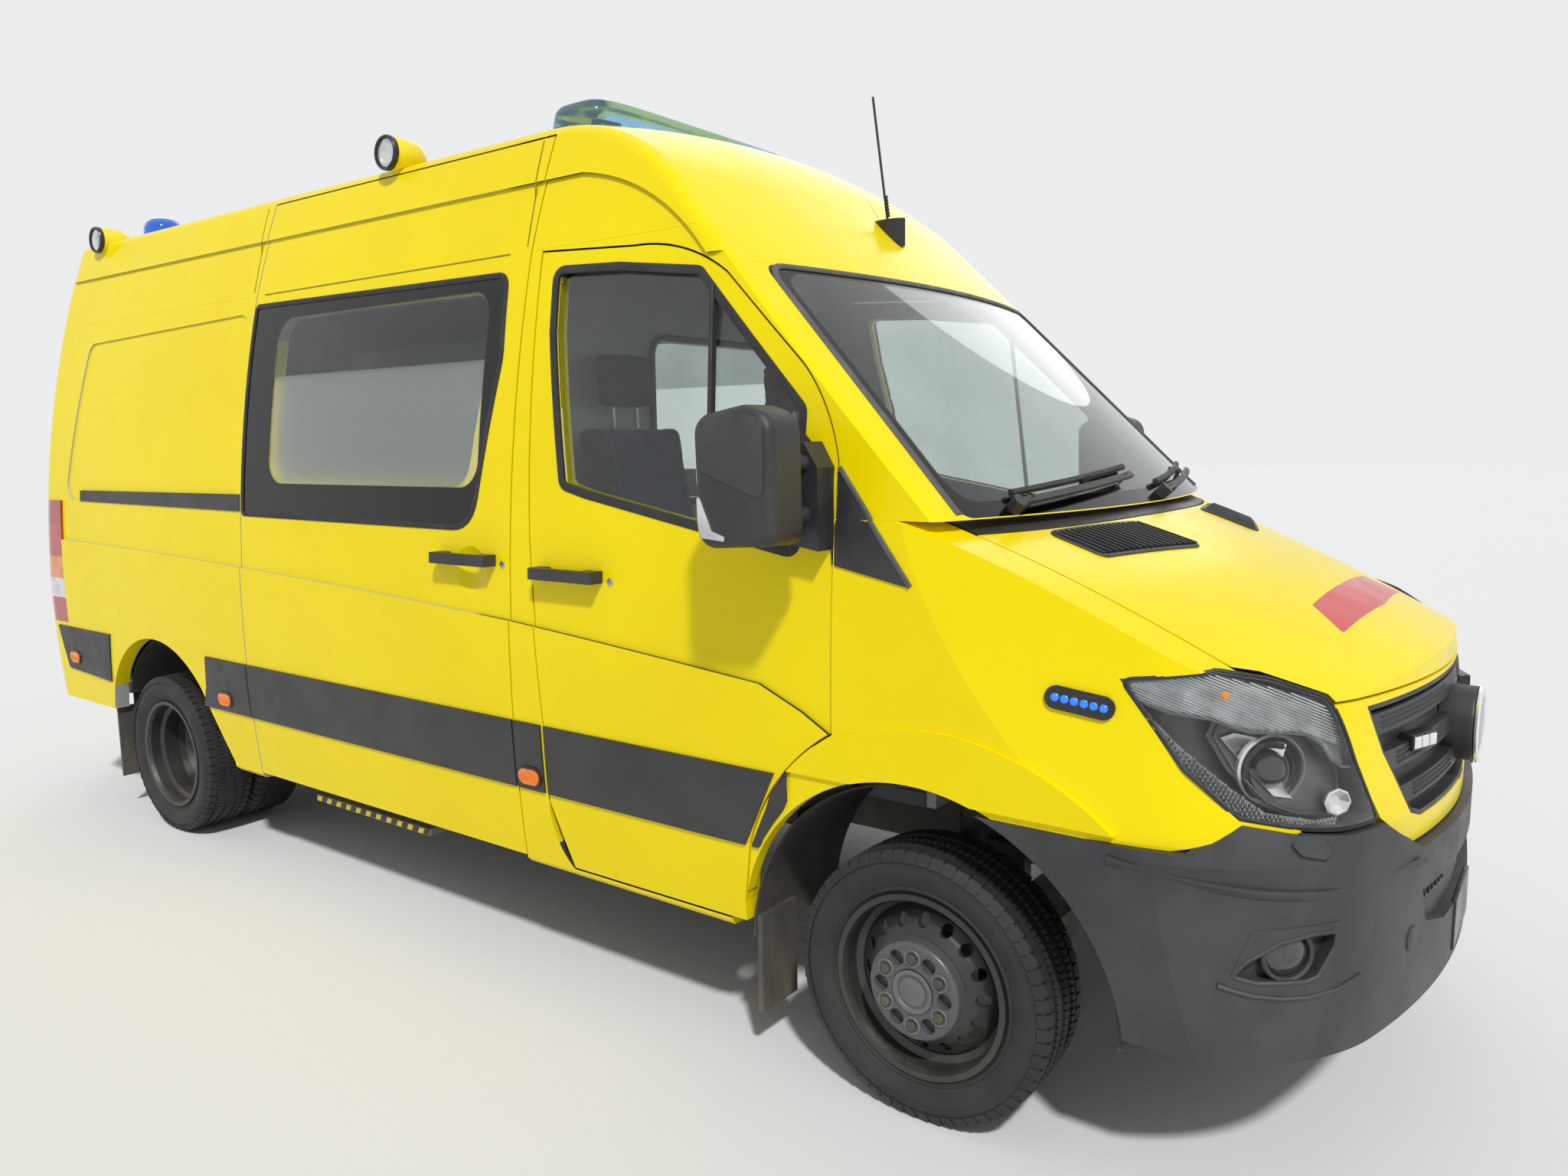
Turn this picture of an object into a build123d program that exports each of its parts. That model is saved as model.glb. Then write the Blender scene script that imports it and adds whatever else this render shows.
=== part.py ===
"""High-roof panel-van ambulance with twin rear wheels, as an assembly of named pieces.

Millimetres. +X forward, +Y to the vehicle's left, +Z up, origin on the floor at the middle
of the bounding box. Stations along the vehicle are counted from the front axle, forward positive.
"""
from build123d import *
from build123d.topology.shape_core import SkipClean
from math import asin, cos, hypot, radians, sin, sqrt, tan
import os

os.makedirs("parts", exist_ok=True)

# Overall sizes
WHEELBASE = 3665
FRONT_REACH = 1034          # front axle to the foremost point, the round carrier on the grille
REAR_REACH = 5020           # front axle to the rearmost point of the step
REAR_X = -4820              # station of the rear face at the floor
HALF_WIDTH = 998            # widest half width of the body side
SILL_Z = 356                # underside of the sills
ROOF_Z = 2650               # top of the roof at the middle
FRONT_AXLE_X = (REAR_REACH - FRONT_REACH) / 2

# Body side section: height and half width of its arcs
SILL_Y, SILL_TOP_Z, SILL_TOP_Y = 945, 372, 962
WIDEST_Z = 995
WAIST_Z, WAIST_Y = 1689, 954
CANT_Z, CANT_Y = 2210, 858
ROOF_EDGE_Z, ROOF_EDGE_Y = 2660, 722
SIDE_STEP = 10              # depth of the belt crease and of the roof swage
SWAGE_Z = 2420
CANT_SEAM_Z = 2212          # seam between doors and roof side

# Roof and windscreen
CROWN_R = 4200
BEND_R = 900                # bend from the roof into the windscreen
SLOPE = 43.8                # windscreen slope from level, degrees
SCREEN_X, SCREEN_Z = 215, 1461   # foot of the windscreen at the middle
REAR_LEAN = 90              # how far the rear face leans in at the roof
REAR_LEAN_Z = 1000

# Walls and gaps
WALL = 50                   # thickness of doors and body sides
ROOF_WALL = 45
GAP = 6                     # clearance round every opening panel
SEAT_GAP = 0.3              # clearance at a fitted seat
GLASS = 6

# Side view stations
DOOR_FRONT_X = -212
B_REAR_X = -1375            # rear edge of the post between the doors
SLIDE_REAR_X = -2925
DOOR_BOTTOM_Z = 378
MOULD_TOP, MOULD_LOW = 816, 606

# Wheels
TYRE_R = 340
RIM_R = 221
WHEEL_Z = TYRE_R
FRONT_WHEEL_Y = 857
REAR_WHEEL_Y = 770          # middle of the twin pair
TWIN_SPACING = 219
KINGPIN_Y = 775
FRONT_ARCH_R = 515
FLARE_X, FLARE_R = 60, 650  # round lip of the front arch
REAR_FLARE_X, REAR_FLARE_R = -3632, 622

# Nose
NOSE_R = 2271               # big arc across the front
NOSE_Y = 650                # half width of that arc
CORNER_R = 470
NOSE_X = 1000
BUMPER_PROUD = 22
BUMPER_TOP_Z = 790
BUMPER_BOTTOM_Z = 378
BONNET_HALF_REAR, BONNET_HALF_FRONT = 862, 800

# Rounds and seams of the shell
ROOF_EDGE_R = 45
REAR_CORNER_R = 180
CAB_FRONT_X = 240
SLIDE_TOP_Z = 2556
REAR_ARCH_TOP_Z = 843
REAR_DOOR_Y = 795
REAR_DOOR_BOTTOM_Z = 500
REAR_DOOR_TOP_Z = 2430
REAR_MIDDLE_GAP = 8         # joint between the two rear doors

# Floor
FLOOR_Z = 680
FLOOR_T = 40


def side(y):
    """Side-view plane at y: sketch x is the station, sketch y the height."""
    return Plane(origin=(FRONT_AXLE_X, y, 0), x_dir=(1, 0, 0), z_dir=(0, -1, 0))


def level(z):
    """Plan-view plane at height z: sketch x is the station."""
    return Plane(origin=(FRONT_AXLE_X, 0, z), x_dir=(1, 0, 0), z_dir=(0, 0, 1))


def cross(x):
    """Cross-section plane at station x: sketch x is the half width, sketch y the height."""
    return Plane(origin=(FRONT_AXLE_X + x, 0, 0), x_dir=(0, 1, 0), z_dir=(1, 0, 0))


def at(x, y, z):
    """A point of the vehicle, from its station, width and height."""
    return Vector(FRONT_AXLE_X + x, y, z)


# The body skin is one hull, stepped in between the belt crease and the roof swage.

def roof_cutter(inset):
    """Everything above the roof line, its bend and the windscreen."""
    top = ROOF_Z - inset
    bend_x = SCREEN_X - (ROOF_Z - SCREEN_Z) / tan(radians(SLOPE)) - BEND_R * tan(radians(SLOPE / 2))
    bend_end = (bend_x + (BEND_R - inset) * sin(radians(SLOPE)),
                ROOF_Z - BEND_R + (BEND_R - inset) * cos(radians(SLOPE)))
    reach, width, tall = 1600, 1250, 1500
    foot = (bend_end[0] + reach * cos(radians(SLOPE)), bend_end[1] - reach * sin(radians(SLOPE)))
    drop = CROWN_R - sqrt(CROWN_R ** 2 - width ** 2)
    with BuildPart() as cutter:
        with BuildLine(side(0)) as path:
            level_run = Line((REAR_X - 300, top), (bend_x, top))
            bend = TangentArc(level_run @ 1, bend_end, tangent=level_run % 1)
            Line(bend @ 1, foot)
        with BuildSketch(cross(REAR_X - 300)):
            with BuildLine():
                ThreePointArc((-width, top - drop), (0, top), (width, top - drop))
                Polyline((width, top - drop), (width, top + tall), (-width, top + tall),
                         (-width, top - drop))
            make_face()
        sweep(path=path.wires()[0])
    return cutter.part


def side_section(inset):
    """The body's cross-section, moved inwards by inset."""
    with BuildSketch() as section:
        with BuildLine():
            Polyline((0, SILL_Z), (SILL_Y, SILL_Z), (SILL_TOP_Y, SILL_TOP_Z))
            TangentArc((HALF_WIDTH, WIDEST_Z), (SILL_TOP_Y, SILL_TOP_Z), tangent=(0, -1))
            waist = ThreePointArc((HALF_WIDTH, WIDEST_Z), (WAIST_Y, WAIST_Z), (CANT_Y, CANT_Z))
            cant = TangentArc(waist @ 1, (ROOF_EDGE_Y, ROOF_EDGE_Z), tangent=waist % 1)
            rise = Line(cant @ 1, cant @ 1 + (cant % 1) * 300)
            Line(rise @ 1, (0, (rise @ 1).Y))
            mirror(about=Plane.YZ)
        make_face()
        if inset:
            offset(amount=-inset, kind=Kind.INTERSECTION)
    return section.sketch


def hull(inset, wall=0):
    """Cab and load space as one solid: sides in by inset and wall, roof and rear in by wall."""
    with BuildPart() as body:
        with BuildSketch(cross(REAR_X - 20)):
            add(side_section(inset + wall))
        extrude(amount=CAB_FRONT_X - REAR_X + 20)
        add(roof_cutter(wall), mode=Mode.SUBTRACT)
        rear = REAR_X + wall
        with BuildSketch(side(0)):
            Polygon((rear - 200, 300), (rear, 300), (rear, REAR_LEAN_Z), (rear + REAR_LEAN, 2700),
                    (rear - 200, 2700), align=None)
        extrude(amount=1200, both=True, mode=Mode.SUBTRACT)
    return body.part


def block(outline, near, far):
    """Prism of a side-view outline across the body, from width near to width far."""
    with BuildPart() as prism:
        with BuildSketch(side(near)):
            add(outline)
        extrude(amount=near - far)
    return prism.part


def rear_corners(body):
    """The upright edges at the rear corners of a hull."""
    return body.edges().filter_by(
        lambda e: e.center().X < FRONT_AXLE_X + REAR_X + 220 and abs(e.center().Y) > 600
        and abs((e @ 0).Z - (e @ 1).Z) > 30)


def rounded_hull():
    """The hull with its rear corners, then its roof edges and screen pillars rounded."""
    with BuildPart() as rounded:
        add(hull(0))
        fillet(rear_corners(rounded), REAR_CORNER_R)
        curved = rounded.edges().filter_by(
            lambda e: e.length > 100 and abs(e.center().Y) > 600
            and e.geom_type in (GeomType.LINE, GeomType.BSPLINE))
        fillet(curved.filter_by(
            lambda e: e.center().Z > 2450
            or (e.geom_type == GeomType.BSPLINE and e.center().X > FRONT_AXLE_X - 1500)), ROOF_EDGE_R)
    return rounded.part


def middle_level():
    """What is cut from both sides between the belt crease and the roof swage: a shallow step."""
    with BuildPart() as plates:
        with BuildSketch(side(1200)):
            with BuildLine():
                ThreePointArc((-4600, 1234), (-2921, 1192), (-1384, 1120))
                ThreePointArc((-1384, 1120), (-880, 1080), (-430, 1040))
                Polyline((-430, 1040), (-300, 985), (-150, 900), (400, 900), (400, 2131), (-675, 2131))
                ThreePointArc((-675, 2131), (-917, 2325), (-1200, SWAGE_Z))
                Polyline((-1200, SWAGE_Z), (-5100, SWAGE_Z), (-5100, 1238), (-4600, 1234))
            make_face()
        extrude(amount=2400)
        with BuildSketch(cross(REAR_X - 400)):
            add(side_section(SIDE_STEP))
        extrude(amount=6500, mode=Mode.SUBTRACT)
    return plates.part


with BuildPart() as cavity:
    add(hull(SIDE_STEP, WALL))
    fillet(rear_corners(cavity), REAR_CORNER_R - WALL)
with BuildPart() as under_opening:
    with BuildSketch(level(200)):
        with Locations(((REAR_X + WALL + CAB_FRONT_X) / 2, 0)):
            Rectangle(CAB_FRONT_X - REAR_X - WALL + 100, 2 * (SILL_TOP_Y - SIDE_STEP - WALL))
    extrude(amount=240)
# The rounded hull keeps its seams, because merging its faces spoils later cuts.
with SkipClean():
    shell = rounded_hull() - cavity.part - under_opening.part - middle_level()


def door_outline():
    """Front door in side view, along the arch at its lower front corner."""
    with BuildSketch() as region:
        with BuildLine():
            Polyline((-503, 384), (-503, 440), (-474, 611))
            ThreePointArc((-474, 611), (-368, 806), (DOOR_FRONT_X, 942))
            Line((DOOR_FRONT_X, 942), (DOOR_FRONT_X, 1590))
            ThreePointArc((DOOR_FRONT_X, 1590), (-250, 1706), (-332, 1827))
            Line((-332, 1827), (-603, 2075))
            ThreePointArc((-603, 2075), (-760, 2152), (-944, 2180))
            Polyline((-944, 2180), (-1325, 2204), (-1300, 1600), (-1289, 1376), (-1240, 814), (-1240, 580))
            ThreePointArc((-1240, 580), (-1222, 470), (-1160, 384))
            Line((-1160, 384), (-503, 384))
        make_face()
    return region.sketch


def door_window_outline():
    """Opening of the front door window, up to the sail panel of the mirror."""
    with BuildSketch() as region:
        with BuildLine():
            FilletPolyline((-1246, 2136), (-1232, 1960), (-1150, 1530), (-1060, 1508), (-330, 1376),
                           (-330, 1716), (-700, 2082), (-1000, 2122), radius=30, close=True)
        make_face()
    return region.sketch


def sliding_window_outline():
    """The bonded pane of the sliding door, square at the rail and round at its lower front."""
    with BuildSketch() as region:
        with BuildLine():
            FilletPolyline((-2906, 2164), (-2906, 1402), (-1560, 1394), (-1462, 1900), (-1476, 2146),
                           radius=(4, 4, 110, 200, 40), close=True)
        make_face()
    return region.sketch


def clear_window_outline():
    """The see-through field inside the black border of that pane."""
    with BuildSketch() as region:
        with BuildLine():
            FilletPolyline((-2740, 2112), (-2740, 1520), (-1590, 1512), (-1530, 1860), (-1536, 2100),
                           radius=80, close=True)
        make_face()
    return region.sketch


def sliding_door_outline():
    with BuildSketch() as region:
        with BuildLine():
            Polyline((SLIDE_REAR_X, DOOR_BOTTOM_Z), (SLIDE_REAR_X, CANT_SEAM_Z),
                     (SLIDE_REAR_X + 28, SLIDE_TOP_Z), (B_REAR_X + 28, SLIDE_TOP_Z),
                     (B_REAR_X, CANT_SEAM_Z), (B_REAR_X, DOOR_BOTTOM_Z), close=True)
        make_face()
    return region.sketch


def rear_arch_outline():
    """Opening over the twin wheels: an arc, with a straight slope down its front."""
    with BuildSketch() as region:
        with BuildLine():
            ThreePointArc((-4120, 590), (-3690, REAR_ARCH_TOP_Z), (-3318, 680))
            Polyline((-3318, 680), (-3130, 392), (-3090, 100), (-4160, 100), (-4160, 480), (-4120, 590))
        make_face()
    return region.sketch


def rear_door_outline(grow=0):
    """Right half of the rear opening in rear view, grown by a clearance."""
    middle_y = (GAP - REAR_MIDDLE_GAP) / 2
    with BuildSketch() as region:
        with BuildLine():
            Line((middle_y, REAR_DOOR_BOTTOM_Z), (-REAR_DOOR_Y, REAR_DOOR_BOTTOM_Z))
            rise = Line((-REAR_DOOR_Y, REAR_DOOR_BOTTOM_Z), (-REAR_DOOR_Y, 1150))
            lean = ThreePointArc(rise @ 1, (-REAR_DOOR_Y + 50, 1850), (-REAR_DOOR_Y + 118, 2290))
            top = TangentArc(lean @ 1, (-REAR_DOOR_Y + 230, REAR_DOOR_TOP_Z), tangent=lean % 1)
            Polyline(top @ 1, (middle_y, REAR_DOOR_TOP_Z), (middle_y, REAR_DOOR_BOTTOM_Z))
        make_face()
        if grow:
            offset(amount=grow)
    return region.sketch


def rear_door_block(grow):
    with BuildPart() as prism:
        with BuildSketch(cross(REAR_X - 100)):
            add(rear_door_outline(grow))
        extrude(amount=100 + WALL + REAR_LEAN + 20)
    return prism.part


# Side doors and panels are cut from the shell along the real seams.

HINGE_X, HINGE_Y = DOOR_FRONT_X + GAP / 2, 1003      # front door hinge line
WINDOW_FLANGE = 25
SIDE_PANE_DEPTH = 1         # set-back of a bonded side pane
MOULDING_PROUD = 7
FLARE_PROUD = 9


def side_prism(inset):
    """The body section, moved inwards by inset and run past both ends."""
    with BuildPart() as prism:
        with BuildSketch(cross(REAR_X - 400)):
            add(side_section(inset))
        extrude(amount=6500)
    return prism.part


def side_layer(outline, outer, inner, near=-1200, far=-500):
    """What lies within a side-view outline between two depths of the body side."""
    with BuildPart() as layer:
        add(block(outline, near, far))
        add(side_prism(outer), mode=Mode.INTERSECT)
        add(side_prism(inner), mode=Mode.SUBTRACT)
    return layer.part


def side_recess(outline, depth, near=-1200, far=-500):
    """A shallow cut in the body side, down to a depth."""
    with BuildPart() as cut:
        add(block(outline, near, far))
        add(side_prism(depth), mode=Mode.SUBTRACT)
    return cut.part


def gap_sketch(outline, amount):
    """An outline grown by an amount."""
    with BuildSketch() as grown:
        add(outline)
        offset(amount=amount)
    return grown.sketch


def shape(*points):
    """A plain outline from its corners."""
    with BuildSketch() as region:
        Polygon(*points, align=None)
    return region.sketch


def flipped(part):
    """The same piece on the other side of the vehicle."""
    with SkipClean():
        return mirror(part, about=Plane.XZ)


def panel(region, *cuts):
    """A piece of the shell: what lies in a region, less its cuts."""
    with SkipClean():
        piece = shell & region
        for cut in cuts:
            piece = piece - cut
    return piece


def half_width(z):
    """Half width of the body side at a height."""
    probe = Edge.make_line((0, z, 0), (HALF_WIDTH + 200, z, 0))
    return max(v.X for e in side_section(0).face().intersect(probe) for v in e.vertices())


# Rear edge of the front door, from its foot to its top: station and height
DOOR_REAR_EDGE = ((-1160, 384), (-1240, 580), (-1240, 814), (-1289, 1376), (-1300, 1600), (-1325, 2204))


def door_swing(grow):
    """What the right front door's rear edge sweeps round about its hinge line, grown by a gap."""
    points = [(hypot(x + GAP / 2 - HINGE_X, HINGE_Y - half_width(z)) + grow, z)
              for x, z in DOOR_REAR_EDGE]
    with BuildPart() as swing:
        with BuildSketch(Plane(origin=at(HINGE_X, -HINGE_Y, 0), x_dir=(-1, 0, 0), z_dir=(0, 1, 0))):
            Polygon((0, 200), (points[0][0], 200), *points, (points[-1][0], 2400), (0, 2400), align=None)
        revolve(axis=Axis(at(HINGE_X, -HINGE_Y, 0), (0, 0, 1)))
    return swing.part


# Front doors
door_window = block(door_window_outline(), -1200, -700)
with SkipClean():
    door_region = block(gap_sketch(door_outline(), -GAP / 2), -1100, -760) & door_swing(0)
    door_foot = DOOR_REAR_EDGE[0][1] - GAP / 2
    rear_edge_zone = block(shape((-1100, door_foot), (-1100, 2190 + GAP / 2), (-1420, 2210 + GAP / 2),
                                 (-1420, door_foot)), -1100, -700)
    door_hole = (block(gap_sketch(door_outline(), GAP / 2), -1100, -700)
                 + (door_swing(GAP) & rear_edge_zone))
door_shell = panel(door_region, door_window)

# Round bowls behind the pull handles: station, height
DOOR_BOWL, SLIDE_BOWL = (-1113, 1262), (-1560, 1270)
BOWL_R, BOWL_DEPTH = 74, 14
BOWL_BALL_R = (BOWL_R ** 2 + BOWL_DEPTH ** 2) / (2 * BOWL_DEPTH)


def bowl(x, z):
    """Ball that cuts a shallow round bowl into the skin above the belt crease."""
    with BuildPart() as ball:
        with Locations(at(x, -half_width(z) + SIDE_STEP + BOWL_DEPTH - BOWL_BALL_R, z)):
            Sphere(BOWL_BALL_R)
    return ball.part


with SkipClean():
    door_shell = door_shell - bowl(*DOOR_BOWL)
door_pane = side_layer(gap_sketch(door_window_outline(), -SEAT_GAP), SIDE_STEP + 14, SIDE_STEP + 14 + GLASS)

# Sliding door with its bonded pane, and the same pane fixed in the left side
pane_outline = sliding_window_outline()
pane_seat = side_recess(pane_outline, SIDE_STEP + SIDE_PANE_DEPTH + GLASS + SEAT_GAP)
clear_hole = block(clear_window_outline(), -1200, -500)
side_pane = side_layer(gap_sketch(pane_outline, -SEAT_GAP), SIDE_STEP + SIDE_PANE_DEPTH,
                       SIDE_STEP + SIDE_PANE_DEPTH + GLASS)
sliding_shell = panel(block(gap_sketch(sliding_door_outline(), -GAP / 2), -1100, -690), pane_seat,
                      clear_hole)
slide_hole = block(gap_sketch(sliding_door_outline(), GAP / 2), -1100, -690)
with SkipClean():
    sliding_shell = sliding_shell - bowl(*SLIDE_BOWL)

# Rear doors
REAR_WINDOW = ((-110, 1500), (-110, 2080), (-610, 2080), (-680, 1500))
right_rear_block = rear_door_block(-GAP / 2)
right_rear_hole = rear_door_block(GAP / 2)
with BuildPart() as rear_window_block:
    with BuildSketch(cross(REAR_X - 100)):
        with BuildLine():
            FilletPolyline(*REAR_WINDOW, radius=60, close=True)
        make_face()
    extrude(amount=400)
rear_shell = panel(right_rear_block, rear_window_block.part)
with BuildPart() as rear_pane:
    with BuildSketch(cross(REAR_X - 100)):
        with BuildLine():
            FilletPolyline(*REAR_WINDOW, radius=60, close=True)
        make_face()
        offset(amount=-SEAT_GAP)
    extrude(amount=400)
    add(hull(0, 8), mode=Mode.INTERSECT)
    add(hull(0, 8 + GLASS), mode=Mode.SUBTRACT)

# Roof, cab frame and side panels
ROOF_SEAM_Z = CANT_SEAM_Z + SEAT_GAP
SCREEN_HEAD_Z = 2105        # seam between the roof and the screen header
COWL_SEAM_Z = 1458          # foot of the screen pillars on the wings
WING_REAR_X = -560          # joint between the wing and the sill under the door
SCREEN = ((-895, 1461), (-785, 2100), (785, 2100), (895, 1461))
QUARTER_FIELD = ((-2965, 2150), (-4330, 2116), (-4470, 1480), (-4430, 1420), (-2965, 1410))
REAR_LOW_Z = 475            # underside of the body behind the rear wheels


def front_block(outline, near, far):
    """Prism of a front-view outline along the vehicle, from one station to another."""
    with BuildPart() as prism:
        with BuildSketch(cross(near)):
            add(outline)
        extrude(amount=far - near)
    return prism.part


def ring_outline(x, radius, z_low):
    """Side view of a round lip about an axle, above a level."""
    with BuildSketch() as region:
        with Locations((x, WHEEL_Z)):
            Circle(radius)
        with Locations((x, z_low - 1000)):
            Rectangle(4000, 2000, mode=Mode.SUBTRACT)
    return region.sketch


with BuildSketch() as screen_outline:
    with BuildLine():
        FilletPolyline(*SCREEN, radius=40, close=True)
    make_face()
with BuildSketch() as screen_clear:
    add(screen_outline.sketch)
    offset(amount=-WINDOW_FLANGE)
with BuildPart() as windscreen:
    add(front_block(gap_sketch(screen_outline.sketch, -SEAT_GAP), -900, 300))
    add(hull(0, 1), mode=Mode.INTERSECT)
    add(hull(0, 1 + GLASS), mode=Mode.SUBTRACT)
with SkipClean():
    screen_seat = front_block(screen_outline.sketch, -900, 300) - hull(0, 1 + GLASS + SEAT_GAP)
screen_hole = front_block(screen_clear.sketch, -900, 300)

cab_region = block(shape((B_REAR_X + SEAT_GAP, 300), (B_REAR_X + SEAT_GAP, CANT_SEAM_Z), (-720, CANT_SEAM_Z),
                         (-600, SCREEN_HEAD_Z), (300, SCREEN_HEAD_Z), (300, COWL_SEAM_Z + SEAT_GAP),
                         (DOOR_FRONT_X - GAP, COWL_SEAM_Z + SEAT_GAP), (DOOR_FRONT_X - GAP, 1000),
                         (WING_REAR_X, 700), (WING_REAR_X, 300)), 1200, -1200)
cab_frame = panel(cab_region, door_hole, flipped(door_hole), slide_hole, screen_seat, screen_hole)

roof_region = block(shape((-5100, ROOF_SEAM_Z), (-720, ROOF_SEAM_Z), (-600, SCREEN_HEAD_Z + SEAT_GAP),
                          (-300, SCREEN_HEAD_Z + SEAT_GAP), (-300, 2800), (-5100, 2800)), 1200, -1200)
rear_hole = right_rear_hole + flipped(right_rear_hole)
roof_panel = panel(roof_region, slide_hole, rear_hole)

arch_hole = block(rear_arch_outline(), -1200, 1200)
low_hole = block(shape((-5100, 200), (-4100, 200), (-4100, REAR_LOW_Z), (-5100, REAR_LOW_Z)), -1200, 1200)
with BuildSketch() as field_outline:
    with BuildLine():
        FilletPolyline(*QUARTER_FIELD, radius=60, close=True)
    make_face()
RAIL_SEAT = 7               # depth of the recessed field that the slide rail lies in
quarter_field = side_recess(field_outline.sketch, SIDE_STEP + RAIL_SEAT)


def rear_flare():
    """Raised lip round the rear arch."""
    lip = ring_outline(REAR_FLARE_X, REAR_FLARE_R, 500)
    return side_layer(lip, -FLARE_PROUD, 20, -1200, -800)


def wall_region(front_x):
    return block(shape((-5100, 300), (front_x, 300), (front_x, CANT_SEAM_Z), (-5100, CANT_SEAM_Z)),
                 -1200, -300)


with SkipClean():
    rear_lip = rear_flare() - arch_hole
    quarter_right = panel(wall_region(SLIDE_REAR_X - GAP / 2), rear_hole, low_hole, arch_hole, quarter_field)
    quarter_right = quarter_right + rear_lip
    left_as_right = panel(wall_region(B_REAR_X - SEAT_GAP), rear_hole, low_hole, arch_hole, quarter_field,
                          pane_seat, clear_hole)
    left_as_right = left_as_right + rear_lip
side_panel_left = flipped(left_as_right)

# Front end
TAIL_TURN = 82              # how far round the corner arcs run before the plan goes straight, degrees
NOSE_LEAN = 7               # lean of the front above the bumper, degrees
NOSE_LEAN_Z = 820
NOSE_WALL = 40
BUMPER_WALL = 45
BUMPER_CHAMFER_Z = 885
BUMPER_ARCH_X, BUMPER_ARCH_R = 5, 500
BONNET_LIP_Z = 1087
# Bonnet surface: station, height at the middle, height 850 out
BONNET_SECTIONS = ((-230, 1570, 1520), (326, 1410, 1333), (665, 1281, 1163), (1010, 1103, 965))
SKY_HALF = 1150
# Headlamp outline on a plane square to the corner of the nose: across, height
HEADLAMP = ((-336, 1149), (-163, 1176), (-58, 1157), (71, 1112), (134, 975), (208, 842), (83, 846),
            (-35, 859), (-139, 879), (-239, 976))
# Front view of the seam over the bumper: half width, height
BUMPER_SEAM = ((0, 732), (449, 745), (560, 800), (614, 835), (743, 838), (837, 851), (902, 871),
               (935, 833), (965, 812), (1200, 812))
GRILLE_OUTER = ((0, 1081), (735, 1098), (690, 975), (607, 842), (553, 806), (446, 751), (0, 738))
GRILLE_INNER = ((0, 1075), (622, 1080), (575, 975), (464, 821), (400, 800), (0, 790))


def corner(x_dir_y, distance=0):
    """Plane square to a front corner: sketch x runs across the corner, sketch y is the height."""
    out = Vector(1, -x_dir_y, 0).normalized()
    return Plane(origin=at(0, 0, 0) + out * distance, x_dir=(1, x_dir_y, 0), z_dir=out)


def right_corner_block(outline, near, far):
    """Prism of an outline on the right front corner, between two distances."""
    with BuildPart() as prism:
        with BuildSketch(corner(1, near)):
            add(outline)
        extrude(amount=far - near)
    return prism.part


def nose_plan(grow):
    """Plan of the front end: a wide arc and two corner arcs that run out to the sides."""
    turn = asin(NOSE_Y / NOSE_R)
    corner_x = NOSE_X - NOSE_R + (NOSE_R - CORNER_R) * cos(turn)
    corner_y = (NOSE_R - CORNER_R) * sin(turn)
    end = radians(TAIL_TURN)
    arc_r = CORNER_R + grow
    end_x, end_y = corner_x + arc_r * cos(end), corner_y + arc_r * sin(end)
    middle = (turn + end) / 2
    run = (SKY_HALF - end_y) / cos(end)
    with BuildSketch() as plan:
        with BuildLine():
            ThreePointArc((corner_x + arc_r * cos(turn), -corner_y - arc_r * sin(turn)),
                          (NOSE_X + grow, 0),
                          (corner_x + arc_r * cos(turn), corner_y + arc_r * sin(turn)))
            ThreePointArc((corner_x + arc_r * cos(turn), corner_y + arc_r * sin(turn)),
                          (corner_x + arc_r * cos(middle), corner_y + arc_r * sin(middle)),
                          (end_x, end_y))
            Polyline((end_x, end_y), (end_x - run * sin(end), SKY_HALF), (-1300, SKY_HALF),
                     (-1300, -SKY_HALF), (end_x - run * sin(end), -SKY_HALF), (end_x, -end_y))
            ThreePointArc((end_x, -end_y),
                          (corner_x + arc_r * cos(middle), -corner_y - arc_r * sin(middle)),
                          (corner_x + arc_r * cos(turn), -corner_y - arc_r * sin(turn)))
        make_face()
    return plan.sketch


def nose_solid(grow):
    """Upright to the bumper's top, then leaning back."""
    with BuildPart() as nose:
        with BuildSketch(level(300)):
            add(nose_plan(grow))
        extrude(amount=NOSE_LEAN_Z - 300)
        with BuildSketch(level(NOSE_LEAN_Z)):
            add(nose_plan(grow))
        extrude(amount=700, taper=NOSE_LEAN)
    return nose.part


def sky(drop=0):
    """Everything over the bonnet and the tops of the wings."""
    with BuildPart() as above:
        for x, middle_z, edge_z in BONNET_SECTIONS:
            foot = middle_z - (middle_z - edge_z) * (SKY_HALF / 850) ** 2
            with BuildSketch(cross(x)):
                with BuildLine():
                    ThreePointArc((-SKY_HALF, foot - drop), (0, middle_z - drop), (SKY_HALF, foot - drop))
                    Polyline((SKY_HALF, foot - drop), (SKY_HALF, 1900), (-SKY_HALF, 1900),
                             (-SKY_HALF, foot - drop))
                make_face()
        loft()
    return above.part


with SkipClean():
    nose_full = (nose_solid(0) & side_prism(0)) - sky()
    nose_core = (nose_solid(-NOSE_WALL) & side_prism(NOSE_WALL)) - sky(NOSE_WALL - 5)
    nose_shell = nose_full - nose_core

BONNET_CORNER_X, BONNET_MIDDLE_X = 98, 255           # rear edge of the bonnet
LOUVRES = ((1035, 44), (950, 44), (866, 40))         # height, depth of each grille bar
BADGE_Z, BADGE_R = 933, 92
GRILLE_RIM = 12
FOG_Z, FOG_ACROSS, FOG_R = 604, -36, 46
FOG_RECESS = ((-165, 548), (-120, 660), (75, 664), (120, 560), (60, 512), (-110, 516))
STEP_RECESS = ((-430, 640), (430, 640), (400, 560), (250, 520), (-250, 520), (-400, 560))
FRONT_ARCH_X = 3


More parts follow.
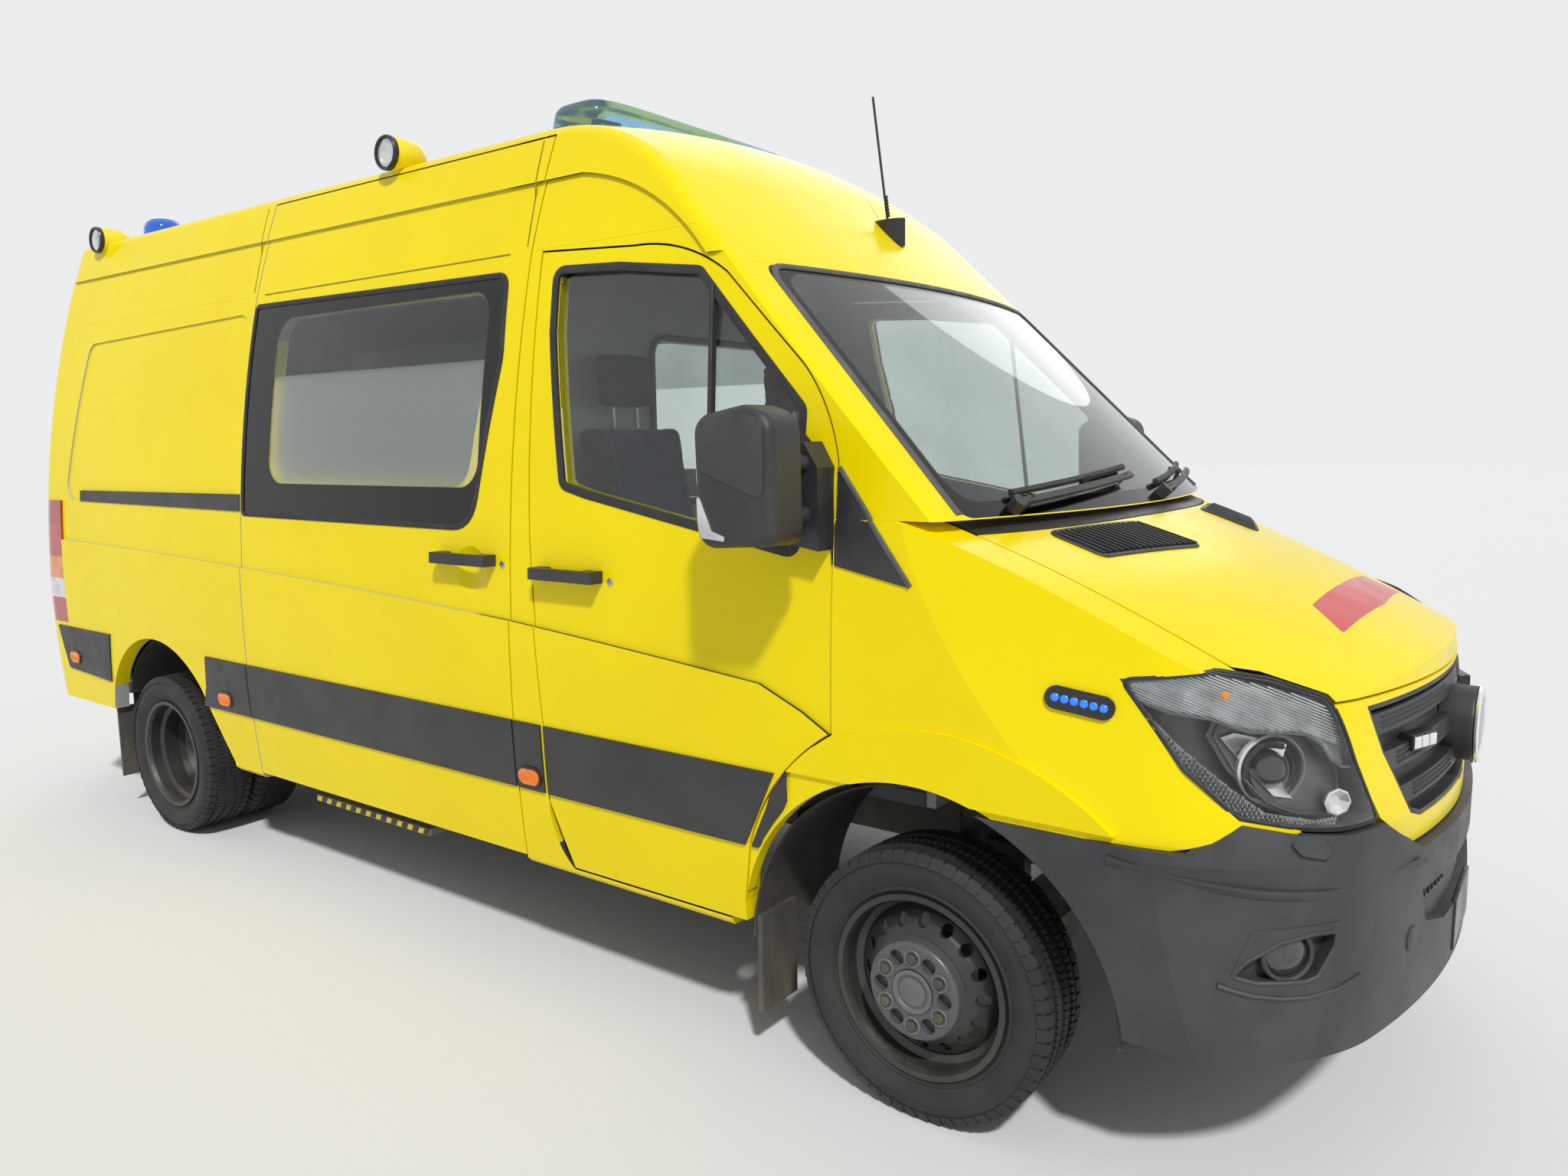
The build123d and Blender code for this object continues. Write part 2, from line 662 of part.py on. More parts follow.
def bonnet_plan(grow):
    with BuildSketch() as plan:
        with BuildLine():
            ThreePointArc((BONNET_CORNER_X, -BONNET_HALF_REAR), (BONNET_MIDDLE_X, 0),
                          (BONNET_CORNER_X, BONNET_HALF_REAR))
            Polyline((BONNET_CORNER_X, BONNET_HALF_REAR), (1150, BONNET_HALF_FRONT),
                     (1150, -BONNET_HALF_FRONT), (BONNET_CORNER_X, -BONNET_HALF_REAR))
        make_face()
        offset(amount=grow)
    return plan.sketch


def upright(plan, low, high):
    """Prism of a plan between two heights."""
    with BuildPart() as prism:
        with BuildSketch(level(low)):
            add(plan)
        extrude(amount=high - low)
    return prism.part


def both(part):
    """A right-hand piece with its left-hand twin."""
    return part + flipped(part)


def two_sided(points):
    """A front-view outline and its mirror image as one closed outline."""
    return shape(*points, *((-y, z) for y, z in reversed(points) if y))


lamp_outline = shape(*HEADLAMP)
bumper_zone = two_sided((*BUMPER_SEAM, (1200, 300), (0, 300)))
with SkipClean():
    lamp_right = nose_full & right_corner_block(lamp_outline, 985, 1300)
    lamp_zone = both(right_corner_block(gap_sketch(lamp_outline, GAP), 800, 1300))
    lamp_seat = both(right_corner_block(gap_sketch(lamp_outline, SEAT_GAP), 800, 1300))
    bonnet_floor = front_block(two_sided(((0, BONNET_LIP_Z), (735, 1104), (762, 1116), (852, 1160),
                                          (1200, 1160), (1200, 300), (0, 300))), -300, 1200)
    bonnet_shell = (nose_shell & upright(bonnet_plan(-GAP / 2), 900, 1700)) - bonnet_floor - lamp_zone
    wing_zone = block(shape((WING_REAR_X + SEAT_GAP, 300), (WING_REAR_X + SEAT_GAP, 800), (-230, 1100),
                            (-230, COWL_SEAM_Z), (1200, COWL_SEAM_Z), (1200, 300)), 1200, -1200)
    front_arch = block(ring_outline(FRONT_ARCH_X, FRONT_ARCH_R, 100), -1200, 1200)
    middle = upright(shape((-700, -855), (-400, -855), (BONNET_CORNER_X, -BONNET_HALF_REAR - GAP / 2),
                           (1150, -BONNET_HALF_FRONT - GAP / 2), (1150, BONNET_HALF_FRONT + GAP / 2),
                           (BONNET_CORNER_X, BONNET_HALF_REAR + GAP / 2), (-400, 855), (-700, 855)),
                     200, 1700)
    bumper_block = front_block(gap_sketch(bumper_zone, SEAT_GAP), 100, 1200)
    side_bumper = block(shape((0, 300), (0, 812), (560, 812), (560, 300)), -1200, 1200)
    wing_foot = block(shape((-600, 200), (-600, 384), (0, 384), (0, 200)), -1200, 1200)
    wings = nose_shell & wing_zone
    for cut in (middle, lamp_seat, bumper_block, side_bumper, front_arch, wing_foot, door_hole,
                flipped(door_hole)):
        wings = wings - cut
    lip = side_layer(ring_outline(FLARE_X, FLARE_R, 830), -FLARE_PROUD, 20, -1200, -800)
    lip = (lip & wing_zone) - front_arch - bumper_block - side_bumper - lamp_seat - door_hole
    wings = wings + both(lip)
    scuttle_zone = upright(bonnet_plan(GAP / 2), 900, 1700)
    scuttle = (nose_shell & upright(shape((-150, -850), (-150, 850), (300, 850), (300, -850)), 1380,
                                    COWL_SEAM_Z)) - scuttle_zone
    surround = (nose_shell & front_block(two_sided(GRILLE_OUTER), 700, 1200)) - front_block(
        two_sided(GRILLE_INNER), 700, 1200) - lamp_seat
    grille_zone = front_block(gap_sketch(two_sided(GRILLE_INNER), -SEAT_GAP), 700, 1200)
    grille = (nose_solid(-3) - nose_solid(-36)) & grille_zone
    with BuildSketch() as slots:
        add(two_sided(GRILLE_INNER))
        offset(amount=-GRILLE_RIM)
        for z, depth in LOUVRES:
            with Locations((0, z)):
                Rectangle(1500, depth, mode=Mode.SUBTRACT)
    grille = grille - (front_block(slots.sketch, 700, 1200) - nose_solid(-28))

# Bumper
def bumper_solid(grow):
    """The front's plan stood proud, drawn in over its top edge."""
    with BuildPart() as solid:
        with BuildSketch(level(BUMPER_BOTTOM_Z)):
            add(nose_plan(grow))
        extrude(amount=BUMPER_TOP_Z - BUMPER_BOTTOM_Z)
        with BuildSketch(level(BUMPER_TOP_Z)):
            add(nose_plan(grow))
        extrude(amount=BUMPER_CHAMFER_Z - BUMPER_TOP_Z + 10, taper=14)
    return solid.part


with SkipClean():
    bumper_arch = block(ring_outline(BUMPER_ARCH_X, BUMPER_ARCH_R, 100), -1200, 1200)
    bumper_side = block(shape((0, 300), (0, 812), (470, 812), (620, 812), (700, 890), (1200, 890),
                              (1200, 300)), 1200, -1200)
    bumper = ((bumper_solid(BUMPER_PROUD) & side_prism(-3)) - (bumper_solid(BUMPER_PROUD - BUMPER_WALL)
              & side_prism(BUMPER_WALL)))
    bumper = (bumper & front_block(gap_sketch(bumper_zone, -SEAT_GAP), 0, 1200) & bumper_side) - bumper_arch
    bumper = bumper - lamp_seat
    fog_zone = right_corner_block(shape(*FOG_RECESS), 900, 1400) - nose_solid(BUMPER_PROUD - 28)
    bumper = bumper - both(fog_zone)
    step_zone = front_block(shape(*STEP_RECESS), 700, 1200) - nose_solid(BUMPER_PROUD - 24)
    bumper = bumper - step_zone
with BuildPart() as fog_lamp:
    with BuildSketch(corner(1, 1000)):
        with Locations((FOG_ACROSS, FOG_Z)):
            Circle(FOG_R)
    extrude(amount=400)
    add(nose_solid(BUMPER_PROUD - 28 + SEAT_GAP), mode=Mode.SUBTRACT)
    add(nose_solid(BUMPER_PROUD - 8), mode=Mode.INTERSECT)

# Wheels: profiles of half width against radius, turned about the axle
HUB_FACE_Y = 806            # outer face of the knuckle's stub
BEAD_Y = 74                 # half width of the tyre at the bead
REAR_INNER_Y, REAR_OUTER_Y = REAR_WHEEL_Y - TWIN_SPACING / 2, REAR_WHEEL_Y + TWIN_SPACING / 2


def wheel_plane(x, y):
    """Half section of a wheel: sketch x is the distance outwards on the right, sketch y the radius."""
    return Plane(origin=at(x, y, WHEEL_Z), x_dir=(0, -1, 0), z_dir=(1, 0, 0))


def turned(x, y, profile):
    """A closed profile turned about a wheel's axle."""
    plane = wheel_plane(x, y)
    with BuildPart() as body:
        with BuildSketch(plane):
            add(profile)
        revolve(axis=Axis(plane.origin, (0, 1, 0)))
    return body.part


def tyre(x, y):
    """Carcass with rounded shoulders and a flat tread, open at the bead."""
    with BuildSketch() as profile:
        with BuildLine():
            bead = Line((-BEAD_Y, RIM_R + 0.5), (-96, 241))
            wall = ThreePointArc(bead @ 1, (-102.5, 280), (-95, 316))
            shoulder = ThreePointArc(wall @ 1, (-88, 331), (-72, 337))
            tread = ThreePointArc(shoulder @ 1, (0, TYRE_R), (72, 337))
            far_shoulder = ThreePointArc(tread @ 1, (88, 331), (95, 316))
            far_wall = ThreePointArc(far_shoulder @ 1, (102.5, 280), (96, 241))
            Polyline(far_wall @ 1, (BEAD_Y, RIM_R + 0.5), (-BEAD_Y, RIM_R + 0.5))
        make_face()
    return turned(x, y, profile.sketch)


def rim(x, y, disc, holes_at, hole_count, hole_r, facing):
    """Well with flanges and a pressed disc; disc is a run of offset outwards and radius."""
    with BuildSketch() as well:
        with BuildLine():
            Polyline((-86, 229), (-92, 229), (-92, 214), (-78, 208), (-40, 206), (-30, 190),
                     (30, 190), (40, 206), (78, 208), (92, 214), (92, 229), (86, 229), (76, RIM_R),
                     (44, RIM_R - 5), (32, 200), (-32, 200), (-44, RIM_R - 5), (-76, RIM_R), (-86, 229))
        make_face()
    with BuildSketch() as pressed:
        with BuildLine():
            Polyline(*disc, *[(across - DISC_T, radius) for across, radius in reversed(disc)], disc[0])
        make_face()
    with BuildPart() as wheel:
        add(turned(x, y, well.sketch))
        add(turned(x, y, pressed.sketch))
        with BuildSketch(Plane(origin=at(x, y, WHEEL_Z), x_dir=(1, 0, 0), z_dir=(0, -1, 0))):
            with PolarLocations(holes_at, hole_count):
                Circle(hole_r)
        extrude(amount=150, both=True, mode=Mode.SUBTRACT)
    if facing > 0:
        return mirror(wheel.part, about=Plane(origin=at(x, y, 0), z_dir=(0, 1, 0)))
    return wheel.part


def rod(start, end, radius):
    """A round bar between two points."""
    with BuildPart() as bar:
        with BuildSketch(Plane(origin=start, z_dir=end - start)):
            Circle(radius)
        extrude(amount=(end - start).length)
    return bar.part


def box(x_range, y_range, z_range, edge=0):
    """A block between two stations, widths and heights, with rounded upright edges."""
    with BuildPart() as solid:
        with BuildSketch(level(z_range[0])):
            with Locations(((x_range[0] + x_range[1]) / 2, (y_range[0] + y_range[1]) / 2)):
                if edge:
                    RectangleRounded(x_range[1] - x_range[0], y_range[1] - y_range[0], edge)
                else:
                    Rectangle(x_range[1] - x_range[0], y_range[1] - y_range[0])
        extrude(amount=z_range[1] - z_range[0])
    return solid.part


DISC_T = 12
TWIN_FACE = TWIN_SPACING / 2 - DISC_T - SEAT_GAP / 2
FRONT_DISC = ((24, 192), (44, 176), (66, 150), (82, 126), (82, 30))
REAR_DISC = ((-20, 195), (-58, 184), (-84, 165), (-TWIN_FACE, 132), (-TWIN_FACE, 62))
FRONT_WHEEL = FRONT_DISC, 158, 16, 15
REAR_WHEEL = REAR_DISC, 150, 8, 22
CAP_R, CAP_T = 122, 34
DRUM_R, HUB_R = 125, 61.7
AXLE_END_Y = 600


def barrel(x, y_near, y_far, z, radius, edge=0):
    """A short cylinder across the vehicle, its far rim rounded."""
    facing = 1 if y_far > y_near else -1
    with BuildPart() as drum:
        with BuildSketch(Plane(origin=at(x, y_near, z), x_dir=(1, 0, 0), z_dir=(0, facing, 0))):
            Circle(radius)
        extrude(amount=abs(y_far - y_near))
        if edge:
            fillet(drum.edges().sort_by(Axis.Y)[-1 if facing > 0 else 0], edge)
    return drum.part


wheels = {}
for name, facing in (("right", -1), ("left", 1)):
    y = facing * FRONT_WHEEL_Y
    flat = FRONT_WHEEL_Y + FRONT_DISC[-1][0]
    wheels[f"tyre_front_{name}"] = tyre(0, y)
    hub = barrel(0, facing * (HUB_FACE_Y + SEAT_GAP), facing * (flat - DISC_T / 2), WHEEL_Z, 90)
    cap = barrel(0, facing * (flat + SEAT_GAP), facing * (flat + CAP_T), WHEEL_Z, CAP_R, 12)
    with BuildPart() as cap_part:
        add(cap)
        with BuildSketch(Plane(origin=at(0, facing * (flat + CAP_T), WHEEL_Z), x_dir=(1, 0, 0),
                               z_dir=(0, facing, 0))):
            with PolarLocations(86, 6):
                Circle(19)
        extrude(amount=-20, mode=Mode.SUBTRACT)
        with BuildSketch(Plane(origin=at(0, facing * (flat + CAP_T), WHEEL_Z), x_dir=(1, 0, 0),
                               z_dir=(0, facing, 0))):
            Circle(56)
            Circle(48, mode=Mode.SUBTRACT)
        extrude(amount=-4, mode=Mode.SUBTRACT)
    wheels[f"rim_front_{name}"] = (rim(0, y, *FRONT_WHEEL, facing) + hub) + cap_part.part
    y_in, y_out = facing * REAR_INNER_Y, facing * REAR_OUTER_Y
    wheels[f"tyres_rear_{name}"] = tyre(-WHEELBASE, y_in) + tyre(-WHEELBASE, y_out)
    drum = (barrel(-WHEELBASE, facing * (AXLE_END_Y + SEAT_GAP), facing * (REAR_WHEEL_Y - DISC_T - 1),
                   WHEEL_Z, DRUM_R)
            + barrel(-WHEELBASE, facing * AXLE_END_Y + facing, facing * (REAR_WHEEL_Y + 62), WHEEL_Z, HUB_R,
                     10))
    wheels[f"rims_rear_{name}"] = (rim(-WHEELBASE, y_in, *REAR_WHEEL, -facing)
                                   + rim(-WHEELBASE, y_out, *REAR_WHEEL, facing) + drum)

# Front suspension, steering and axles
KNUCKLE_LOW, KNUCKLE_HIGH = 240, 440
ARM_T = 24
SPRING_END_Z = 482
RAIL_OUT_Y = 438            # outer face of the chassis rails
RAIL_REAR_X = REAR_X + WALL + 30
STRUT_Y = 665


def disc(x, y, low, high, radius):
    with BuildPart() as piece:
        with BuildSketch(level(low)):
            with Locations((x, y)):
                Circle(radius)
        extrude(amount=high - low)
    return piece.part


def knuckle(facing):
    post = disc(0, facing * KINGPIN_Y, KNUCKLE_LOW, KNUCKLE_HIGH, 28)
    stub = barrel(0, facing * (KINGPIN_Y - 26), facing * HUB_FACE_Y, WHEEL_Z, 60)
    return post + stub


def arm_pair(facing):
    """Upper and lower arms that hold a knuckle, and the strut over them."""
    pieces = None
    for low in (KNUCKLE_LOW - ARM_T - SEAT_GAP, KNUCKLE_HIGH + SEAT_GAP):
        y_range = sorted((facing * 470, facing * KINGPIN_Y))
        arm = box((-26, 26), y_range, (low, low + ARM_T)) + disc(0, facing * KINGPIN_Y, low, low + ARM_T, 32)
        pieces = arm if pieces is None else pieces + arm
    strut = disc(0, facing * STRUT_Y, KNUCKLE_HIGH + SEAT_GAP + ARM_T / 2, 828, 34)
    return pieces + strut


subframe = box((-90, 90), (-480, 480), (210, 300), 20) + arm_pair(1) + arm_pair(-1)
for facing in (1, -1):
    post_y = sorted((facing * (RAIL_OUT_Y + SEAT_GAP), facing * 480))
    subframe = subframe + box((-60, 60), post_y, (250, 560))
rails = None
for facing in (1, -1):
    y_range = sorted((facing * 380, facing * RAIL_OUT_Y))
    rail = box((RAIL_REAR_X, 860), y_range, (500, FLOOR_Z - FLOOR_T - SEAT_GAP))
    rails = rail if rails is None else rails + rail
for x in (-4680, -2400, -800, 780):
    rails = rails + box((x, x + 70), (-400, 400), (520, 600))
for facing in (1, -1):
    for x in (-4330, -3040):
        y_range = sorted((facing * 430, facing * 535))
        rails = rails + box((x, x + 40), y_range, (SPRING_END_Z + SEAT_GAP, 530))
DIFF_REACH = 190            # how far the differential stands forward of the axle
rear_axle = (rod(at(-WHEELBASE, -AXLE_END_Y, WHEEL_Z), at(-WHEELBASE, AXLE_END_Y, WHEEL_Z), 48)
             + rod(at(-WHEELBASE - 110, 0, WHEEL_Z), at(-WHEELBASE + DIFF_REACH, 0, WHEEL_Z), 105))
spring_arc = ((-4330, SPRING_END_Z), (-WHEELBASE, 436.3), (-3000, SPRING_END_Z))


def leaf_spring(facing):
    """Three leaves, each shorter than the one above, on the axle."""
    stack = None
    for i, cut in enumerate((0, 180, 360)):
        with BuildPart() as leaf:
            with BuildSketch(side(facing * 535)):
                with BuildLine():
                    (x0, z0), (x1, z1), (x2, _) = spring_arc
                    rise = (z0 - z1) * (1 - (cut / (x2 - x0) * 2)) ** 2
                    top = ThreePointArc((x0 + cut, z1 + rise - 16 * i), (x1, z1 - 16 * i),
                                        (x2 - cut, z1 + rise - 16 * i))
                    low = ThreePointArc((x0 + cut, z1 + rise - 16 * i - 16), (x1, z1 - 16 * i - 16),
                                        (x2 - cut, z1 + rise - 16 * i - 16))
                    Line(top @ 0, low @ 0)
                    Line(top @ 1, low @ 1)
                make_face()
            extrude(amount=75 * facing)
        stack = leaf.part if stack is None else stack + leaf.part
    return stack


springs = None
for facing in (1, -1):
    spring = leaf_spring(facing)
    springs = spring if springs is None else springs + spring

# Floor, firewall and wheel houses
LINER_R, LINER_T = 490, 6
LINER_IN_Y = 560
HOUSE_R, HOUSE_T = 500, 8
HOUSE_IN_Y = 520
CAB_FLOOR_Y = 912
LOAD_FLOOR_Y = half_width(FLOOR_Z - FLOOR_T / 2) - SIDE_STEP - WALL - 3
FIREWALL_X = -200
with BuildPart() as load_floor:
    add(box((REAR_X + 60, B_REAR_X), (-LOAD_FLOOR_Y, LOAD_FLOOR_Y), (FLOOR_Z - FLOOR_T, FLOOR_Z)))
    fillet(load_floor.edges().filter_by(Axis.Z).group_by(Axis.X)[0], REAR_CORNER_R - WALL - 5)
floor_pan = load_floor.part
floor_pan = floor_pan + box((B_REAR_X, FIREWALL_X - SEAT_GAP), (-CAB_FLOOR_Y, CAB_FLOOR_Y),
                            (FLOOR_Z - FLOOR_T, FLOOR_Z))
house_reach = HOUSE_R + HOUSE_T + SEAT_GAP
for facing in (1, -1):
    house_y = sorted((facing * (HOUSE_IN_Y - SEAT_GAP), facing * 1000))
    floor_pan = floor_pan - box((-WHEELBASE - house_reach, -WHEELBASE + house_reach), house_y, (600, 700))
    liner_y = sorted((facing * (LINER_IN_Y - 5), facing * 1000))
    floor_pan = floor_pan - box((-405, 0), liner_y, (600, 700))
    edge_y = sorted((facing * (CAB_FLOOR_Y - 40), facing * 1000))
    floor_pan = floor_pan - box((-1300, -405), edge_y, (600, 700))


def half_barrel(x, radius, thickness, y_near, y_far, low_z, wall=0):
    """The upper half of a drum across the vehicle, with a wall at its inner end."""
    facing = 1 if y_far > y_near else -1
    plane = Plane(origin=at(x, y_near, WHEEL_Z), x_dir=(1, 0, 0), z_dir=(0, facing, 0))
    with BuildPart() as drum:
        with BuildSketch(plane):
            Circle(radius + thickness)
        extrude(amount=abs(y_far - y_near))
        with BuildSketch(plane):
            Circle(radius)
        extrude(amount=abs(y_far - y_near) if not wall else 0.001, mode=Mode.SUBTRACT)
        if wall:
            with BuildSketch(plane.offset(wall)):
                Circle(radius)
            extrude(amount=abs(y_far - y_near), mode=Mode.SUBTRACT)
    return drum.part - box((x - 700, x + 700), (-1100, 1100), (-300, low_z))


HOUSE_LOW_Z = FLOOR_Z - FLOOR_T - 100
HOUSE_OUT_Y = half_width(HOUSE_LOW_Z) - WALL - SIDE_STEP - SEAT_GAP
wheel_houses = (half_barrel(-WHEELBASE, HOUSE_R, HOUSE_T, HOUSE_IN_Y, HOUSE_OUT_Y, HOUSE_LOW_Z)
                + half_barrel(-WHEELBASE, HOUSE_R, HOUSE_T, -HOUSE_IN_Y, -HOUSE_OUT_Y, HOUSE_LOW_Z))
for facing in (1, -1):
    house_wall = barrel(-WHEELBASE, facing * HOUSE_IN_Y, facing * (HOUSE_IN_Y + HOUSE_T), WHEEL_Z,
                        HOUSE_R + HOUSE_T / 2)
    wheel_houses = wheel_houses + (house_wall - box((-5000, 0), (-1100, 1100),
                                                    (-300, FLOOR_Z - FLOOR_T - 30)))
wheel_liners = (half_barrel(0, LINER_R, LINER_T, LINER_IN_Y, 948, WHEEL_Z)
                + half_barrel(0, LINER_R, LINER_T, -LINER_IN_Y, -948, WHEEL_Z))
WING_IN_Y = half_width(1380) - NOSE_WALL - SEAT_GAP
firewall = (box((FIREWALL_X, FIREWALL_X + 30), (-WING_IN_Y, WING_IN_Y), (850, 1380))
            + box((FIREWALL_X, FIREWALL_X + 30), (-550, 550), (FLOOR_Z - FLOOR_T, 850)))

# Engine, exhaust, tank, propshaft
ENGINE_REAR_X = 130
CARRIER_Y = 380             # inner face of the rails, where the engine's carrier ends
engine = (box((ENGINE_REAR_X, 740), (-260, 260), (420, 1000), 40)
          + box((400, 480), (-CARRIER_Y + SEAT_GAP, CARRIER_Y - SEAT_GAP), (520, 600)))
SHAFT_GAP = 1.5             # lets the slanted ends clear the faces they meet
propshaft = rod(at(ENGINE_REAR_X - SHAFT_GAP, 0, 470),
                at(-WHEELBASE + DIFF_REACH + SHAFT_GAP, 0, WHEEL_Z + 20), 38)
tank = box((-2300, -1500), (500, 860), (400, FLOOR_Z - FLOOR_T - SEAT_GAP), 60)
EXHAUST_Y, EXHAUST_Z = -312.5, 440
exhaust = (rod(at(-700, EXHAUST_Y, EXHAUST_Z), at(-2900, EXHAUST_Y, EXHAUST_Z), 30)
           + rod(at(-1500, EXHAUST_Y, EXHAUST_Z), at(-2100, EXHAUST_Y, EXHAUST_Z), 90))

# Bulkhead behind the cab, with a framed window
BULKHEAD_X = -1500
with BuildSketch() as bulkhead_outline:
    add(side_section(SIDE_STEP + WALL + 8))
    with Locations((0, 0)):
        Rectangle(3000, 2 * (FLOOR_Z + SEAT_GAP), mode=Mode.SUBTRACT)
    with Locations((0, 3000)):
        Rectangle(3000, 2 * (3000 - ROOF_Z + ROOF_WALL + 70), mode=Mode.SUBTRACT)
    with Locations((200, 1720)):
        RectangleRounded(800, 560, 60, mode=Mode.SUBTRACT)
bulkhead = front_block(bulkhead_outline.sketch, BULKHEAD_X - 30, BULKHEAD_X)

# Dashboard, seats and steering wheel
WHEEL_AT = (-480, 430, 1180)
COLUMN_TILT = 28            # column slope from level, degrees
DASH_REAR_X = FIREWALL_X - SEAT_GAP
with BuildPart() as dashboard:
    with BuildSketch(side(880)):
        with BuildLine():
            Polyline((DASH_REAR_X, 1395), (DASH_REAR_X, 900), (-330, 900), (-400, 1060), (-400, 1200),
                     (-380, 1262))
            ThreePointArc((-380, 1262), (-300, 1330), (DASH_REAR_X, 1395))
        make_face()
    extrude(amount=2 * 880)
SEATS = ((-450, 500), (450, 500))         # half width, overall width
seat_parts = None
for y, width in SEATS:
    for piece in (box((-1250, -760), (y - width / 2, y + width / 2), (930, 1060), 50),
                  box((-1200, -850), (y - 180, y + 180), (FLOOR_Z + SEAT_GAP, 940), 20)):
        seat_parts = piece if seat_parts is None else seat_parts + piece
    with BuildPart() as back:
        with BuildSketch(side(y + width / 2 - 10)):
            with BuildLine():
                FilletPolyline((-1180, 1040), (-1300, 1060), (-1430, 1720), (-1330, 1730), radius=40,
                               close=True)
            make_face()
        extrude(amount=width - 20)
        with BuildSketch(side(y + 120)):
            with BuildLine():
                FilletPolyline((-1350, 1745), (-1440, 1745), (-1450, 1945), (-1370, 1945), radius=25,
                               close=True)
            make_face()
        extrude(amount=240)
    posts = (box((-1400, -1380), (y - 70, y - 50), (1700, 1760))
             + box((-1400, -1380), (y + 50, y + 70), (1700, 1760)))
    seat_parts = seat_parts + back.part + posts
column_axis = Vector(-cos(radians(COLUMN_TILT)), 0, sin(radians(COLUMN_TILT)))
with BuildPart() as steering_wheel:
    hub_plane = Plane(origin=at(*WHEEL_AT), x_dir=(0, 1, 0), z_dir=column_axis)
    with BuildSketch(Plane(origin=at(*WHEEL_AT), x_dir=(0, 1, 0), z_dir=column_axis.cross(Vector(0, 1, 0)))):
        with Locations((190, 0)):
            Circle(15)
    revolve(axis=Axis(hub_plane.origin, column_axis))
    with BuildSketch(hub_plane.offset(-20)):
        Circle(60)
        for spoke in (0, 180, 270):
            with PolarLocations(110, 1, start_angle=spoke):
                Rectangle(150, 36)
    extrude(amount=26)
dashboard_column = dashboard.part + rod(at(*WHEEL_AT) - column_axis * (20 + SEAT_GAP),
                                        at(*WHEEL_AT) - column_axis * 140, 32)

# Load space
lining = side_prism(SIDE_STEP + WALL + SEAT_GAP)
cupboard = (box((-4500, -1700), (540, 1000), (860, 1290))
            + box((-3100, -1700), (600, 860), (FLOOR_Z + SEAT_GAP, 870)))
cupboard = (cupboard & lining) + (box((-4500, -3000), (560, 1000), (1900, 2180)) & lining)
table = (box((-4500, -2500), (-330, 250), (1080, 1180), 60)
         + box((-4400, -2600), (-250, 170), (FLOOR_Z + SEAT_GAP, 1080), 20))

# Roof fittings
BAR_X, BAR_DEPTH, BAR_HALF, BAR_TOP_Z = -1510, 290, 555, 2718


def roof_seat(plan, top_z):
    """A fitting stood on the roof skin: its plan up to a height, cut to the crown."""
    with SkipClean():
        return upright(plan, 2500, top_z) & roof_cutter(-SEAT_GAP)


with BuildSketch() as bar_plan:
    with Locations((BAR_X, 0)):
        RectangleRounded(BAR_DEPTH, 2 * BAR_HALF, 60)
with BuildPart() as light_bar:
    add(roof_seat(bar_plan.sketch, BAR_TOP_Z))
with BuildSketch() as beacon_plan:
    with Locations((-4600, 375), (-4600, -375)):
        Circle(98)
rear_beacons = roof_seat(beacon_plan.sketch, 2770)
pods = None
for x, z in ((-2150, 2625), (-4370, 2590)):
    for facing in (1, -1):
        pod = barrel(x, facing * 640, facing * 800, z, 58, 10)
        pods = pod if pods is None else pods + pod
with SkipClean():
    pods = pods - hull(0)
with BuildSketch() as fin_plan:
    with Locations((-650, 0)):
        Ellipse(57, 22)
aerial = upright(fin_plan.sketch, 2250, 2335) + rod(at(-655, 0, 2320), at(-711, 0, 2719), 4)
with SkipClean():
    aerial = aerial & roof_cutter(-SEAT_GAP)

# Mouldings: side-view corners, on each panel of the right side
DOOR_MOULDING = ((-385, MOULD_TOP), (-488, MOULD_LOW), (-1237, MOULD_LOW), (-1237, MOULD_TOP))
POST_MOULDING = ((-1252, MOULD_TOP), (-1252, MOULD_LOW), (B_REAR_X + 4, MOULD_LOW),
                 (B_REAR_X + 4, MOULD_TOP))
SLIDE_MOULDING = ((B_REAR_X - 4, MOULD_TOP), (B_REAR_X - 4, MOULD_LOW), (SLIDE_REAR_X + 4, MOULD_LOW),
                  (SLIDE_REAR_X + 4, MOULD_TOP))
QUARTER_MOULDINGS = (((SLIDE_REAR_X - 4, MOULD_TOP), (SLIDE_REAR_X - 4, MOULD_LOW), (-3290, MOULD_LOW),
                      (-3255, 690), (-3238, MOULD_TOP)),
                     ((-4088, MOULD_TOP + 10), (-4135, MOULD_LOW), (-4560, MOULD_LOW + 20),
                      (-4620, MOULD_TOP + 10)))


def moulding(points):
    return side_layer(shape(*points), -MOULDING_PROUD, -SEAT_GAP)


def gathered(pieces):
    """Several pieces that do not touch, as one."""
    whole = None
    for piece in pieces:
        whole = piece if whole is None else whole + piece
    return whole


door_moulding = moulding(DOOR_MOULDING)
side_trim = gathered([moulding(points) for points in (POST_MOULDING, SLIDE_MOULDING, *QUARTER_MOULDINGS)])
rail_outline = shape((-2932, 1404), (-4324, 1414), (-4324, 1462), (-2932, 1468))
rail_trim = side_layer(rail_outline, SIDE_STEP - 4, SIDE_STEP + RAIL_SEAT - SEAT_GAP)
rail_seat = side_recess(gap_sketch(rail_outline, SEAT_GAP), SIDE_STEP + RAIL_SEAT)

# Round-ended lamps on the sides: station, height, length, height
BLUE_LAMP = (395, 1093, 148, 50)
BLUE_TILT = -8
AMBERS = ((-1311, 649), (-3110, 656), (-4470, 685))


def side_lamp(x, z, length, tall, inner, outer, tilt=0):
    with BuildSketch() as outline:
        with Locations(Location((x, z), tilt)):
            SlotOverall(length, tall)
    return side_layer(outline.sketch, outer, inner)


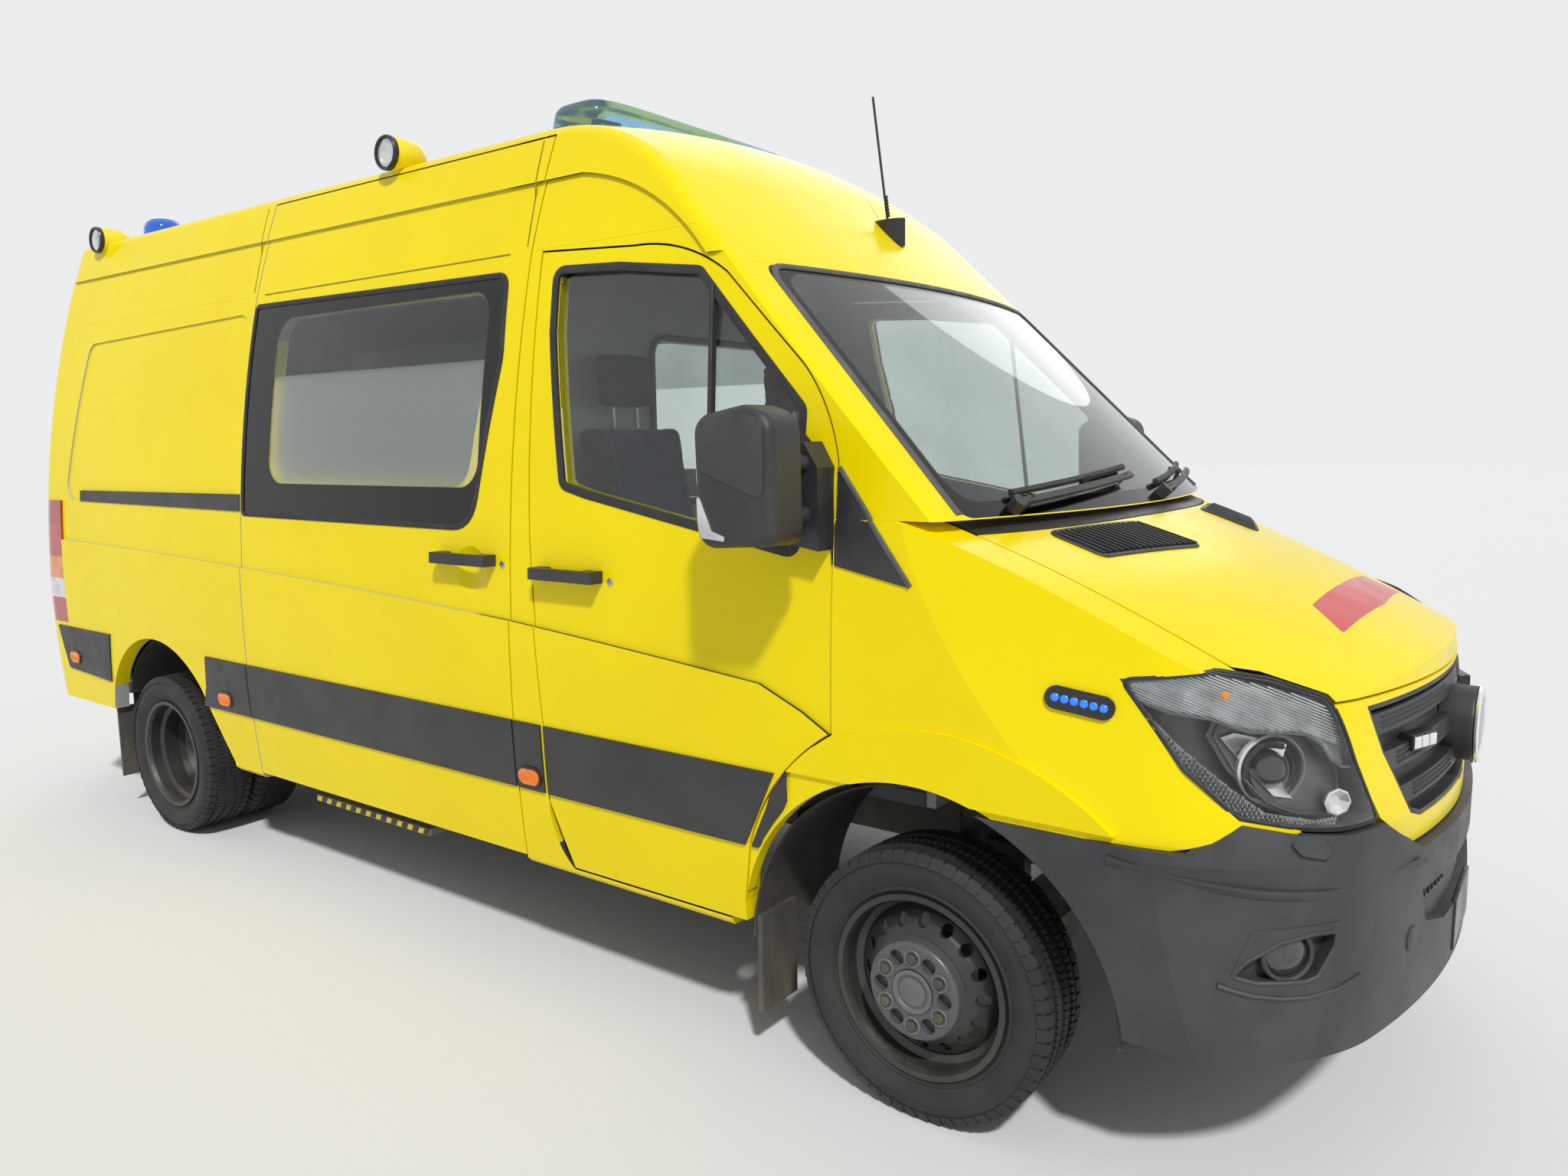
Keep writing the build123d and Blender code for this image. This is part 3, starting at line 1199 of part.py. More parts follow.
BLUE_LAMP_PROUD = 14
with BuildSketch() as blue_outline:
    with Locations(Location(BLUE_LAMP[:2], BLUE_TILT)):
        SlotOverall(*BLUE_LAMP[2:])
with SkipClean():
    blue_right = (block(blue_outline.sketch, -1200, -700) & nose_solid(BLUE_LAMP_PROUD)
                  & side_prism(-BLUE_LAMP_PROUD))
    blue_right = blue_right - (nose_solid(SEAT_GAP) & side_prism(-SEAT_GAP))
ambers = gathered([side_lamp(x, z, 96, 56, -MOULDING_PROUD - SEAT_GAP, -MOULDING_PROUD - 5, -2)
                   for x, z in AMBERS])
# Tail lamps wrap the rear corners
TAIL_LAMP_Z = (844, 1412)
TAIL_LAMP_Y = 812
TAIL_LAMP_REACH = 300       # how far it runs forward along the side
tail_zone = box((REAR_X - 30, REAR_X + TAIL_LAMP_REACH), (-1100, -TAIL_LAMP_Y), TAIL_LAMP_Z)
TAIL_LAMP_T = 24


def rounded_core(depth):
    """What lies deeper than a depth under the rear corners of the skin."""
    with BuildPart() as core:
        add(hull(0, depth))
        fillet(rear_corners(core), REAR_CORNER_R - depth)
    return core.part


with SkipClean():
    tail_right = (rounded_hull() & tail_zone) - rounded_core(TAIL_LAMP_T)
    tail_seat = both(box((REAR_X - 30, REAR_X + TAIL_LAMP_REACH + SEAT_GAP),
                         (-1100, -TAIL_LAMP_Y + SEAT_GAP),
                         (TAIL_LAMP_Z[0] - SEAT_GAP, TAIL_LAMP_Z[1] + SEAT_GAP))
                     - rounded_core(TAIL_LAMP_T + SEAT_GAP))

# Door handle on a round recess, and the mirror on its arm
HANDLE_X, HANDLE_Z = (-1242, -985), 1273


def handle(x_range, z):
    """A pull bar stood off the door on two feet."""
    x_near, x_far = x_range
    bar = side_layer(shape((x_near, z - 17), (x_far, z - 17), (x_far, z + 17), (x_near, z + 17)), -38, -18)
    feet = side_layer(shape((x_near, z - 17), (x_near + 45, z - 17), (x_near + 45, z + 17),
                            (x_near, z + 17)),
                      -20, SIDE_STEP - SEAT_GAP)
    more = side_layer(shape((x_far - 60, z - 17), (x_far, z - 17), (x_far, z + 17), (x_far - 60, z + 17)),
                      -20, SIDE_STEP - SEAT_GAP)
    return bar + feet + more


door_handle = handle(HANDLE_X, HANDLE_Z)
slide_handle = handle((-1703, -1440), 1296)
MIRROR_Y = (-1213, -1090)
with BuildPart() as mirror_head:
    with BuildSketch(side(MIRROR_Y[1])):
        with BuildLine():
            FilletPolyline((-440, 1395), (-215, 1410), (-222, 1700), (-300, 1725), (-450, 1700),
                           radius=(45, 30, 60, 60, 50), close=True)
        make_face()
    extrude(amount=MIRROR_Y[1] - MIRROR_Y[0])
    fillet(mirror_head.faces().sort_by(Axis.Y)[0].edges(), 26)
    fillet(mirror_head.faces().sort_by(Axis.Y)[-1].edges(), 12)
with SkipClean():
    mirror_base = block(shape((-222, 1385), (-222, 1580), (-262, 1640), (-300, 1600), (-312, 1400)),
                        -1030, -900)
    mirror_base = mirror_base - side_prism(SIDE_STEP - SEAT_GAP)
mirror_arms = (rod(at(-262, -1022, 1470), at(-272, -1095, 1470), 22)
               + rod(at(-262, -1022, 1590), at(-285, -1095, 1600), 20))
mirror_right = mirror_head.part + mirror_base + mirror_arms

# Rear step, side step and mudflaps
rear_step = box((-REAR_REACH, REAR_X - 30), (-640, 640), (395, 450), 30)
for y in (-410, 410):
    arm_y = (y - 28, y + 28)
    rear_step = rear_step + box((REAR_X - 60, RAIL_REAR_X + 60), arm_y, (415, REAR_LOW_Z - SEAT_GAP))
    rear_step = rear_step + box((RAIL_REAR_X, RAIL_REAR_X + 60), arm_y, (460, 500 - SEAT_GAP))
side_step = box((-2666, -1956), (-900, -640), (300, 325), 12) + gathered(
    [box((x, x + 40), (-700, -660), (320, FLOOR_Z - FLOOR_T - SEAT_GAP)) for x in (-2500, -2100)])
FLAP_X = 486
FLAP_TOP_Z = WHEEL_Z + sqrt((LINER_R - SEAT_GAP) ** 2 - FLAP_X ** 2)
front_flap = box((-FLAP_X, 16 - FLAP_X), (-945, -790), (130, FLAP_TOP_Z))
rear_flap = (box((-4192, -4180), (-955, -640), (150, REAR_LOW_Z - SEAT_GAP))
             + box((-4192, -4180), (-880, -640), (REAR_LOW_Z - 20, FLOOR_Z - FLOOR_T - SEAT_GAP)))
flaps = both(front_flap) + both(rear_flap)

# The round plain carrier in the middle of the grille
CARRIER_T = 80
with BuildPart() as carrier:
    with BuildSketch(cross(FRONT_REACH - CARRIER_T)):
        with Locations((0, BADGE_Z)):
            Circle(BADGE_R)
    extrude(amount=CARRIER_T)
    fillet(carrier.edges().sort_by(Axis.X)[-1], 12)
with SkipClean():
    grille = grille + carrier.part
    rear_quarter = quarter_right - tail_seat - rail_seat
    side_panel_left = side_panel_left - tail_seat

# Each finished piece under its own name
pieces = {
    "floor_pan": floor_pan,
    "chassis_rails": rails,
    "cab_frame": cab_frame,
    "roof_panel": roof_panel,
    "side_panel_left": side_panel_left,
    "rear_quarter_right": rear_quarter,
    "sliding_door": sliding_shell,
    "side_glass": both(side_pane),
    "front_wings": wings,
    "front_bumper": bumper,
    "grille": grille,
    "grille_surround": surround,
    "front_lamps": gathered([lamp_right, flipped(lamp_right), fog_lamp.part, flipped(fog_lamp.part)]),
    "scuttle": scuttle,
    "windscreen": windscreen.part,
    "side_mouldings": both(side_trim),
    "slide_rail": gathered([rail_trim, slide_handle]),
    "marker_lamps": gathered([ambers, flipped(ambers)]),
    "mudflaps": flaps,
    "blue_lights": gathered([light_bar.part, rear_beacons, blue_right, flipped(blue_right)]),
    "scene_lamps": pods,
    "aerial": aerial,
    "tail_lamps": both(tail_right),
    "steps": gathered([rear_step, side_step]),
    "engine_block": engine,
    "exhaust": exhaust,
    "fuel_tank": tank,
    "propshaft": propshaft,
    "rear_axle": gathered([rear_axle, springs]),
    "front_subframe": subframe,
    "wheel_housings": gathered([wheel_houses, wheel_liners]),
    "bulkheads": gathered([firewall, bulkhead]),
    "dashboard": dashboard_column,
    "cab_seats": seat_parts,
    "load_cupboards": cupboard,
    "stretcher_table": table,
    "door_right": door_shell,
    "door_glass_right": door_pane,
    "door_trim_right": gathered([door_moulding, door_handle, mirror_right]),
    "rear_door_right": rear_shell,
    "rear_glass_right": rear_pane.part,
    "bonnet": bonnet_shell,
    "knuckle_right": knuckle(-1),
    "knuckle_left": knuckle(1),
    "steering_wheel": steering_wheel.part,
    **wheels,
}
for name in ("door", "door_glass", "door_trim", "rear_door", "rear_glass"):
    pieces[name + "_left"] = flipped(pieces[name + "_right"])

for name, piece in pieces.items():
    piece.label = name
    export_step(piece, f"parts/{name}.step")
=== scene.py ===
"""Looks of the yellow high-roof ambulance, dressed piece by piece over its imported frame."""
import math
import bmesh
import bpy
import numpy
from mathutils import Matrix, Vector
from mathutils.bvhtree import BVHTree
from mathutils.geometry import delaunay_2d_cdt


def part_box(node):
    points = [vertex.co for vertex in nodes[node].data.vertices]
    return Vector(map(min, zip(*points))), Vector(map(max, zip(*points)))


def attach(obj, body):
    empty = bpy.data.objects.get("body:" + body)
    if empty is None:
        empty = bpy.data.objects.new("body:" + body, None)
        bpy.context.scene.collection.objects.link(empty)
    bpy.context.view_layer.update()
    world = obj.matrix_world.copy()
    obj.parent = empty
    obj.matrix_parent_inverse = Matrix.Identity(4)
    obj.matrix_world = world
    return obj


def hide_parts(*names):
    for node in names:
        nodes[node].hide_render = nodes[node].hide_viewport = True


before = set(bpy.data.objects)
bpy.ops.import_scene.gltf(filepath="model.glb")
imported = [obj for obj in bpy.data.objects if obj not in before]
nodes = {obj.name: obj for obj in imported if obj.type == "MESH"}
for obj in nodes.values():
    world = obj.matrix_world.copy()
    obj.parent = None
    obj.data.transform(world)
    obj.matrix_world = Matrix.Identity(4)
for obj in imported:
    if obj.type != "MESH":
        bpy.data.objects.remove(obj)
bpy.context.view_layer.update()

# Stand
# A plain pale floor under soft light from the front right, with a fill from behind.
# The camera stands off the front right corner, level with the mirrors.
FLOOR_COLOUR, FLOOR_SHADE = (0.80, 0.80, 0.79, 1), (0.77, 0.77, 0.76, 1)


def step(tree, kind, values=(), **settings):
    """One node: values go to its input sockets by name or number, or are linked to them."""
    node = tree.nodes.new("ShaderNode" + kind)
    for key, value in settings.items():
        setattr(node, key, value)
    for key, value in dict(values).items():
        if isinstance(value, bpy.types.NodeSocket):
            tree.links.new(value, node.inputs[key])
        else:
            node.inputs[key].default_value = value
    return node


def mixed(tree, factor, first, second):
    """Two colours mixed by a factor."""
    return step(tree, "Mix", {"Factor": factor, "A": first, "B": second}, data_type="RGBA").outputs["Result"]


def blank_finish(name, **sockets):
    """A material with its tree and its shader, with constants on the shader's own sockets."""
    finish = bpy.data.materials.new(name)
    finish.use_nodes = True
    shader = finish.node_tree.nodes["Principled BSDF"]
    for socket, value in sockets.items():
        shader.inputs[socket.replace("_", " ")].default_value = value
    return finish, finish.node_tree, shader


def placed(name, data):
    thing = bpy.data.objects.new(name, data)
    bpy.context.scene.collection.objects.link(thing)
    return thing


floor_mesh = bpy.data.meshes.new("studio_floor")
floor_mesh.from_pydata([(-60, -60, 0), (60, -60, 0), (60, 60, 0), (-60, 60, 0)], [], [(0, 1, 2, 3)])
floor = placed("studio_floor", floor_mesh)
floor_paint, tree, shader = blank_finish("studio_floor", Roughness=0.9)
floor_grit = step(tree, "TexNoise", {"Scale": 3.0}).outputs["Fac"]
tree.links.new(mixed(tree, floor_grit, FLOOR_COLOUR, FLOOR_SHADE), shader.inputs["Base Color"])
floor_mesh.materials.append(floor_paint)

world = bpy.data.worlds.new("studio")
world.use_nodes = True
bpy.context.scene.world = world
tree = world.node_tree
sky = tree.nodes["Background"]
sky.inputs["Color"].default_value = (0.93, 0.96, 1.0, 1)
sky.inputs["Strength"].default_value = 0.42
backdrop = step(tree, "Background", {"Color": (0.93, 0.94, 0.95, 1), "Strength": 0.9})
seen = step(tree, "LightPath")
shown = seen.outputs["Is Camera Ray"]
for ray in ("Is Glossy Ray", "Is Transmission Ray"):
    shown = step(tree, "Math", {0: shown, 1: seen.outputs[ray]}, operation="MAXIMUM").outputs[0]
pick = step(tree, "MixShader", {"Fac": shown, 1: sky.outputs["Background"], 2: backdrop.outputs["Background"]})
tree.links.new(pick.outputs["Shader"], tree.nodes["World Output"].inputs["Surface"])

for light_name, energy, spread, turn in (("sun_key", 2.5, 4, (40, 14, 30)), ("sun_fill", 0.35, 40, (62, 0, 205))):
    sun = bpy.data.lights.new(light_name, "SUN")
    sun.energy = energy
    sun.angle = math.radians(spread)
    placed(light_name, sun).rotation_euler = [math.radians(v) for v in turn]

YAW, PITCH, ROLL = (math.radians(v) for v in (36.566, 7.425, -0.7212))
forward = Vector((-math.sin(YAW) * math.cos(PITCH), math.cos(YAW) * math.cos(PITCH), -math.sin(PITCH)))
right = Vector((math.cos(YAW), math.sin(YAW), 0))
upward = right.cross(forward)
camera_right = right * math.cos(ROLL) + upward * math.sin(ROLL)
camera_up = upward * math.cos(ROLL) - right * math.sin(ROLL)
camera = placed("camera", bpy.data.cameras.new("camera"))
camera.data.sensor_width = 36
camera.data.lens = 25.744
camera.data.clip_start = 0.05
turned_to = Matrix((camera_right, camera_up, -forward)).transposed().to_4x4()
camera.matrix_world = Matrix.Translation((3.258, -3.169, 1.640)) @ turned_to
bpy.context.scene.camera = camera
bpy.context.scene.view_settings.view_transform = "Standard"

# Body paint
# High-visibility yellow gloss, sprayed over the whole steel body, the roof and the nose.
# The coat has a slight orange peel and road film low on the sides; faces turned inward take a lining colour, which is
# real trim inside the cab and the load space and painted shade in the panel gaps and door jambs.
PAINT_YELLOW, PAINT_DEEP = (0.90, 0.72, 0.0), (0.82, 0.62, 0.0)
# Lining colours: real trim inside, also used as painted shade on the walls of panel gaps and door jambs.
CAB_LINING_AND_SHADE, LOAD_LINING_AND_SHADE = (0.045, 0.046, 0.048, 1), (0.42, 0.43, 0.43, 1)
FILM_COLOUR = (0.24, 0.20, 0.13, 1)


def group_of(name, inputs, outputs):
    """An empty shader node group: inputs are name, kind and value."""
    tree = bpy.data.node_groups.new(name, "ShaderNodeTree")
    for label, kind, value in inputs:
        socket = tree.interface.new_socket(label, in_out="INPUT", socket_type=kind)
        socket.default_value = value
    for label, kind in outputs:
        tree.interface.new_socket(label, in_out="OUTPUT", socket_type=kind)
    return tree, tree.nodes.new("NodeGroupInput"), tree.nodes.new("NodeGroupOutput")


def worked(tree, operation, first, second=0.0, third=0.0):
    return step(tree, "Math", {0: first, 1: second, 2: third}, operation=operation).outputs[0]


def ranged(tree, value, low, high, to_low=0.0, to_high=1.0):
    node = step(tree, "MapRange", {"Value": value, "From Min": low, "From Max": high, "To Min": to_low,
        "To Max": to_high})
    node.interpolation_type = "SMOOTHSTEP"
    return node.outputs["Result"]


def place_of(tree):
    return step(tree, "TexCoord").outputs["Object"]


COLOUR, NUMBER = "NodeSocketColor", "NodeSocketFloat"

mottle, g_in, g_out = group_of("shade mottle", (("Colour", COLOUR, (1, 1, 1, 1)), ("Shade", COLOUR, (0, 0, 0, 1)),
    ("Scale", NUMBER, 4.0), ("Amount", NUMBER, 0.5)), (("Colour", COLOUR), ("Mask", NUMBER)))
cloud = step(mottle, "TexNoise", {"Vector": place_of(mottle), "Scale": g_in.outputs["Scale"], "Detail": 4.0,
    "Roughness": 0.6})
mask = worked(mottle, "MULTIPLY", ranged(mottle, cloud.outputs["Fac"], 0.38, 0.66), g_in.outputs["Amount"])
mottle.links.new(mixed(mottle, mask, g_in.outputs["Colour"], g_in.outputs["Shade"]), g_out.inputs["Colour"])
mottle.links.new(mask, g_out.inputs["Mask"])

film, g_in, g_out = group_of("road film", (("Colour", COLOUR, (1, 1, 1, 1)), ("Film", COLOUR, FILM_COLOUR),
    ("Top", NUMBER, 0.75), ("Amount", NUMBER, 0.6)), (("Colour", COLOUR), ("Mask", NUMBER)))
spot = place_of(film)
height = step(film, "SeparateXYZ", {"Vector": spot}).outputs["Z"]
low = worked(film, "SUBTRACT", 1.0, worked(film, "DIVIDE", height, g_in.outputs["Top"]))
streaks = step(film, "Mapping", {"Vector": spot, "Scale": (3, 3, 0.8)})
drift = step(film, "TexNoise", {"Vector": streaks.outputs["Vector"], "Scale": 3.0, "Detail": 6.0, "Roughness": 0.7})
mask = worked(film, "MULTIPLY", ranged(film, low, 0.0, 1.0), g_in.outputs["Amount"])
mask = worked(film, "MULTIPLY", mask, ranged(film, drift.outputs["Fac"], 0.3, 0.7, 0.35, 1.0))
mask = step(film, "Clamp", {"Value": mask}).outputs["Result"]
film.links.new(mixed(film, mask, g_in.outputs["Colour"], g_in.outputs["Film"]), g_out.inputs["Colour"])
film.links.new(mask, g_out.inputs["Mask"])

grain, g_in, g_out = group_of("fine grain", (("Scale", NUMBER, 300.0), ("Waves", NUMBER, 8.0)),
    (("Height", NUMBER), ("Mask", NUMBER)))
spot = place_of(grain)
pebble = step(grain, "TexNoise", {"Vector": spot, "Scale": g_in.outputs["Scale"], "Detail": 3.0})
sway = step(grain, "TexNoise", {"Vector": spot, "Scale": g_in.outputs["Waves"], "Detail": 2.0})
grain.links.new(worked(grain, "MULTIPLY_ADD", sway.outputs["Fac"], 0.4, pebble.outputs["Fac"]),
    g_out.inputs["Height"])
grain.links.new(ranged(grain, sway.outputs["Fac"], 0.3, 0.7), g_out.inputs["Mask"])


def finish_of(name, colour, shade, rough, mottle_scale=4.0, amount=0.5, grain_scale=300.0, waves=8.0, bump=0.05,
        film_top=0.0, film_amount=0.5, rough_swing=0.06, **sockets):
    """A finish: mottled colour, road film up to a height, grain in the bump and in the roughness."""
    finish, tree, shader = blank_finish(name, **sockets)
    tone = step(tree, "Group", node_tree=mottle)
    tone.inputs["Colour"].default_value, tone.inputs["Shade"].default_value = (*colour, 1), (*shade, 1)
    tone.inputs["Scale"].default_value, tone.inputs["Amount"].default_value = mottle_scale, amount
    last = tone.outputs["Colour"]
    bits = step(tree, "Group", node_tree=grain)
    bits.inputs["Scale"].default_value = grain_scale
    bits.inputs["Waves"].default_value = waves
    roughness = ranged(tree, bits.outputs["Mask"], 0.0, 1.0, rough - rough_swing, rough + rough_swing)
    if film_top:
        dirt = step(tree, "Group", node_tree=film)
        dirt.inputs["Top"].default_value = film_top
        dirt.inputs["Amount"].default_value = film_amount
        tree.links.new(last, dirt.inputs["Colour"])
        last = dirt.outputs["Colour"]
        roughness = worked(tree, "MULTIPLY_ADD", dirt.outputs["Mask"], 0.8 - rough, roughness)
    tree.links.new(last, shader.inputs["Base Color"])
    tree.links.new(roughness, shader.inputs["Roughness"])
    relief = step(tree, "Bump", {"Height": bits.outputs["Height"], "Strength": bump, "Distance": 0.002})
    tree.links.new(relief.outputs["Normal"], shader.inputs["Normal"])
    return finish


def dress(finish, *names):
    """Puts a finish on carried-over nodes of the frame."""
    for name in names:
        mesh = nodes[name].data
        mesh.materials.clear()
        mesh.materials.append(finish)


yellow_paint = finish_of("yellow_paint", PAINT_YELLOW, PAINT_DEEP, 0.26, mottle_scale=1.3, amount=0.35,
    grain_scale=260, waves=6, bump=0.035, film_top=0.62, film_amount=0.12, rough_swing=0.03, Coat_Weight=0.06,
    Coat_Roughness=0.05, Specular_IOR_Level=0.16)
dress(yellow_paint, "front_wings", "grille_surround", "bonnet")

inner_side, g_in, g_out = group_of("inner side", (("Middle Height", NUMBER, 1.45), ("Middle Along", NUMBER, -0.8)),
    (("Mask", NUMBER), ("Along", NUMBER)))
coords = step(inner_side, "TexCoord")
spot = step(inner_side, "SeparateXYZ", {"Vector": coords.outputs["Object"]})
way = step(inner_side, "SeparateXYZ", {"Vector": coords.outputs["Normal"]})
along = worked(inner_side, "MULTIPLY", worked(inner_side, "SUBTRACT", spot.outputs["X"],
    g_in.outputs["Middle Along"]), 0.30)
up = worked(inner_side, "SUBTRACT", spot.outputs["Z"], g_in.outputs["Middle Height"])
faces_out = worked(inner_side, "MULTIPLY", spot.outputs["Y"], way.outputs["Y"])
faces_out = worked(inner_side, "MULTIPLY_ADD", up, way.outputs["Z"], faces_out)
faces_out = worked(inner_side, "MULTIPLY_ADD", along, way.outputs["X"], faces_out)
inner_side.links.new(ranged(inner_side, faces_out, -0.03, -0.01, 1.0, 0.0), g_out.inputs["Mask"])
inner_side.links.new(ranged(inner_side, spot.outputs["X"], 0.44, 0.50), g_out.inputs["Along"])

# Faces turned inward take the lining colour: the real trim inside, and painted shade on the walls of panel gaps and
# door jambs.
lined_and_shaded_paint = yellow_paint.copy()
lined_and_shaded_paint.name = "yellow_paint_lined_and_shaded"
tree = lined_and_shaded_paint.node_tree
shader = tree.nodes["Principled BSDF"]
inside = step(tree, "Group", node_tree=inner_side)
lining_and_shade = mixed(tree, inside.outputs["Along"], LOAD_LINING_AND_SHADE, CAB_LINING_AND_SHADE)
for socket, kind, value in (("Base Color", "RGBA", lining_and_shade), ("Roughness", "FLOAT", 0.6)):
    painted = shader.inputs[socket].links[0].from_socket
    either = step(tree, "Mix", {"Factor": inside.outputs["Mask"], "A": painted, "B": value}, data_type=kind)
    tree.links.new(either.outputs["Result"], shader.inputs[socket])
dress(lined_and_shaded_paint, "cab_frame", "roof_panel", "side_panel_left", "rear_quarter_right", "sliding_door", "door_right",
    "door_left", "rear_door_right", "rear_door_left")

# Plain running pieces
# Frame rails, axles, engine, tank and exhaust under the floor: black chassis paint, cast iron and dull steel.
# The floor is a grey safety sheet, the wheel liners are black felt, and the rubber flaps hang behind the wheels.
BLACK, SOFT_BLACK = (0.018, 0.018, 0.019), (0.035, 0.035, 0.037)
chassis_black = finish_of("chassis_black", BLACK, (0.04, 0.036, 0.032), 0.45, mottle_scale=9, grain_scale=120,
    bump=0.15, film_top=0.9, film_amount=0.7)
dress(chassis_black, "chassis_rails", "propshaft", "rear_axle", "front_subframe")
dress(finish_of("cast_iron", (0.16, 0.16, 0.165), (0.09, 0.075, 0.065), 0.6, mottle_scale=14, grain_scale=220,
    bump=0.35, film_top=1.0, film_amount=0.6, Metallic=0.7), "engine_block", "knuckle_right", "knuckle_left")
dress(finish_of("dull_steel", (0.30, 0.30, 0.31), (0.16, 0.14, 0.12), 0.42, mottle_scale=11, grain_scale=160,
    bump=0.12, film_top=0.6, film_amount=0.5, Metallic=0.8), "exhaust")
dress(finish_of("felt_liner", (0.022, 0.022, 0.023), (0.05, 0.046, 0.04), 0.9, mottle_scale=16, grain_scale=500,
    bump=0.5, film_top=0.8, film_amount=0.5), "wheel_housings")
dress(finish_of("safety_floor", (0.20, 0.21, 0.22), (0.15, 0.155, 0.16), 0.6, mottle_scale=30, grain_scale=700,
    bump=0.3), "floor_pan")
dress(finish_of("tank_plastic", BLACK, SOFT_BLACK, 0.55, mottle_scale=8, grain_scale=350, bump=0.2, film_top=0.9,
    film_amount=0.6), "fuel_tank")
dress(finish_of("flap_rubber", (0.040, 0.040, 0.042), (0.075, 0.072, 0.066), 0.75, mottle_scale=12, grain_scale=300,
    bump=0.25, film_top=0.6, film_amount=0.6), "mudflaps")

# Black trim plastics
# Side mouldings, scuttle, handles, mirrors and the bumper are moulded polypropylene with a fine pebbled grain.
# It has greyed in the sun, most on the bumper and on the tops of the mirrors.
trim_plastic = finish_of("trim_plastic", (0.022, 0.022, 0.024), (0.045, 0.045, 0.048), 0.46, mottle_scale=5,
    grain_scale=620, waves=10, bump=0.22, film_top=0.75, film_amount=0.35)
dress(trim_plastic, "side_mouldings", "scuttle", "slide_rail", "door_trim_right", "door_trim_left", "grille")
bumper_plastic = finish_of("bumper_plastic", (0.030, 0.031, 0.033), (0.062, 0.062, 0.065), 0.50, mottle_scale=3.5,
    amount=0.7, grain_scale=520, waves=7, bump=0.25, film_top=0.62, film_amount=0.35)
dress(bumper_plastic, "front_bumper")

# Wheels
# Six light-truck tyres on steel disc wheels, singles in front and twins behind.
# The carcass is ringed rubber with staggered tread blocks; the discs are black, the front ones with a grey cap.
FRONT_AXLE, WHEELBASE, WHEEL_UP = 1.993, 3.665, 0.340
TYRE_R, GROOVE_FLOOR_R, BEAD_R = 0.3395, 0.3305, 0.2215
TREAD_PITCHES, OUTWARD = 60, (0, -1, 0)
CAP_R, CAP_GREY = 0.1245, (0.085, 0.089, 0.094, 1)
RIBS = ((-0.083, 0.021, 0.0040), (-0.043, 0.0165, 0.0012), (0.0, 0.0170, 0.0), (0.043, 0.0165, 0.0012),
    (0.083, 0.021, 0.0040))


def at(x, y, z):
    """A point given in millimetres, with x counted from the front axle."""
    return Vector((FRONT_AXLE + x / 1000, y / 1000, z / 1000))


def joined(*parts):
    """Several vertex and face lists as one."""
    points, faces = [], []
    for more_points, more_faces in parts:
        start = len(points)
        points += [Vector(p) for p in more_points]
        faces += [[i + start for i in face] for face in more_faces]
    return points, faces


def other_hand(words):
    return words.replace("right", "left")


def solid_mesh(name, points, faces):
    """A mesh with its normals all facing out."""
    mesh = bpy.data.meshes.new(name)
    mesh.from_pydata(points, [], faces)
    form = bmesh.new()
    form.from_mesh(mesh)
    bmesh.ops.recalc_face_normals(form, faces=form.faces)
    form.to_mesh(mesh)
    form.free()
    return mesh


def make(name, shape, finish, body="body", bevel=0.0, angle=32, stands_for=()):
    """A closed piece that rides on a body; a right one is made for the left too, mirrored across the middle."""
    for hand in ((1, -1) if "right" in name else (1,)):
        points, faces = shape
        mesh = solid_mesh(name if hand == 1 else other_hand(name), [(p[0], p[1] * hand, p[2]) for p in points],
            faces)
        mesh.shade_smooth()
        mesh.set_sharp_from_angle(angle=math.radians(angle))
        mesh.materials.append(finish)
        thing = placed(mesh.name, mesh)
        if bevel:
            edge = thing.modifiers.new("edge", "BEVEL")
            edge.width, edge.segments, edge.limit_method = bevel, 2, "ANGLE"
            edge.angle_limit = math.radians(40)
        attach(thing, body if hand == 1 else other_hand(body))
        if stands_for:
            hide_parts(*(stands_for if hand == 1 else [other_hand(n) for n in stands_for]))


def basis(axis):
    axis = Vector(axis).normalized()
    side = axis.cross(Vector((0, 0, 1)) if abs(axis.z) < 0.9 else Vector((1, 0, 0))).normalized()
    return axis, side, axis.cross(side)


def turned(profile, centre, axis, steps=48):
    """A shape turned round an axis: the profile runs as (radius, height) and closes on itself or at the axis."""
    axis, side, up = basis(axis)
    points, rings, faces = [], [], []
    for radius, height in profile:
        middle = Vector(centre) + axis * height
        if radius < 1e-6:
            rings.append([len(points)] * steps)
            points.append(middle)
            continue
        rings.append(list(range(len(points), len(points) + steps)))
        for n in range(steps):
            turn = math.tau * n / steps
            points.append(middle + side * (radius * math.cos(turn)) + up * (radius * math.sin(turn)))
    closed = profile[0][0] > 1e-6 and profile[-1][0] > 1e-6
    pairs = list(zip(rings, rings[1:])) + ([(rings[-1], rings[0])] if closed else [])
    for one, two in pairs:
        for n in range(steps):
            m = (n + 1) % steps
            face = [one[n], one[m], two[m], two[n]]
            faces.append([v for i, v in enumerate(face) if v not in face[:i]])
    return points, faces


def brick(centre, along, across, up, chop=0.0):
    """A block from its middle and half lengths; chop draws its top in."""
    along, across, up = Vector(along), Vector(across), Vector(up)
    points = [Vector(centre) + along * (a * k) + across * (b * k) + up * c for c, k in ((-1, 1.0), (1, 1.0 - chop))
        for a, b in ((-1, -1), (1, -1), (1, 1), (-1, 1))]
    return points, [[0, 3, 2, 1], [4, 5, 6, 7], [0, 1, 5, 4], [1, 2, 6, 5], [2, 3, 7, 6], [3, 0, 4, 7]]


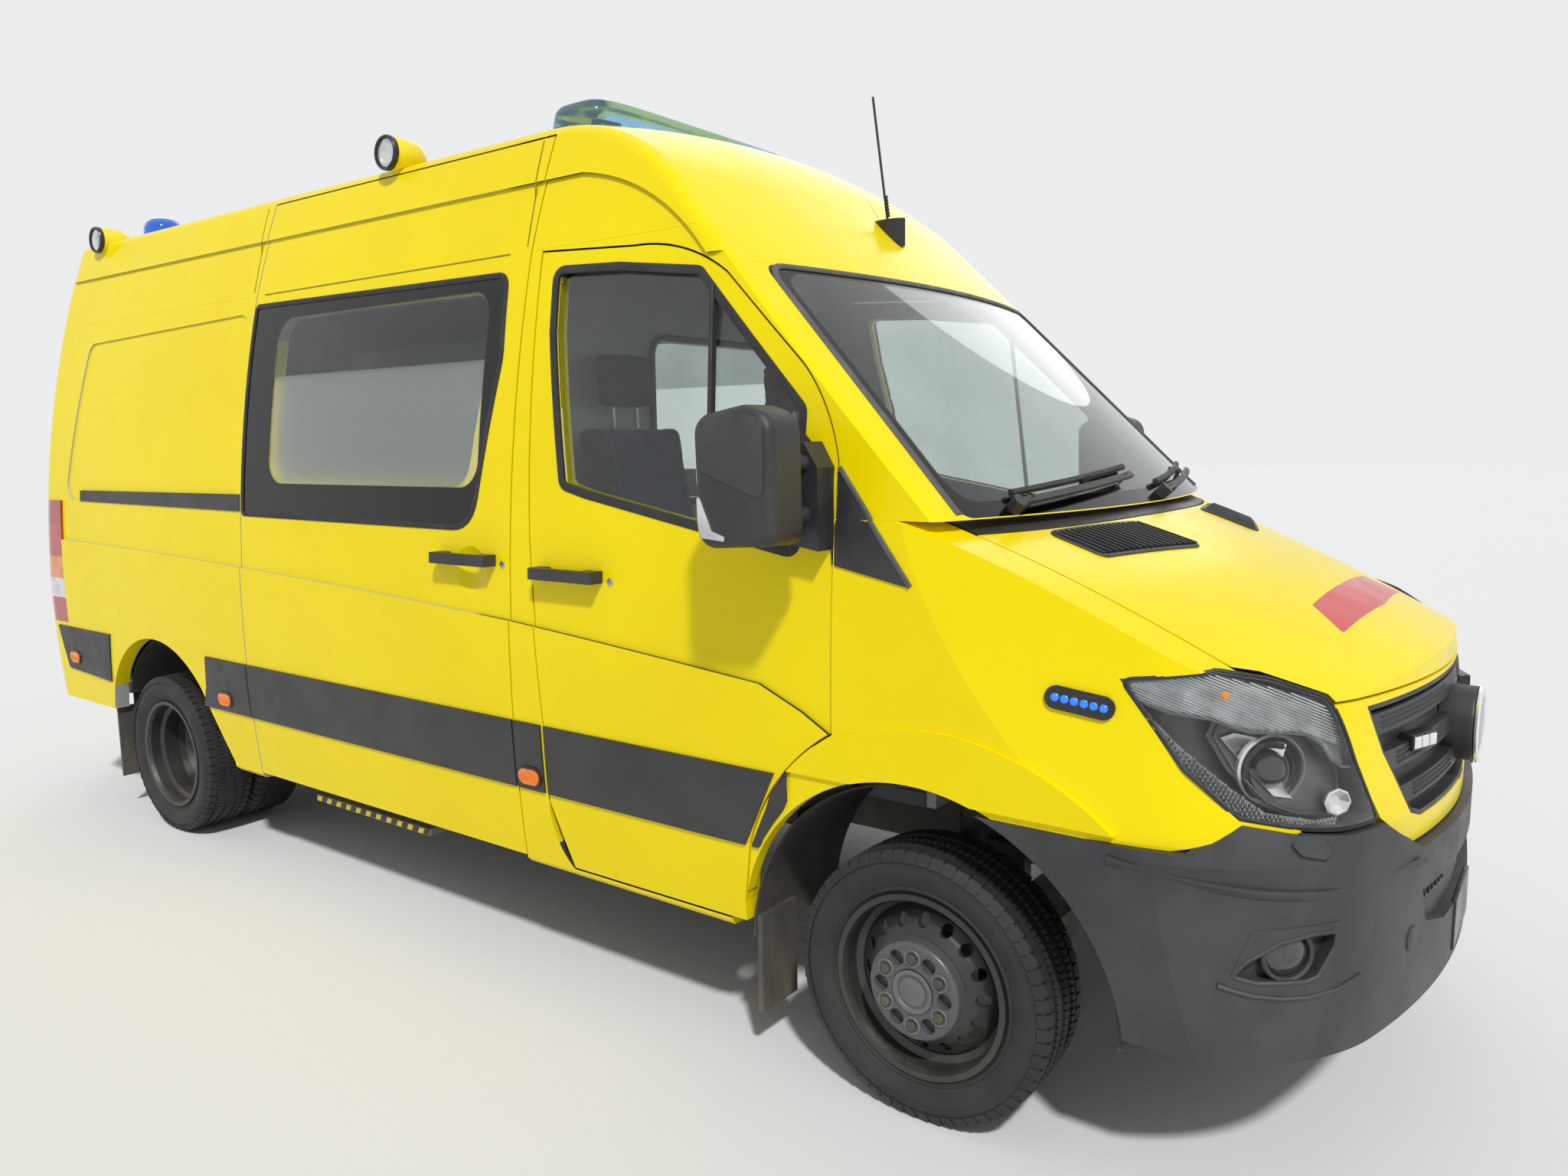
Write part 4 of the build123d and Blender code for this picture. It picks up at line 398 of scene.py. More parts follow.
def tyre(centre, outward):
    """One tyre: ringed carcass, groove floor, and five ribs of staggered blocks with sipes between."""
    half = [(BEAD_R, 0.074), (0.226, 0.082), (0.236, 0.087), (0.239, 0.0905), (0.243, 0.0905), (0.246, 0.088),
        (0.262, 0.0975), (0.280, 0.1012), (0.283, 0.1022), (0.286, 0.1022), (0.289, 0.1012), (0.300, 0.1000),
        (0.306, 0.1003), (0.309, 0.0993), (0.318, 0.0965), (0.325, 0.0930), (GROOVE_FLOOR_R - 0.001, 0.0880)]
    crown = [(GROOVE_FLOOR_R + 0.0015 * math.cos(w / 0.085 * 1.4), w) for w in (0.07, 0.035, 0.0, -0.035, -0.07)]
    inside = [(0.226, -0.066), (0.300, -0.070), (0.312, 0.0), (0.300, 0.070), (0.226, 0.066)]
    parts = [turned(half + crown + [(r, -w) for r, w in reversed(half)] + inside, centre, outward, 120)]
    axis, side, up = basis(outward)
    for row, (offset, width, drop) in enumerate(RIBS):
        outer = abs(offset) > 0.06
        for n in range(TREAD_PITCHES):
            for cut in ((-0.25, 0.25) if not outer else (0.0,)):
                turn = math.tau * (n + cut + 0.37 * row) / TREAD_PITCHES
                radial = side * math.cos(turn) + up * math.sin(turn)
                way = axis.cross(radial)
                skew = 0.30 if row in (1, 3) else 0.12
                top = TYRE_R - drop
                low = GROOVE_FLOOR_R - (0.020 if outer else 0.003)
                lean = axis * (math.copysign(0.0070, offset) if outer else 0.0)
                middle = Vector(centre) + axis * offset + radial * (top + low) / 2
                half_way = (way + axis * skew) * (0.0152 if outer else 0.0072)
                half_wide = axis * (width / 2 + (0.003 if outer else 0))
                parts.append(brick(middle, half_way, half_wide, radial * ((top - low) / 2) - lean, 0.05))
    return joined(*parts)


tyre_rubber = finish_of("tyre_rubber", (0.016, 0.016, 0.017), (0.032, 0.030, 0.028), 0.70, mottle_scale=9,
    grain_scale=420, bump=0.22, film_top=0.40, film_amount=0.08)
round_zone, g_in, g_out = group_of("round zone", (("Along", NUMBER, 0.0), ("Up", NUMBER, 0.0),
    ("Radius", NUMBER, 0.1)), (("Mask", NUMBER),))
spot = step(round_zone, "SeparateXYZ", {"Vector": place_of(round_zone)})
across = worked(round_zone, "SUBTRACT", spot.outputs["X"], g_in.outputs["Along"])
up = worked(round_zone, "SUBTRACT", spot.outputs["Z"], g_in.outputs["Up"])
away = worked(round_zone, "SQRT", worked(round_zone, "MULTIPLY_ADD", across, across,
    worked(round_zone, "MULTIPLY", up, up)))
past_rim = worked(round_zone, "SUBTRACT", away, g_in.outputs["Radius"])
round_zone.links.new(ranged(round_zone, past_rim, -0.0006, 0.0006, 1.0, 0.0), g_out.inputs["Mask"])
disc_black = finish_of("disc_black", (0.018, 0.019, 0.021), (0.030, 0.029, 0.027), 0.36, mottle_scale=12,
    grain_scale=400, waves=14, bump=0.10, film_top=0.60, film_amount=0.22)
capped_disc = disc_black.copy()
capped_disc.name = "disc_and_cap"
tree = capped_disc.node_tree
zone = step(tree, "Group", node_tree=round_zone)
for socket, value in (("Along", FRONT_AXLE), ("Up", WHEEL_UP), ("Radius", CAP_R)):
    zone.inputs[socket].default_value = value
shader = tree.nodes["Principled BSDF"]
disc_colour = shader.inputs["Base Color"].links[0].from_socket
tree.links.new(mixed(tree, zone.outputs["Mask"], disc_colour, CAP_GREY), shader.inputs["Base Color"])
steel_bright = finish_of("steel_bright", (0.55, 0.55, 0.56), (0.36, 0.34, 0.32), 0.34, mottle_scale=24,
    grain_scale=500, bump=0.08, Metallic=0.9)
cap_plastic = finish_of("cap_plastic", (0.11, 0.115, 0.12), (0.16, 0.16, 0.16), 0.48, mottle_scale=10,
    grain_scale=700, bump=0.15, film_top=0.6, film_amount=0.3)
dress(capped_disc, "rim_front_right", "rim_front_left")
dress(disc_black, "rims_rear_right", "rims_rear_left")


def skin_of(*names):
    """The surface of some nodes, for pieces to sit on."""
    points, faces = [], []
    for name in names:
        mesh, start = nodes[name].data, len(points)
        points += [v.co.copy() for v in mesh.vertices]
        faces += [[i + start for i in face.vertices] for face in mesh.polygons]
    return BVHTree.FromPolygons(points, faces)


def seat_on(skin, start, way):
    """Where a line from start meets a skin, and the outward normal there."""
    spot, normal, _, _ = skin.ray_cast(Vector(start), Vector(way).normalized())
    if spot is None:
        spot, normal, _, _ = skin.find_nearest(Vector(start))
    return spot, (normal if normal.dot(Vector(way)) < 0 else -normal)


def cylinder(low, high, radius, lip=0.0008, steps=24):
    """A short round piece with softened rims, from its two ends."""
    low, high = Vector(low), Vector(high)
    length = (high - low).length
    return turned([(0, 0), (radius - lip, 0), (radius, lip), (radius, length - lip), (radius - lip, length),
        (0, length)], low, high - low, steps)


for name, shifts in (("tyre_front_right", (0,)), ("tyres_rear_right", (-0.1095, 0.1095))):
    low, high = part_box(name)
    middle = (low + high) / 2
    body = "wheel_front_right" if "front" in name else "wheels_rear_right"
    tyres = [tyre((middle.x, middle.y + shift, TYRE_R + 0.0005), OUTWARD) for shift in shifts]
    make(name.replace("tyre", "treaded_tyre"), joined(*tyres), tyre_rubber, body, angle=28, stands_for=(name,))

front_rim, rear_rim = skin_of("rim_front_right"), skin_of("rims_rear_right")
nuts, cups, weight, rear_nuts = [], [], [], []


def on_disc(skin, turn, radius, back=0.0):
    """A spot on a wheel disc at an angle and a radius, with the way out along the spoke there."""
    spoke = Vector((math.cos(turn), 0, math.sin(turn)))
    return seat_on(skin, Vector((FRONT_AXLE - back, -1.2, TYRE_R)) + spoke * radius, (0, 1, 0))[0], spoke


for n in range(6):
    turn = math.tau * (n + 0.5) / 6
    spot, _ = on_disc(front_rim, turn, 0.084)
    nuts.append(turned([(0, -0.001), (0.0135, -0.001), (0.0135, 0.007), (0.010, 0.0095), (0, 0.0095)], spot,
        OUTWARD, 6))
    cups.append(turned([(0.0150, -0.001), (0.0225, -0.001), (0.0232, 0.002), (0.0210, 0.0042), (0.0168, 0.0030),
        (0.0150, 0.001)], spot, OUTWARD, 28))
    spot, _ = on_disc(rear_rim, turn, 0.078, WHEELBASE)
    rear_nuts.append(turned([(0, -0.002), (0.0145, -0.002), (0.0145, 0.014), (0.011, 0.018), (0, 0.018)], spot,
        OUTWARD, 6))
spot, _ = seat_on(front_rim, (FRONT_AXLE + 0.02, -1.2, TYRE_R), (0, 1, 0))
spot.x = FRONT_AXLE
cap_ring = turned([(0.040, -0.001), (0.053, -0.001), (0.054, 0.002), (0.051, 0.004), (0.043, 0.0035),
    (0.041, 0.001)], spot, OUTWARD, 48)
cap_middle = turned([(0, -0.001), (0.034, -0.001), (0.035, 0.001), (0.031, 0.003), (0, 0.004)], spot, OUTWARD, 40)
for n in range(9):
    spot, spoke = on_disc(front_rim, 1.1 + 0.020 * n, 0.206)
    weight.append(brick(spot + Vector((0, -0.001, 0)), spoke.cross(Vector((0, 1, 0))) * 0.0021, spoke * 0.006,
        (0, -0.0035, 0), 0.25))
make("wheel_nuts_front_right", joined(*nuts), chassis_black, "wheel_front_right", bevel=0.0006)
make("cap_rings_front_right", joined(*cups, cap_ring, cap_middle), cap_plastic, "wheel_front_right")
make("balance_weight_front_right", joined(*weight), steel_bright, "wheel_front_right")
make("wheel_nuts_rear_right", joined(*rear_nuts), cap_plastic, "wheels_rear_right", bevel=0.0008)

# Window glass
# Green-tinted toughened panes and a laminated windscreen, bonded in with a black ceramic border.
# The load-space panes are covered by a frosted film up to a clear strip along the top.
CLEAR_GREEN, FILM_GREY = (0.80, 0.88, 0.84, 1), (0.42, 0.47, 0.46, 1)

field, g_in, g_out = group_of("rounded field", (("Across", NUMBER, 0.0), ("Up", NUMBER, 0.0),
    ("Middle Across", NUMBER, 0.0), ("Middle Up", NUMBER, 0.0), ("Half Width", NUMBER, 1.0),
    ("Half Height", NUMBER, 1.0), ("Corner", NUMBER, 0.05)), (("Mask", NUMBER),))


def past_edge(tree, value, middle, half, corner):
    away = worked(tree, "ABSOLUTE", worked(tree, "SUBTRACT", value, middle))
    return worked(tree, "ADD", worked(tree, "SUBTRACT", away, half), corner)


edge_sockets = (("Across", "Middle Across", "Half Width"), ("Up", "Middle Up", "Half Height"))
past = [past_edge(field, *(g_in.outputs[label] for label in (*labels, "Corner"))) for labels in edge_sockets]
outer = [worked(field, "MAXIMUM", value, 0.0) for value in past]
reach = worked(field, "SQRT", worked(field, "ADD", worked(field, "MULTIPLY", outer[0], outer[0]),
    worked(field, "MULTIPLY", outer[1], outer[1])))
reach = worked(field, "ADD", reach, worked(field, "MINIMUM", worked(field, "MAXIMUM", past[0], past[1]), 0.0))
beyond = worked(field, "SUBTRACT", reach, g_in.outputs["Corner"])
field.links.new(ranged(field, beyond, -0.001, 0.001, 1.0, 0.0), g_out.inputs["Mask"])


def pane_finish(name, across="X", lean=0.0, lean_from=0.0, rim=None, clear=None, tint=CLEAR_GREEN):
    """Glass with a black border outside rim, and frosted film outside clear: middles, half sizes and corner."""
    pane, tree, shader = blank_finish(name, Transmission_Weight=1.0, IOR=1.45)
    parts = step(tree, "SeparateXYZ", {"Vector": place_of(tree)})
    sideways = parts.outputs[across]
    if across == "Y":
        sideways = worked(tree, "ABSOLUTE", sideways)
    sideways = worked(tree, "MULTIPLY_ADD", worked(tree, "SUBTRACT", parts.outputs["Z"], lean_from), lean, sideways)
    smears = step(tree, "TexNoise", {"Vector": place_of(tree), "Scale": 2.5, "Detail": 5.0})
    colour = mixed(tree, ranged(tree, smears.outputs["Fac"], 0.35, 0.7, 0.0, 0.35), tint, (0.86, 0.90, 0.88, 1))
    rough = ranged(tree, smears.outputs["Fac"], 0.4, 0.7, 0.0, 0.03)
    for shape, coat, coarse in ((clear, (0.86, 0.90, 0.90, 1), 0.75), (rim, (0.004, 0.004, 0.004, 1), 0.12)):
        if shape is None:
            continue
        inside = step(tree, "Group", node_tree=field)
        tree.links.new(sideways, inside.inputs["Across"])
        tree.links.new(parts.outputs["Z"], inside.inputs["Up"])
        for socket, value in zip(("Middle Across", "Middle Up", "Half Width", "Half Height", "Corner"), shape):
            inside.inputs[socket].default_value = value
        away = worked(tree, "SUBTRACT", 1.0, inside.outputs["Mask"])
        colour = mixed(tree, away, colour, coat)
        gap = worked(tree, "SUBTRACT", coarse, rough)
        rough = worked(tree, "MULTIPLY_ADD", away, gap, rough)
    tree.links.new(colour, shader.inputs["Base Color"])
    tree.links.new(rough, shader.inputs["Roughness"])
    return pane


dress(pane_finish("screen_glass", "Y", 0.172, 1.78, rim=(0.0, 1.788, 0.798, 0.292, 0.06),
    tint=(0.62, 0.70, 0.67, 1)), "windscreen")
dress(pane_finish("door_glass", tint=(0.66, 0.72, 0.70, 1)), "door_glass_right", "door_glass_left")
dress(pane_finish("film_glass", rim=(FRONT_AXLE - 2.138, 1.812, 0.602, 0.300, 0.085),
    clear=(FRONT_AXLE - 2.150, 2.150, 0.900, 0.250, 0.01), tint=FILM_GREY), "side_glass")
dress(pane_finish("rear_pane_glass", "Y", 0.0, 0.0, rim=(0.385, 1.79, 0.222, 0.250, 0.06),
    clear=(0.385, 2.150, 0.90, 0.250, 0.01), tint=FILM_GREY), "rear_glass_right", "rear_glass_left")

# Window rubbers
# Black extruded seals round the glass: door glass channel with its division bar, sliding pane, windscreen edge.
# They are pushed on the flange and have weathered grey along the windscreen.


def quads(count, one, two):
    """Faces between two rings of points, each given by its first point."""
    return [[one + i, one + (i + 1) % count, two + (i + 1) % count, two + i] for i in range(count)]


def sweep(spots, section, closed=False):
    """A section (across, out) carried along spots, each a point and its outward normal."""
    points, faces, count, n_ring = [], [], len(spots), len(section)
    for i, (spot, out) in enumerate(spots):
        before = spots[i - 1][0] if i or closed else spot
        after = spots[(i + 1) % count][0] if i < count - 1 or closed else spot
        along = (after - before).normalized()
        across = along.cross(out).normalized()
        out = across.cross(along).normalized()
        points += [spot + across * a + out * o for a, o in section]
    for i in range(count if closed else count - 1):
        faces += quads(n_ring, i * n_ring, (i + 1) % count * n_ring)
    if not closed:
        faces += [list(range(n_ring))[::-1], [(count - 1) * n_ring + k for k in range(n_ring)]]
    return points, faces


def rounded(corners, radius, pitch=0.02, closed=True):
    """Corners in the plane, in millimetres, as a line with rounded corners and even steps, in metres."""
    line, count = [], len(corners)
    radii = radius if hasattr(radius, "__len__") else [radius] * count
    for i, corner in enumerate(corners):
        here = Vector(corner).to_2d() / 1000
        if not closed and i in (0, count - 1):
            line.append(here)
            continue
        back = Vector(corners[i - 1]).to_2d() / 1000 - here
        on = Vector(corners[(i + 1) % count]).to_2d() / 1000 - here
        cut = min(radii[i] / 1000 / max(math.tan(back.angle(on) / 2), 0.05), back.length * 0.48, on.length * 0.48)
        start, end = here + back.normalized() * cut, here + on.normalized() * cut
        turns = max(2, int(math.degrees(math.pi - back.angle(on)) / 12))
        line += [(start * (1 - t) ** 2 + here * 2 * t * (1 - t) + end * t * t)
            for t in (k / turns for k in range(turns + 1))]
    spaced = [line[0]]
    for here, there in zip(line, line[1:] + (line[:1] if closed else [])):
        parts = max(1, int((there - here).length / pitch))
        spaced += [here.lerp(there, (k + 1) / parts) for k in range(parts)]
    return spaced[:-1] if closed else spaced


def shrunk(outline, inset):
    """An outline drawn in by a margin, corner by corner."""
    inner, count = [], len(outline)
    turning = sum(outline[i - 1][0] * outline[i][1] - outline[i][0] * outline[i - 1][1] for i in range(count))
    for i in range(count):
        here = Vector(outline[i])
        back, on = (here - Vector(outline[i - 1])).normalized(), (Vector(outline[(i + 1) % count]) - here).normalized()
        side = (Vector((-back.y, back.x)) + Vector((-on.y, on.x))).normalized() * (1 if turning > 0 else -1)
        inner.append(here + side * inset)
    return inner


side_skin = skin_of("cab_frame", "door_right", "sliding_door", "rear_quarter_right", "front_wings",
    "door_glass_right", "side_glass", "windscreen")


def on_side(x, z, skin=None, lift=0.0):
    """A spot on the right side, from a place in metres with x from the front axle."""
    skin = skin or side_skin
    spot, normal = seat_on(skin, (FRONT_AXLE + x, -1.6, z), (0, 1, 0))
    if spot.y > -0.80:
        spot, normal, _, _ = skin.find_nearest(Vector((FRONT_AXLE + x, -1.05, z)))
        spot = Vector((FRONT_AXLE + x, spot.y, z))
    return spot + normal * lift, normal


def lip(width, thick, sink=0.002):
    """A low rounded section: half width, height and how far it sinks in."""
    return [(-width, -sink), (width, -sink), (width, thick * 0.55), (width * 0.6, thick), (-width * 0.6, thick),
        (-width, thick * 0.55)]


def round_section(wide, tall, count, lift=0.0):
    return [(math.cos(math.tau * k / count) * wide, lift + math.sin(math.tau * k / count) * tall)
        for k in range(count)]


def flat(half, low, high, top=None):
    """A four-cornered section: half width, two heights, and the half width on top where it differs."""
    top = half if top is None else top
    return [(-half, low), (half, low), (top, high), (-top, high)]


seal_rubber = finish_of("seal_rubber", (0.014, 0.014, 0.015), (0.032, 0.032, 0.033), 0.62, mottle_scale=14,
    grain_scale=500, bump=0.12)
grey_rubber = finish_of("grey_rubber", (0.075, 0.077, 0.080), (0.14, 0.14, 0.142), 0.7, mottle_scale=9,
    grain_scale=260, bump=0.2)
DOOR_PANE = ((-1246, 2136), (-1232, 1960), (-1150, 1530), (-1060, 1508), (-330, 1376), (-330, 1716), (-700, 2082),
    (-1000, 2122))
SLIDING_PANE = ((-2906, 2164), (-2906, 1402), (-1560, 1394), (-1462, 1900), (-1476, 2146))
door_skin = skin_of("door_right")
slide_skin = skin_of("sliding_door")


def laid(place, outline):
    return [place(*p) for p in outline]


def seated(place, skin):
    """A place on one skin, from its two coordinates alone."""
    return lambda one, two: place(one, two, skin)


def around(corners, radius, skin, margin):
    """Spots round an opening, a margin outside its edge."""
    return laid(seated(on_side, skin), shrunk(rounded(corners, radius), -margin))


seals = [sweep(around(DOOR_PANE, 26, door_skin, 0.007), lip(0.012, 0.003, 0.006), True)]
bar_out = on_side(-0.72, 2.00, door_skin)[1]
low_spot, high_spot = on_side(-0.598, 1.418, door_skin)[0], on_side(-0.640, 2.052, door_skin)[0]
bar = [(high_spot.lerp(low_spot, k / 12) - bar_out * 0.010, bar_out) for k in range(13)]
seals.append(sweep(bar, [(-0.012, 0), (0.012, 0), (0.012, 0.007), (0.008, 0.010), (-0.008, 0.010),
    (-0.012, 0.007)]))
make("door_window_seals_right", joined(*seals), seal_rubber, "door_right")
make("sliding_window_seal", sweep(around(SLIDING_PANE, (12, 12, 110, 200, 40), slide_skin, 0.006),
    lip(0.009, 0.004, 0.006), True), seal_rubber)
screen_skin = skin_of("windscreen", "cab_frame", "scuttle")


def on_front(y, z, skin, lift=0.0):
    """A spot on the front, from a place in metres."""
    spot, normal = seat_on(skin, (FRONT_AXLE + 1.6, y, z), (-1, 0, 0))
    return spot + normal * lift, normal


SCREEN_EDGE = ((-886, 1470), (-776, 2098), (776, 2098), (886, 1470))
edge_spots = laid(seated(on_front, screen_skin), rounded(SCREEN_EDGE, (30, 70, 70, 30), closed=False))
make("windscreen_rubber", sweep(edge_spots, lip(0.010, 0.006, 0.004)), grey_rubber)

# Headlamps and fog lamps
# One large clear polycarbonate lens over a dark tub on each corner, with the reflectors, the projector, the bulbs
# and the mesh band behind it; the round fog lamps sit in the bumper's eye-shaped recesses.
HEADLAMP = ((-336, 1149), (-163, 1176), (-58, 1157), (71, 1112), (134, 975), (208, 842), (83, 846), (-35, 859),
    (-139, 879), (-239, 976))
NOSE_OUT, NOSE_ACROSS = Vector((1, -1, 0)).normalized(), Vector((1, 1, 0)).normalized()
lamp_skin = skin_of("front_lamps")


def on_nose(u, z, skin=lamp_skin, lift=0.0):
    """A spot on the right front corner, from across and height in metres on the plane square to the corner."""
    start = Vector((FRONT_AXLE, 0, z)) + NOSE_OUT * 1.5 + NOSE_ACROSS * u
    spot, normal = seat_on(skin, start, -NOSE_OUT)
    return spot + normal * lift, normal


def within(outline, x, y):
    """Whether a spot lies inside a flat outline."""
    crossings = 0
    for (ax, ay), (bx, by) in zip(outline, list(outline[1:]) + [outline[0]]):
        if (ay > y) != (by > y) and x < ax + (bx - ax) * (y - ay) / (by - ay):
            crossings += 1
    return crossings % 2 == 1


def thickened(dots, faces, place, low, high):
    """A flat mesh carried to its place and closed between two heights."""
    spots, size = [place(d.x, d.y) for d in dots], len(dots)
    points = [spot + normal * high for spot, normal in spots] + [spot + normal * low for spot, normal in spots]
    edges = dict.fromkeys((a, b) for face in faces for a, b in zip(face, face[1:] + face[:1]))
    walls = [[a, a + size, b + size, b] for a, b in edges if (b, a) not in edges]
    return points, [list(f) for f in faces] + [[i + size for i in f][::-1] for f in faces] + walls


def sheet_of(outline, place, low, high, pitch=0.03):
    """A closed sheet over a curved face: outline in the face's plane, place gives the spot and its normal."""
    xs, ys = [p[0] for p in outline], [p[1] for p in outline]
    dots = [Vector(p[:2]) for p in outline]
    count = len(dots)
    x = min(xs) + pitch / 2
    while x < max(xs):
        y = min(ys) + pitch / 2
        while y < max(ys):
            near = min((Vector((x, y)) - d).length for d in dots[:count])
            if near > pitch * 0.35 and within(outline, x, y):
                dots.append(Vector((x, y)))
            y += pitch
        x += pitch
    dots, _, faces, _, _, _ = delaunay_2d_cdt(dots, [(i, (i + 1) % count) for i in range(count)], [], 1, 1e-7)
    return thickened(dots, faces, place, low, high)


def powers(u, z, order):
    return [u ** i * (z - 1) ** j for i in range(order + 1) for j in range(order + 1 - i)]


def fitted(skin, spots, order):
    """A smooth face through a skin at given spots on the corner's plane; gives places at a depth behind it."""
    reach = [(on_nose(u, z, skin)[0] - Vector((FRONT_AXLE, 0, z))).dot(NOSE_OUT) for u, z in spots]
    share = numpy.linalg.lstsq(numpy.array([powers(u, z, order) for u, z in spots]), numpy.array(reach),
        rcond=None)[0]

    def at_depth(depth):
        def spot_of(u, z):
            out = float(numpy.dot(powers(u, z, order), share)) - depth
            return Vector((FRONT_AXLE, 0, z)) + NOSE_OUT * out + NOSE_ACROSS * u

        def place(u, z):
            spot = spot_of(u, z)
            one, two = spot_of(u + 0.004, z) - spot, spot_of(u, z + 0.004) - spot
            normal = one.cross(two).normalized()
            return spot, normal if normal.dot(NOSE_OUT) > 0 else -normal
        return place
    return at_depth


def frame_of(outline, hole, place, low, high, pitch):
    """A closed sheet with a hole through it."""
    outline, hole, count = [tuple(p) for p in outline], [tuple(p) for p in hole], len(outline)
    links = [(i, (i + 1) % count) for i in range(count)]
    links += [(count + i, count + (i + 1) % len(hole)) for i in range(len(hole))]
    border = [Vector(p) for p in outline + hole]
    dots, xs, ys = list(border), [p[0] for p in outline], [p[1] for p in outline]
    for a in range(int((max(xs) - min(xs)) / pitch)):
        for b in range(int((max(ys) - min(ys)) / pitch)):
            dot = Vector((min(xs) + pitch * (a + 0.5), min(ys) + pitch * (b + 0.5)))
            near = min((dot - p).length for p in border)
            if near > pitch * 0.4 and within(outline, *dot) and not within(hole, *dot):
                dots.append(dot)
    dots, _, faces, _, _, _ = delaunay_2d_cdt(dots, links, [], 1, 1e-7)
    faces = [f for f in faces if not within(hole, *(sum((dots[i] for i in f), Vector((0, 0))) / len(f)))]
    return thickened(dots, faces, place, low, high)


def ribs_in(outline, way, pitch, place, section, ends=0.004):
    """Straight ribs across an outline, side by side."""
    way = Vector(way).normalized()
    side = Vector((-way.y, way.x))
    reaches = [Vector(p).dot(side) for p in outline]
    lengths = [Vector(p).dot(way) for p in outline]
    ribs = []
    for n in range(int((max(reaches) - min(reaches)) / pitch)):
        offset, run = min(reaches) + pitch * (n + 0.5), []
        for k in range(int((max(lengths) - min(lengths)) / ends) + 2):
            spot = side * offset + way * (min(lengths) + ends * k)
            if within(outline, spot.x, spot.y):
                run.append(place(spot.x, spot.y))
            elif len(run) > 2:
                break
            else:
                run = []
        if len(run) > 2:
            ribs.append(sweep([run[0], *run[2:-2:4], run[-1]], section))
    return ribs


def mm(*corners):
    return [(x / 1000, y / 1000) for x, y in corners]


def grid(across, up):
    return mm(*((u, z) for u in range(*across) for z in range(*up)))


def tub(outline, face, depth, wall=0.003):
    """The walls of a lamp tub that go straight back from its outline."""
    inner, count = shrunk(outline, wall), len(outline)
    points = [face(back)(p[0], p[1])[0] for ring, back in ((outline, 0.0035), (outline, depth), (inner, depth),
        (inner, 0.0035)) for p in ring]
    faces = [face for r in range(4) for face in quads(count, r * count, (r + 1) % 4 * count)]
    return points, faces


def clear_finish(name, colour, shade, through, bending, scale, detail, hazy_from, rough):
    """A see-through plastic with a faint haze in its colour and roughness."""
    finish, tree, shader = blank_finish(name, Transmission_Weight=through, IOR=bending)
    haze = step(tree, "TexNoise", {"Vector": place_of(tree), "Scale": scale, "Detail": detail}).outputs["Fac"]
    tree.links.new(mixed(tree, haze, colour, shade), shader.inputs["Base Color"])
    tree.links.new(ranged(tree, haze, hazy_from, 0.7, *rough), shader.inputs["Roughness"])
    return finish


lens_clear = clear_finish("lens_clear", (0.99, 0.99, 0.98, 1), (0.93, 0.94, 0.92, 1), 1.0, 1.30, 18.0, 5.0, 0.4,
    (0.0, 0.035))
chrome = finish_of("lamp_chrome", (0.86, 0.87, 0.88), (0.72, 0.73, 0.75), 0.16, mottle_scale=30, grain_scale=900,
    waves=30, bump=0.03, Metallic=0.6)
lamp_grey = finish_of("lamp_grey", (0.13, 0.135, 0.14), (0.08, 0.082, 0.085), 0.38, mottle_scale=20,
    grain_scale=800, bump=0.08, Metallic=0.3)
lamp_black = finish_of("lamp_black", (0.012, 0.012, 0.013), (0.03, 0.03, 0.032), 0.30, mottle_scale=20,
    grain_scale=700, bump=0.05)
mesh_silver = finish_of("mesh_silver", (0.34, 0.345, 0.35), (0.22, 0.225, 0.23), 0.30, mottle_scale=30,
    grain_scale=900, bump=0.04, Metallic=0.8)
rib_clear = finish_of("rib_clear", (0.72, 0.74, 0.76), (0.50, 0.52, 0.54), 0.14, mottle_scale=12, amount=0.8,
    grain_scale=900, bump=0.03, Metallic=0.85)
projector_glass = finish_of("projector_glass", (0.010, 0.012, 0.016), (0.030, 0.034, 0.042), 0.03, mottle_scale=22,
    grain_scale=300, bump=0.002, rough_swing=0.01, Coat_Weight=1.0, Coat_Roughness=0.02)
fog_glass = finish_of("fog_glass", (0.030, 0.032, 0.034), (0.070, 0.072, 0.074), 0.10, mottle_scale=26,
    grain_scale=300, bump=0.01, rough_swing=0.02, Coat_Weight=0.8, Coat_Roughness=0.06)
amber_glow = finish_of("amber_glow", (0.95, 0.30, 0.01), (0.80, 0.20, 0.01), 0.15, mottle_scale=40, grain_scale=900,
    bump=0.03)

lamp_outline = rounded(HEADLAMP, (16, 40, 90, 60, 260, 12, 120, 80, 60, 40), 0.022)
lamp_face = fitted(lamp_skin, [p for p in grid((-320, 200, 20), (850, 1170, 16))
    if within(shrunk(lamp_outline, 0.012), *p)], 4)
make("headlamp_lens_right", sheet_of(shrunk(lamp_outline, 0.002), lamp_face(0.0), -0.0035, 0.0), lens_clear,
    angle=50, stands_for=("front_lamps",))
make("headlamp_rim_right", sweep(laid(lamp_face(0.0), lamp_outline), flat(0.0035, -0.014, 0.0010), True),
    seal_rubber)
make("headlamp_tub_right", joined(tub(shrunk(lamp_outline, 0.004), lamp_face, 0.100),
    sheet_of(shrunk(lamp_outline, 0.005), lamp_face(0.098), -0.004, 0.0)), lamp_grey)

